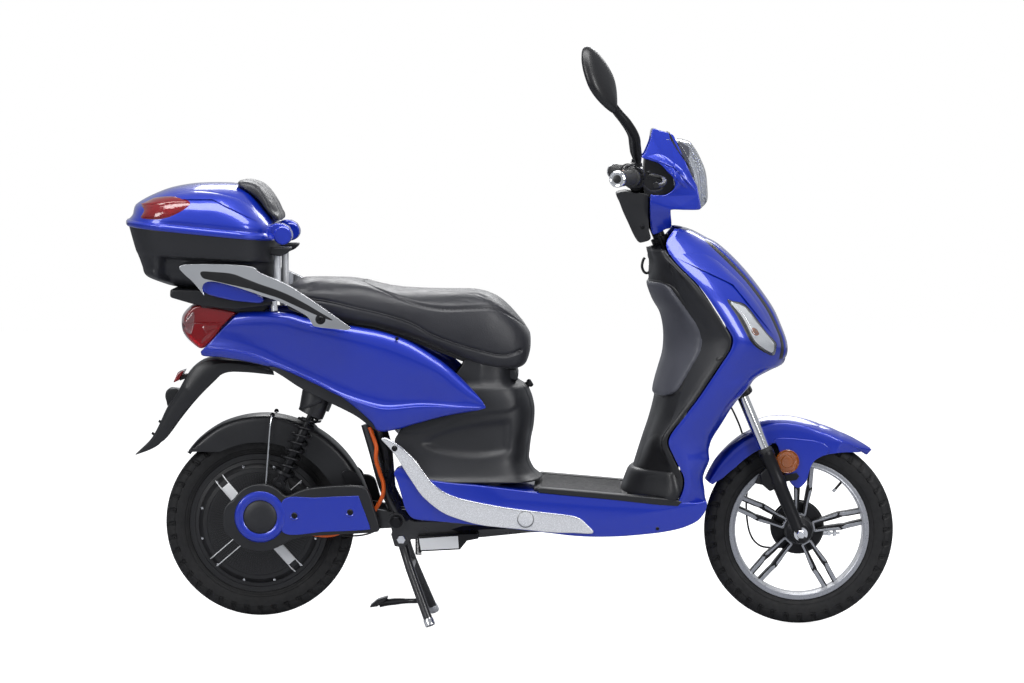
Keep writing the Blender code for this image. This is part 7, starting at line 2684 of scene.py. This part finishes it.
def make_handlebar():
    """The bars with their grips, levers and switches."""
    half = [
        (0.2380, 0.3300, 1.026), (0.2680, 0.2150, 1.026), (0.2810, 0.1650, 1.024),
        (0.2820, 0.1100, 1.016), (0.2820, 0.0600, 1.008), (0.2820, 0.0300, 1.008), (0.2820, 0.0, 1.008),
    ]
    path = [(x, -y, z) for x, y, z in half] + [(x, y, z) for x, y, z in reversed(half[:-1])]
    pieces = [pipe("bar", path, 0.0110, 32, 200)]
    for name, side in SIDES:
        inner = Vector((0.2795, 0.170 * side, 1.0242))
        outer = Vector((0.2690, 0.2125 * side, 1.0260))
        pieces.append(rod("housing", inner, outer, 0.0195, 40, 0.003))
        pieces.append(
            rod("perch", (0.276, 0.192 * side, 1.027), (0.2985, 0.194 * side, 1.0295), 0.0085, 32, 0.001)
        )
        pieces.append(
            rod(
                "mirror_boss", (0.279, 0.199 * side, 1.030), (0.2835, 0.200 * side, 1.0470), 0.0085, 32,
                0.001,
            )
        )
        pieces.append(
            plate(
                "switch_box",
                [
                    (0.2600, 1.0020), (0.2560, 1.0200), (0.2600, 1.0440), (0.2750, 1.0480),
                    (0.2950, 1.0440), (0.2980, 1.0150), (0.2900, 1.0020),
                ],
                *sorted((0.172 * side, 0.196 * side)), 0.004, 4,
            )
        )
    mount(
        dress(merged("bar_assembly", pieces), "black_metal"), "steering", "frame_steel", "handlebar",
        finish="dark_plastic",
    )
    for name, side in SIDES:
        inner = Vector((GRIP_INNER.x, GRIP_INNER.y * side, GRIP_INNER.z))
        outer = Vector((GRIP_OUTER.x, GRIP_OUTER.y * side, GRIP_OUTER.z))
        along = (outer - inner).normalized()
        length = (outer - inner).length
        body, node = ("throttle", "throttle_grip") if side < 0 else ("steering", "grip_left")
        profile = [
            (0.0114, 0.002), (0.0205, 0.002), (0.0216, 0.0035), (0.0216, 0.0060), (0.0195, 0.0080),
            (0.0168, 0.0095),
        ]
        for k in range(16):
            start = 0.012 + k * 0.0058
            profile += [
                (0.0160, start), (0.0170, start + 0.0008), (0.0170, start + 0.0040),
                (0.0160, start + 0.0048),
            ]
        profile += [(0.0165, length - 0.004), (0.0180, length - 0.002), (0.0180, length), (0.0114, length)]
        mount(lathe("grip_sleeve_" + name, profile, inner, along, 64), body, "grip_rubber", node)
        end = [
            (0.0, 0.0), (0.0150, 0.0), (0.0182, 0.0020), (0.0185, 0.0060), (0.0175, 0.0095),
            (0.0150, 0.0112), (0.0130, 0.0100), (0.0, 0.0100),
        ]
        mount(
            dress(lathe("bar_end_" + name, end, outer + along * 0.0004, along, 64, False), "chrome_trim"),
            "steering", "alloy",
        )
        core = [(0.0, 0.0108), (0.0078, 0.0108), (0.0092, 0.0104), (0.0092, 0.0092), (0.0, 0.0092)]
        mount(
            lathe("bar_end_core_" + name, core, outer + along * 0.0004, along, 40, False), "steering",
            "alloy", finish="dark_plastic",
        )
        path = [
            (0.306, 0.196, 1.030), (0.322, 0.202, 1.028), (0.337, 0.216, 1.0230),
            (0.3405, 0.238, 1.0180), (0.3360, 0.268, 1.0130), (0.3270, 0.300, 1.0115),
            (0.3215, 0.322, 1.0120), (0.3200, 0.336, 1.0125),
        ]
        lever = pipe(
            "lever_blade_" + name, [(x, y * side, z) for x, y, z in path],
            lambda t: 0.0056 - 0.0012 * ease(t, 0.1, 0.9) + 0.0024 * ease(
                t, 0.95, 0.98,
            ) * (1 - 0.6 * ease(t, 0.99, 1.0)),
            24, 140,
        )
        mount(lever, "lever_" + name, "alloy", "brake_lever_" + name, finish="dark_plastic")
        mount(
            bolt(
                "lever_pivot_" + name, (0.306, 0.196 * side, 1.0360), (0, 0, 1), 0.0050, 0.0040, "cap",
                "black_metal",
            ),
            "steering", "black_metal",
        )
        mirror_path = [
            (0.2840, 0.2000, 1.0495), (0.2835, 0.2020, 1.0620), (0.2815, 0.2100, 1.0760),
            (0.2790, 0.2260, 1.0960), (0.2770, 0.2400, 1.1120), (0.2700, 0.2520, 1.1280),
            (0.2560, 0.2650, 1.1490), (0.2400, 0.2740, 1.1680), (0.2260, 0.2830, 1.1880),
            (0.2160, 0.2870, 1.2050),
        ]
        stem = pipe(
            "mirror_stem_" + name, [(x, y * side, z) for x, y, z in mirror_path],
            lambda t: 0.0062 + 0.0040 * ease(t, 0.02, 0.16) - 0.0024 * ease(t, 0.60, 1.0), 28, 120,
        )
        nut = bolt(
            "mirror_nut_" + name, (0.2838, 0.2000 * side, 1.0500), (0.0, 0.06 * side, 1.0), 0.0088,
            0.0085, "hex", "black_metal",
        )
        mount(
            dress(merged("mirror_arm_" + name, [stem, nut]), "black_metal"), "mirror_" + name,
            "black_plastic", finish="black_metal",
        )
        make_mirror_head(name, side)
    button = lathe(
        "horn_cap", [(0.0, 0.0063), (0.0044, 0.0060), (0.0058, 0.0048), (0.0060, 0.0), (0.0, 0.0)],
        Vector((0.2585, 0.186, 1.0270)), Vector((-1, 0, 0)), 40, False,
    )
    mount(button, "horn", "black_plastic", "horn_button", finish="amber_reflector")


def make_mirror_head(name, side):
    """A leaf-shaped shell with the glass set in its back face."""
    turn = Matrix.Translation((0.1995, 0.290 * side, 1.2420)) @ Matrix.Rotation(
        math.radians(-24), 4, "Y",
    ) @ Matrix.Rotation(
        math.radians(32 * side), 4, "Z",
    )
    outline = []
    for t in np.linspace(0, 2 * math.pi, 96, endpoint=False):
        across = 0.0455 * math.sin(t)
        high = 0.0770 * math.cos(t)
        across *= 1 - 0.10 * max(0.0, high / 0.077) - 0.50 * max(0.0, -high / 0.077) ** 2
        outline.append((across, high))
    bm = bmesh.new()
    rows = []
    for share, ahead in (
        (1.0, -0.0060), (1.02, -0.0045), (1.02, -0.0010), (0.97, 0.0050), (0.84, 0.0100),
        (0.62, 0.0135), (0.34, 0.0155), (0.12, 0.0160),
    ):
        rows.append([bm.verts.new((ahead, a * share, h * share)) for a, h in outline])
    grid_faces(bm, rows, True)
    bm.faces.new(rows[-1])
    lip = [bm.verts.new((-0.0060, a * 0.955, h * 0.97)) for a, h in outline]
    floor_row = [bm.verts.new((-0.0035, a * 0.955, h * 0.97)) for a, h in outline]
    grid_faces(bm, [rows[0], lip, floor_row], True)
    bm.faces.new(floor_row)
    bmesh.ops.recalc_face_normals(bm, faces=bm.faces[:])
    bm.transform(turn)
    mount(
        from_bmesh("mirror_shell_" + name, bm, 40.0), "mirror_" + name, "black_plastic",
        "mirror_" + name, finish="dark_plastic",
    )
    bm = bmesh.new()
    rows = []
    for share, ahead in (
        (0.945, -0.0036), (0.945, -0.0050), (0.90, -0.0054), (0.5, -0.0057), (0.05, -0.0058),
    ):
        rows.append([bm.verts.new((ahead, a * share, h * share)) for a, h in outline])
    grid_faces(bm, rows, True)
    bm.faces.new(rows[0])
    bm.faces.new(rows[-1])
    bmesh.ops.recalc_face_normals(bm, faces=bm.faces[:])
    bm.transform(turn)
    mount(
        from_bmesh("mirror_glass_" + name, bm, 40.0), "mirror_" + name, "chrome_trim",
        finish="mirror_glass",
    )


COWL_SIDE = [
    (0.318, 1.131), (0.336, 1.1275), (0.351, 1.1235), (0.3640, 1.1180), (0.3720, 1.1020),
    (0.3860, 1.0710), (0.4050, 1.0280), (0.4170, 1.0050), (0.4225, 0.9830), (0.4265, 0.9590),
    (0.4230, 0.9505), (0.3930, 0.9500), (0.3620, 0.9505), (0.3590, 0.9440), (0.3610, 0.9120),
    (0.3470, 0.9050), (0.3300, 0.8960), (0.3190, 0.8950), (0.3140, 0.9150), (0.3130, 0.9800),
    (0.3220, 0.9830), (0.3470, 0.9840), (0.3640, 0.9950), (0.3690, 1.0090), (0.3630, 1.0240),
    (0.3520, 1.0350), (0.3310, 1.0550), (0.2950, 1.0670), (0.3010, 1.0780), (0.3120, 1.1050),
]


def make_headlight():
    """The headlight cowl, the lens and the dash."""
    shell = plate("cowl_shell", smooth_outline(COWL_SIDE, 320), -0.0930, 0.0930, 0.0, 1)
    baked(shell)
    for vertex in shell.data.vertices:
        x, z = vertex.co.x, vertex.co.z
        narrow = 1.0 - 0.20 * ease(z, 1.040, 1.131) - 0.30 * ease(
            0.960 - z, 0.0, 0.060,
        ) - 0.10 * ease(x, 0.390, 0.425)
        vertex.co.y *= narrow
    bevel = shell.modifiers.new("Bevel", "BEVEL")
    bevel.width = 0.0090
    bevel.segments = 5
    bevel.limit_method = "ANGLE"
    bevel.angle_limit = math.radians(50)
    baked(shell)
    inside = [
        (0.3260, 1.1180), (0.3520, 1.1130), (0.3720, 1.0710), (0.4000, 1.0180), (0.4400, 0.9950),
        (0.4400, 0.9600), (0.3550, 0.9580), (0.2900, 0.9560), (0.2900, 1.1100),
    ]
    boolean(shell, plate("cowl_inside", inside, -0.0680, 0.0680, 0.0))
    front_cut = [
        (0.3700, 1.1090), (0.4600, 1.1200), (0.4600, 0.9600), (0.4200, 0.9600), (0.4000, 1.0000),
        (0.3850, 1.0500),
    ]
    boolean(shell, plate("cowl_mouth", front_cut, -0.0640, 0.0640, 0.0))
    boolean(shell, rod("cowl_room", steer(0, 0, -0.05), steer(0, 0, 0.20), 0.0240, 48))
    shell.data.shade_smooth()
    shell.data.set_sharp_from_angle(angle=math.radians(40))
    mount(shell, "steering", "blue_paint", "headlight_cowl")
    for name, side in SIDES:
        crease = [
            (0.300, 1.0720), (0.3290, 1.0775), (0.3560, 1.0650), (0.3930, 1.0330), (0.4180, 0.9950),
            (0.4150, 0.9900), (0.3890, 1.0260), (0.3530, 1.0570), (0.3290, 1.0690),
        ]
        mount(
            decal("cowl_crease_" + name, crease, shell, side, 0.0030, 5, 120, 2.4), "steering",
            "blue_paint",
        )
        housing = [
            (0.3745, 1.1030), (0.3980, 1.0930), (0.4010, 1.0790), (0.3990, 1.0600), (0.4120, 1.0230),
            (0.3960, 1.0380), (0.3800, 1.0790),
        ]
        low, high = sorted((side * 0.0655, side * 0.0760))
        mount(
            plate("lamp_cheek_" + name, smooth_outline(housing, 90), low, high, 0.0025, 3), "steering",
            "silver_trim", finish="grey_plastic",
        )
        inset = [
            (0.3410, 1.0540), (0.3530, 1.0535), (0.3680, 1.0440), (0.3920, 1.0170), (0.3985, 0.9970),
            (0.3860, 1.0020), (0.3680, 1.0200), (0.3540, 1.0380),
        ]
        mount(decal("cowl_inset_" + name, inset, shell, side, 0.0026, 8, 110, 3.0), "steering", "blue_paint")
        # A dark strip laid along the visor line: painted shade standing in for the shadowed gap under the visor.
        visor = [
            (0.3535, 1.1235), (0.3560, 1.1235), (0.3625, 1.1060), (0.4010, 1.0480), (0.3990, 1.0470),
            (0.3600, 1.1040),
        ]
        mount(
            decal("visor_gap_" + name, visor, shell, side, 0.0008, 4, 110, 6.0), "steering",
            "blue_paint", finish="dark_plastic",
        )
    back = [
        (0.3020, 0.9800), (0.3000, 1.0620), (0.3120, 1.0660), (0.3340, 1.0560), (0.3560, 1.0350),
        (0.3680, 1.0180), (0.3730, 1.0050), (0.3640, 0.9900), (0.3450, 0.9820),
    ]
    mount(
        plate("cowl_back", smooth_outline(back, 120), -0.0560, 0.0560, 0.0040, 3, 40.0), "steering",
        "grained_plastic", finish="dark_plastic",
    )
    depth = []
    for y in np.linspace(-0.0775, 0.0775, 60):
        share = abs(y) / 0.0775
        back = 0.030 * share**3.2
        line = [
            (0.3780, 1.1085), (0.3900, 1.1075), (0.4050, 1.1010), (0.4150, 1.0880), (0.4240, 1.0730),
            (0.4390, 1.0380), (0.4440, 1.0030), (0.4440, 0.9690), (0.4300, 0.9510),
        ]
        depth.append([(x - back, y, z) for x, z in line])
    lens = sheet_skin("headlight_glass", depth, 60, 60, 0.0025)
    mount(lens, "steering", "clear_lens", "headlight_lens")
    rows = []
    for y in np.linspace(-0.0710, 0.0710, 40):
        share = abs(y) / 0.0710
        rows.append(
            [
                (x - 0.022 * (1 - share**2) - 0.022 * share**3, y, z)
                for x, z in [
                    (0.3800, 1.1010), (0.3900, 1.0800), (0.3860, 1.0400), (0.3900, 1.0000),
                    (0.4000, 0.9700), (0.4200, 0.9560),
                ]
            ]
        )
    mount(sheet_skin("headlight_mirror", rows, 40, 40, 0.0015), "steering", "clear_lens", finish="white_mark")
    lamp = [(0.0, 0.0), (0.010, 0.0), (0.012, 0.003), (0.012, 0.014), (0.008, 0.020), (0.0, 0.022)]
    mount(
        lathe("headlight_bulb", lamp, Vector((0.372, 0, 1.028)), Vector((1, 0, 0.1)).normalized(), 48, False),
        "steering", "clear_lens", finish="white_mark",
    )
    rib_pieces = []
    for k in range(11):
        y = -0.060 + k * 0.012
        share = abs(y) / 0.0775
        back = 0.030 * share**3.2 + 0.0018
        rib_pieces.append(
            pipe(
                "rib",
                [
                    (0.4100 - back, y, 1.0920), (0.4230 - back, y, 1.0700), (0.4370 - back, y, 1.0380),
                    (0.4420 - back, y, 1.0030), (0.4420 - back, y, 0.9720),
                ],
                0.0014, 8, 30,
            )
        )
    mount(dress(merged("headlight_ribs", rib_pieces), "clear_lens"), "steering", "clear_lens")
    dash_side = [
        (0.2370, 0.9850), (0.2440, 0.9660), (0.2520, 0.9450), (0.2650, 0.9170), (0.2750, 0.8950),
        (0.2860, 0.8780), (0.2960, 0.8760), (0.3140, 0.8840), (0.3110, 0.9050), (0.3090, 0.9360),
        (0.3090, 0.9740), (0.3080, 0.9840), (0.2700, 0.9900), (0.2540, 0.9910),
    ]
    dash = plate("dash_shell", smooth_outline(dash_side, 220), -0.0720, 0.0720, 0.0080, 5, 45.0)
    baked(dash)
    boolean(dash, rod("dash_room", steer(0, 0, -0.05), steer(0, 0, 0.20), 0.0240, 48))
    boolean(dash, rod("dash_clamp_room", (0.282, -0.09, 1.008), (0.282, 0.09, 1.008), 0.0215, 48))
    dash.data.shade_smooth()
    dash.data.set_sharp_from_angle(angle=math.radians(40))
    mount(dash, "steering", "grained_plastic", "dash_cover", finish="black_plastic")
    for name, side in SIDES:
        mount(
            bolt(
                "dash_screw_" + name, (0.2960, side * 0.0718, 0.9110), (0, side, 0), 0.0042, 0.0025,
                "cap", "black_metal",
            ),
            "steering", "black_metal",
        )
        cable = [
            (0.3260, side * 0.030, 0.9050), (0.3340, side * 0.033, 0.8850),
            (0.3420, side * 0.032, 0.8700), (0.3480, side * 0.030, 0.8550),
        ]
        mount(
            pipe("dash_cable_" + name, cable, 0.0028, 16, 50), "steering", "grip_rubber",
            finish="grip_rubber",
        )
        hose = [
            (0.2850, side * 0.180, 1.0180), (0.3100, side * 0.150, 0.9950),
            (0.3350, side * 0.100, 0.9950), (0.3400, side * 0.060, 1.0020),
            (0.3300, side * 0.040, 1.0000),
        ]
        mount(
            pipe("lever_cable_" + name, hose, 0.0024, 16, 100), "steering", "grip_rubber",
            finish="grip_rubber",
        )


make_fork()
make_front_fender()
make_handlebar()
make_headlight()
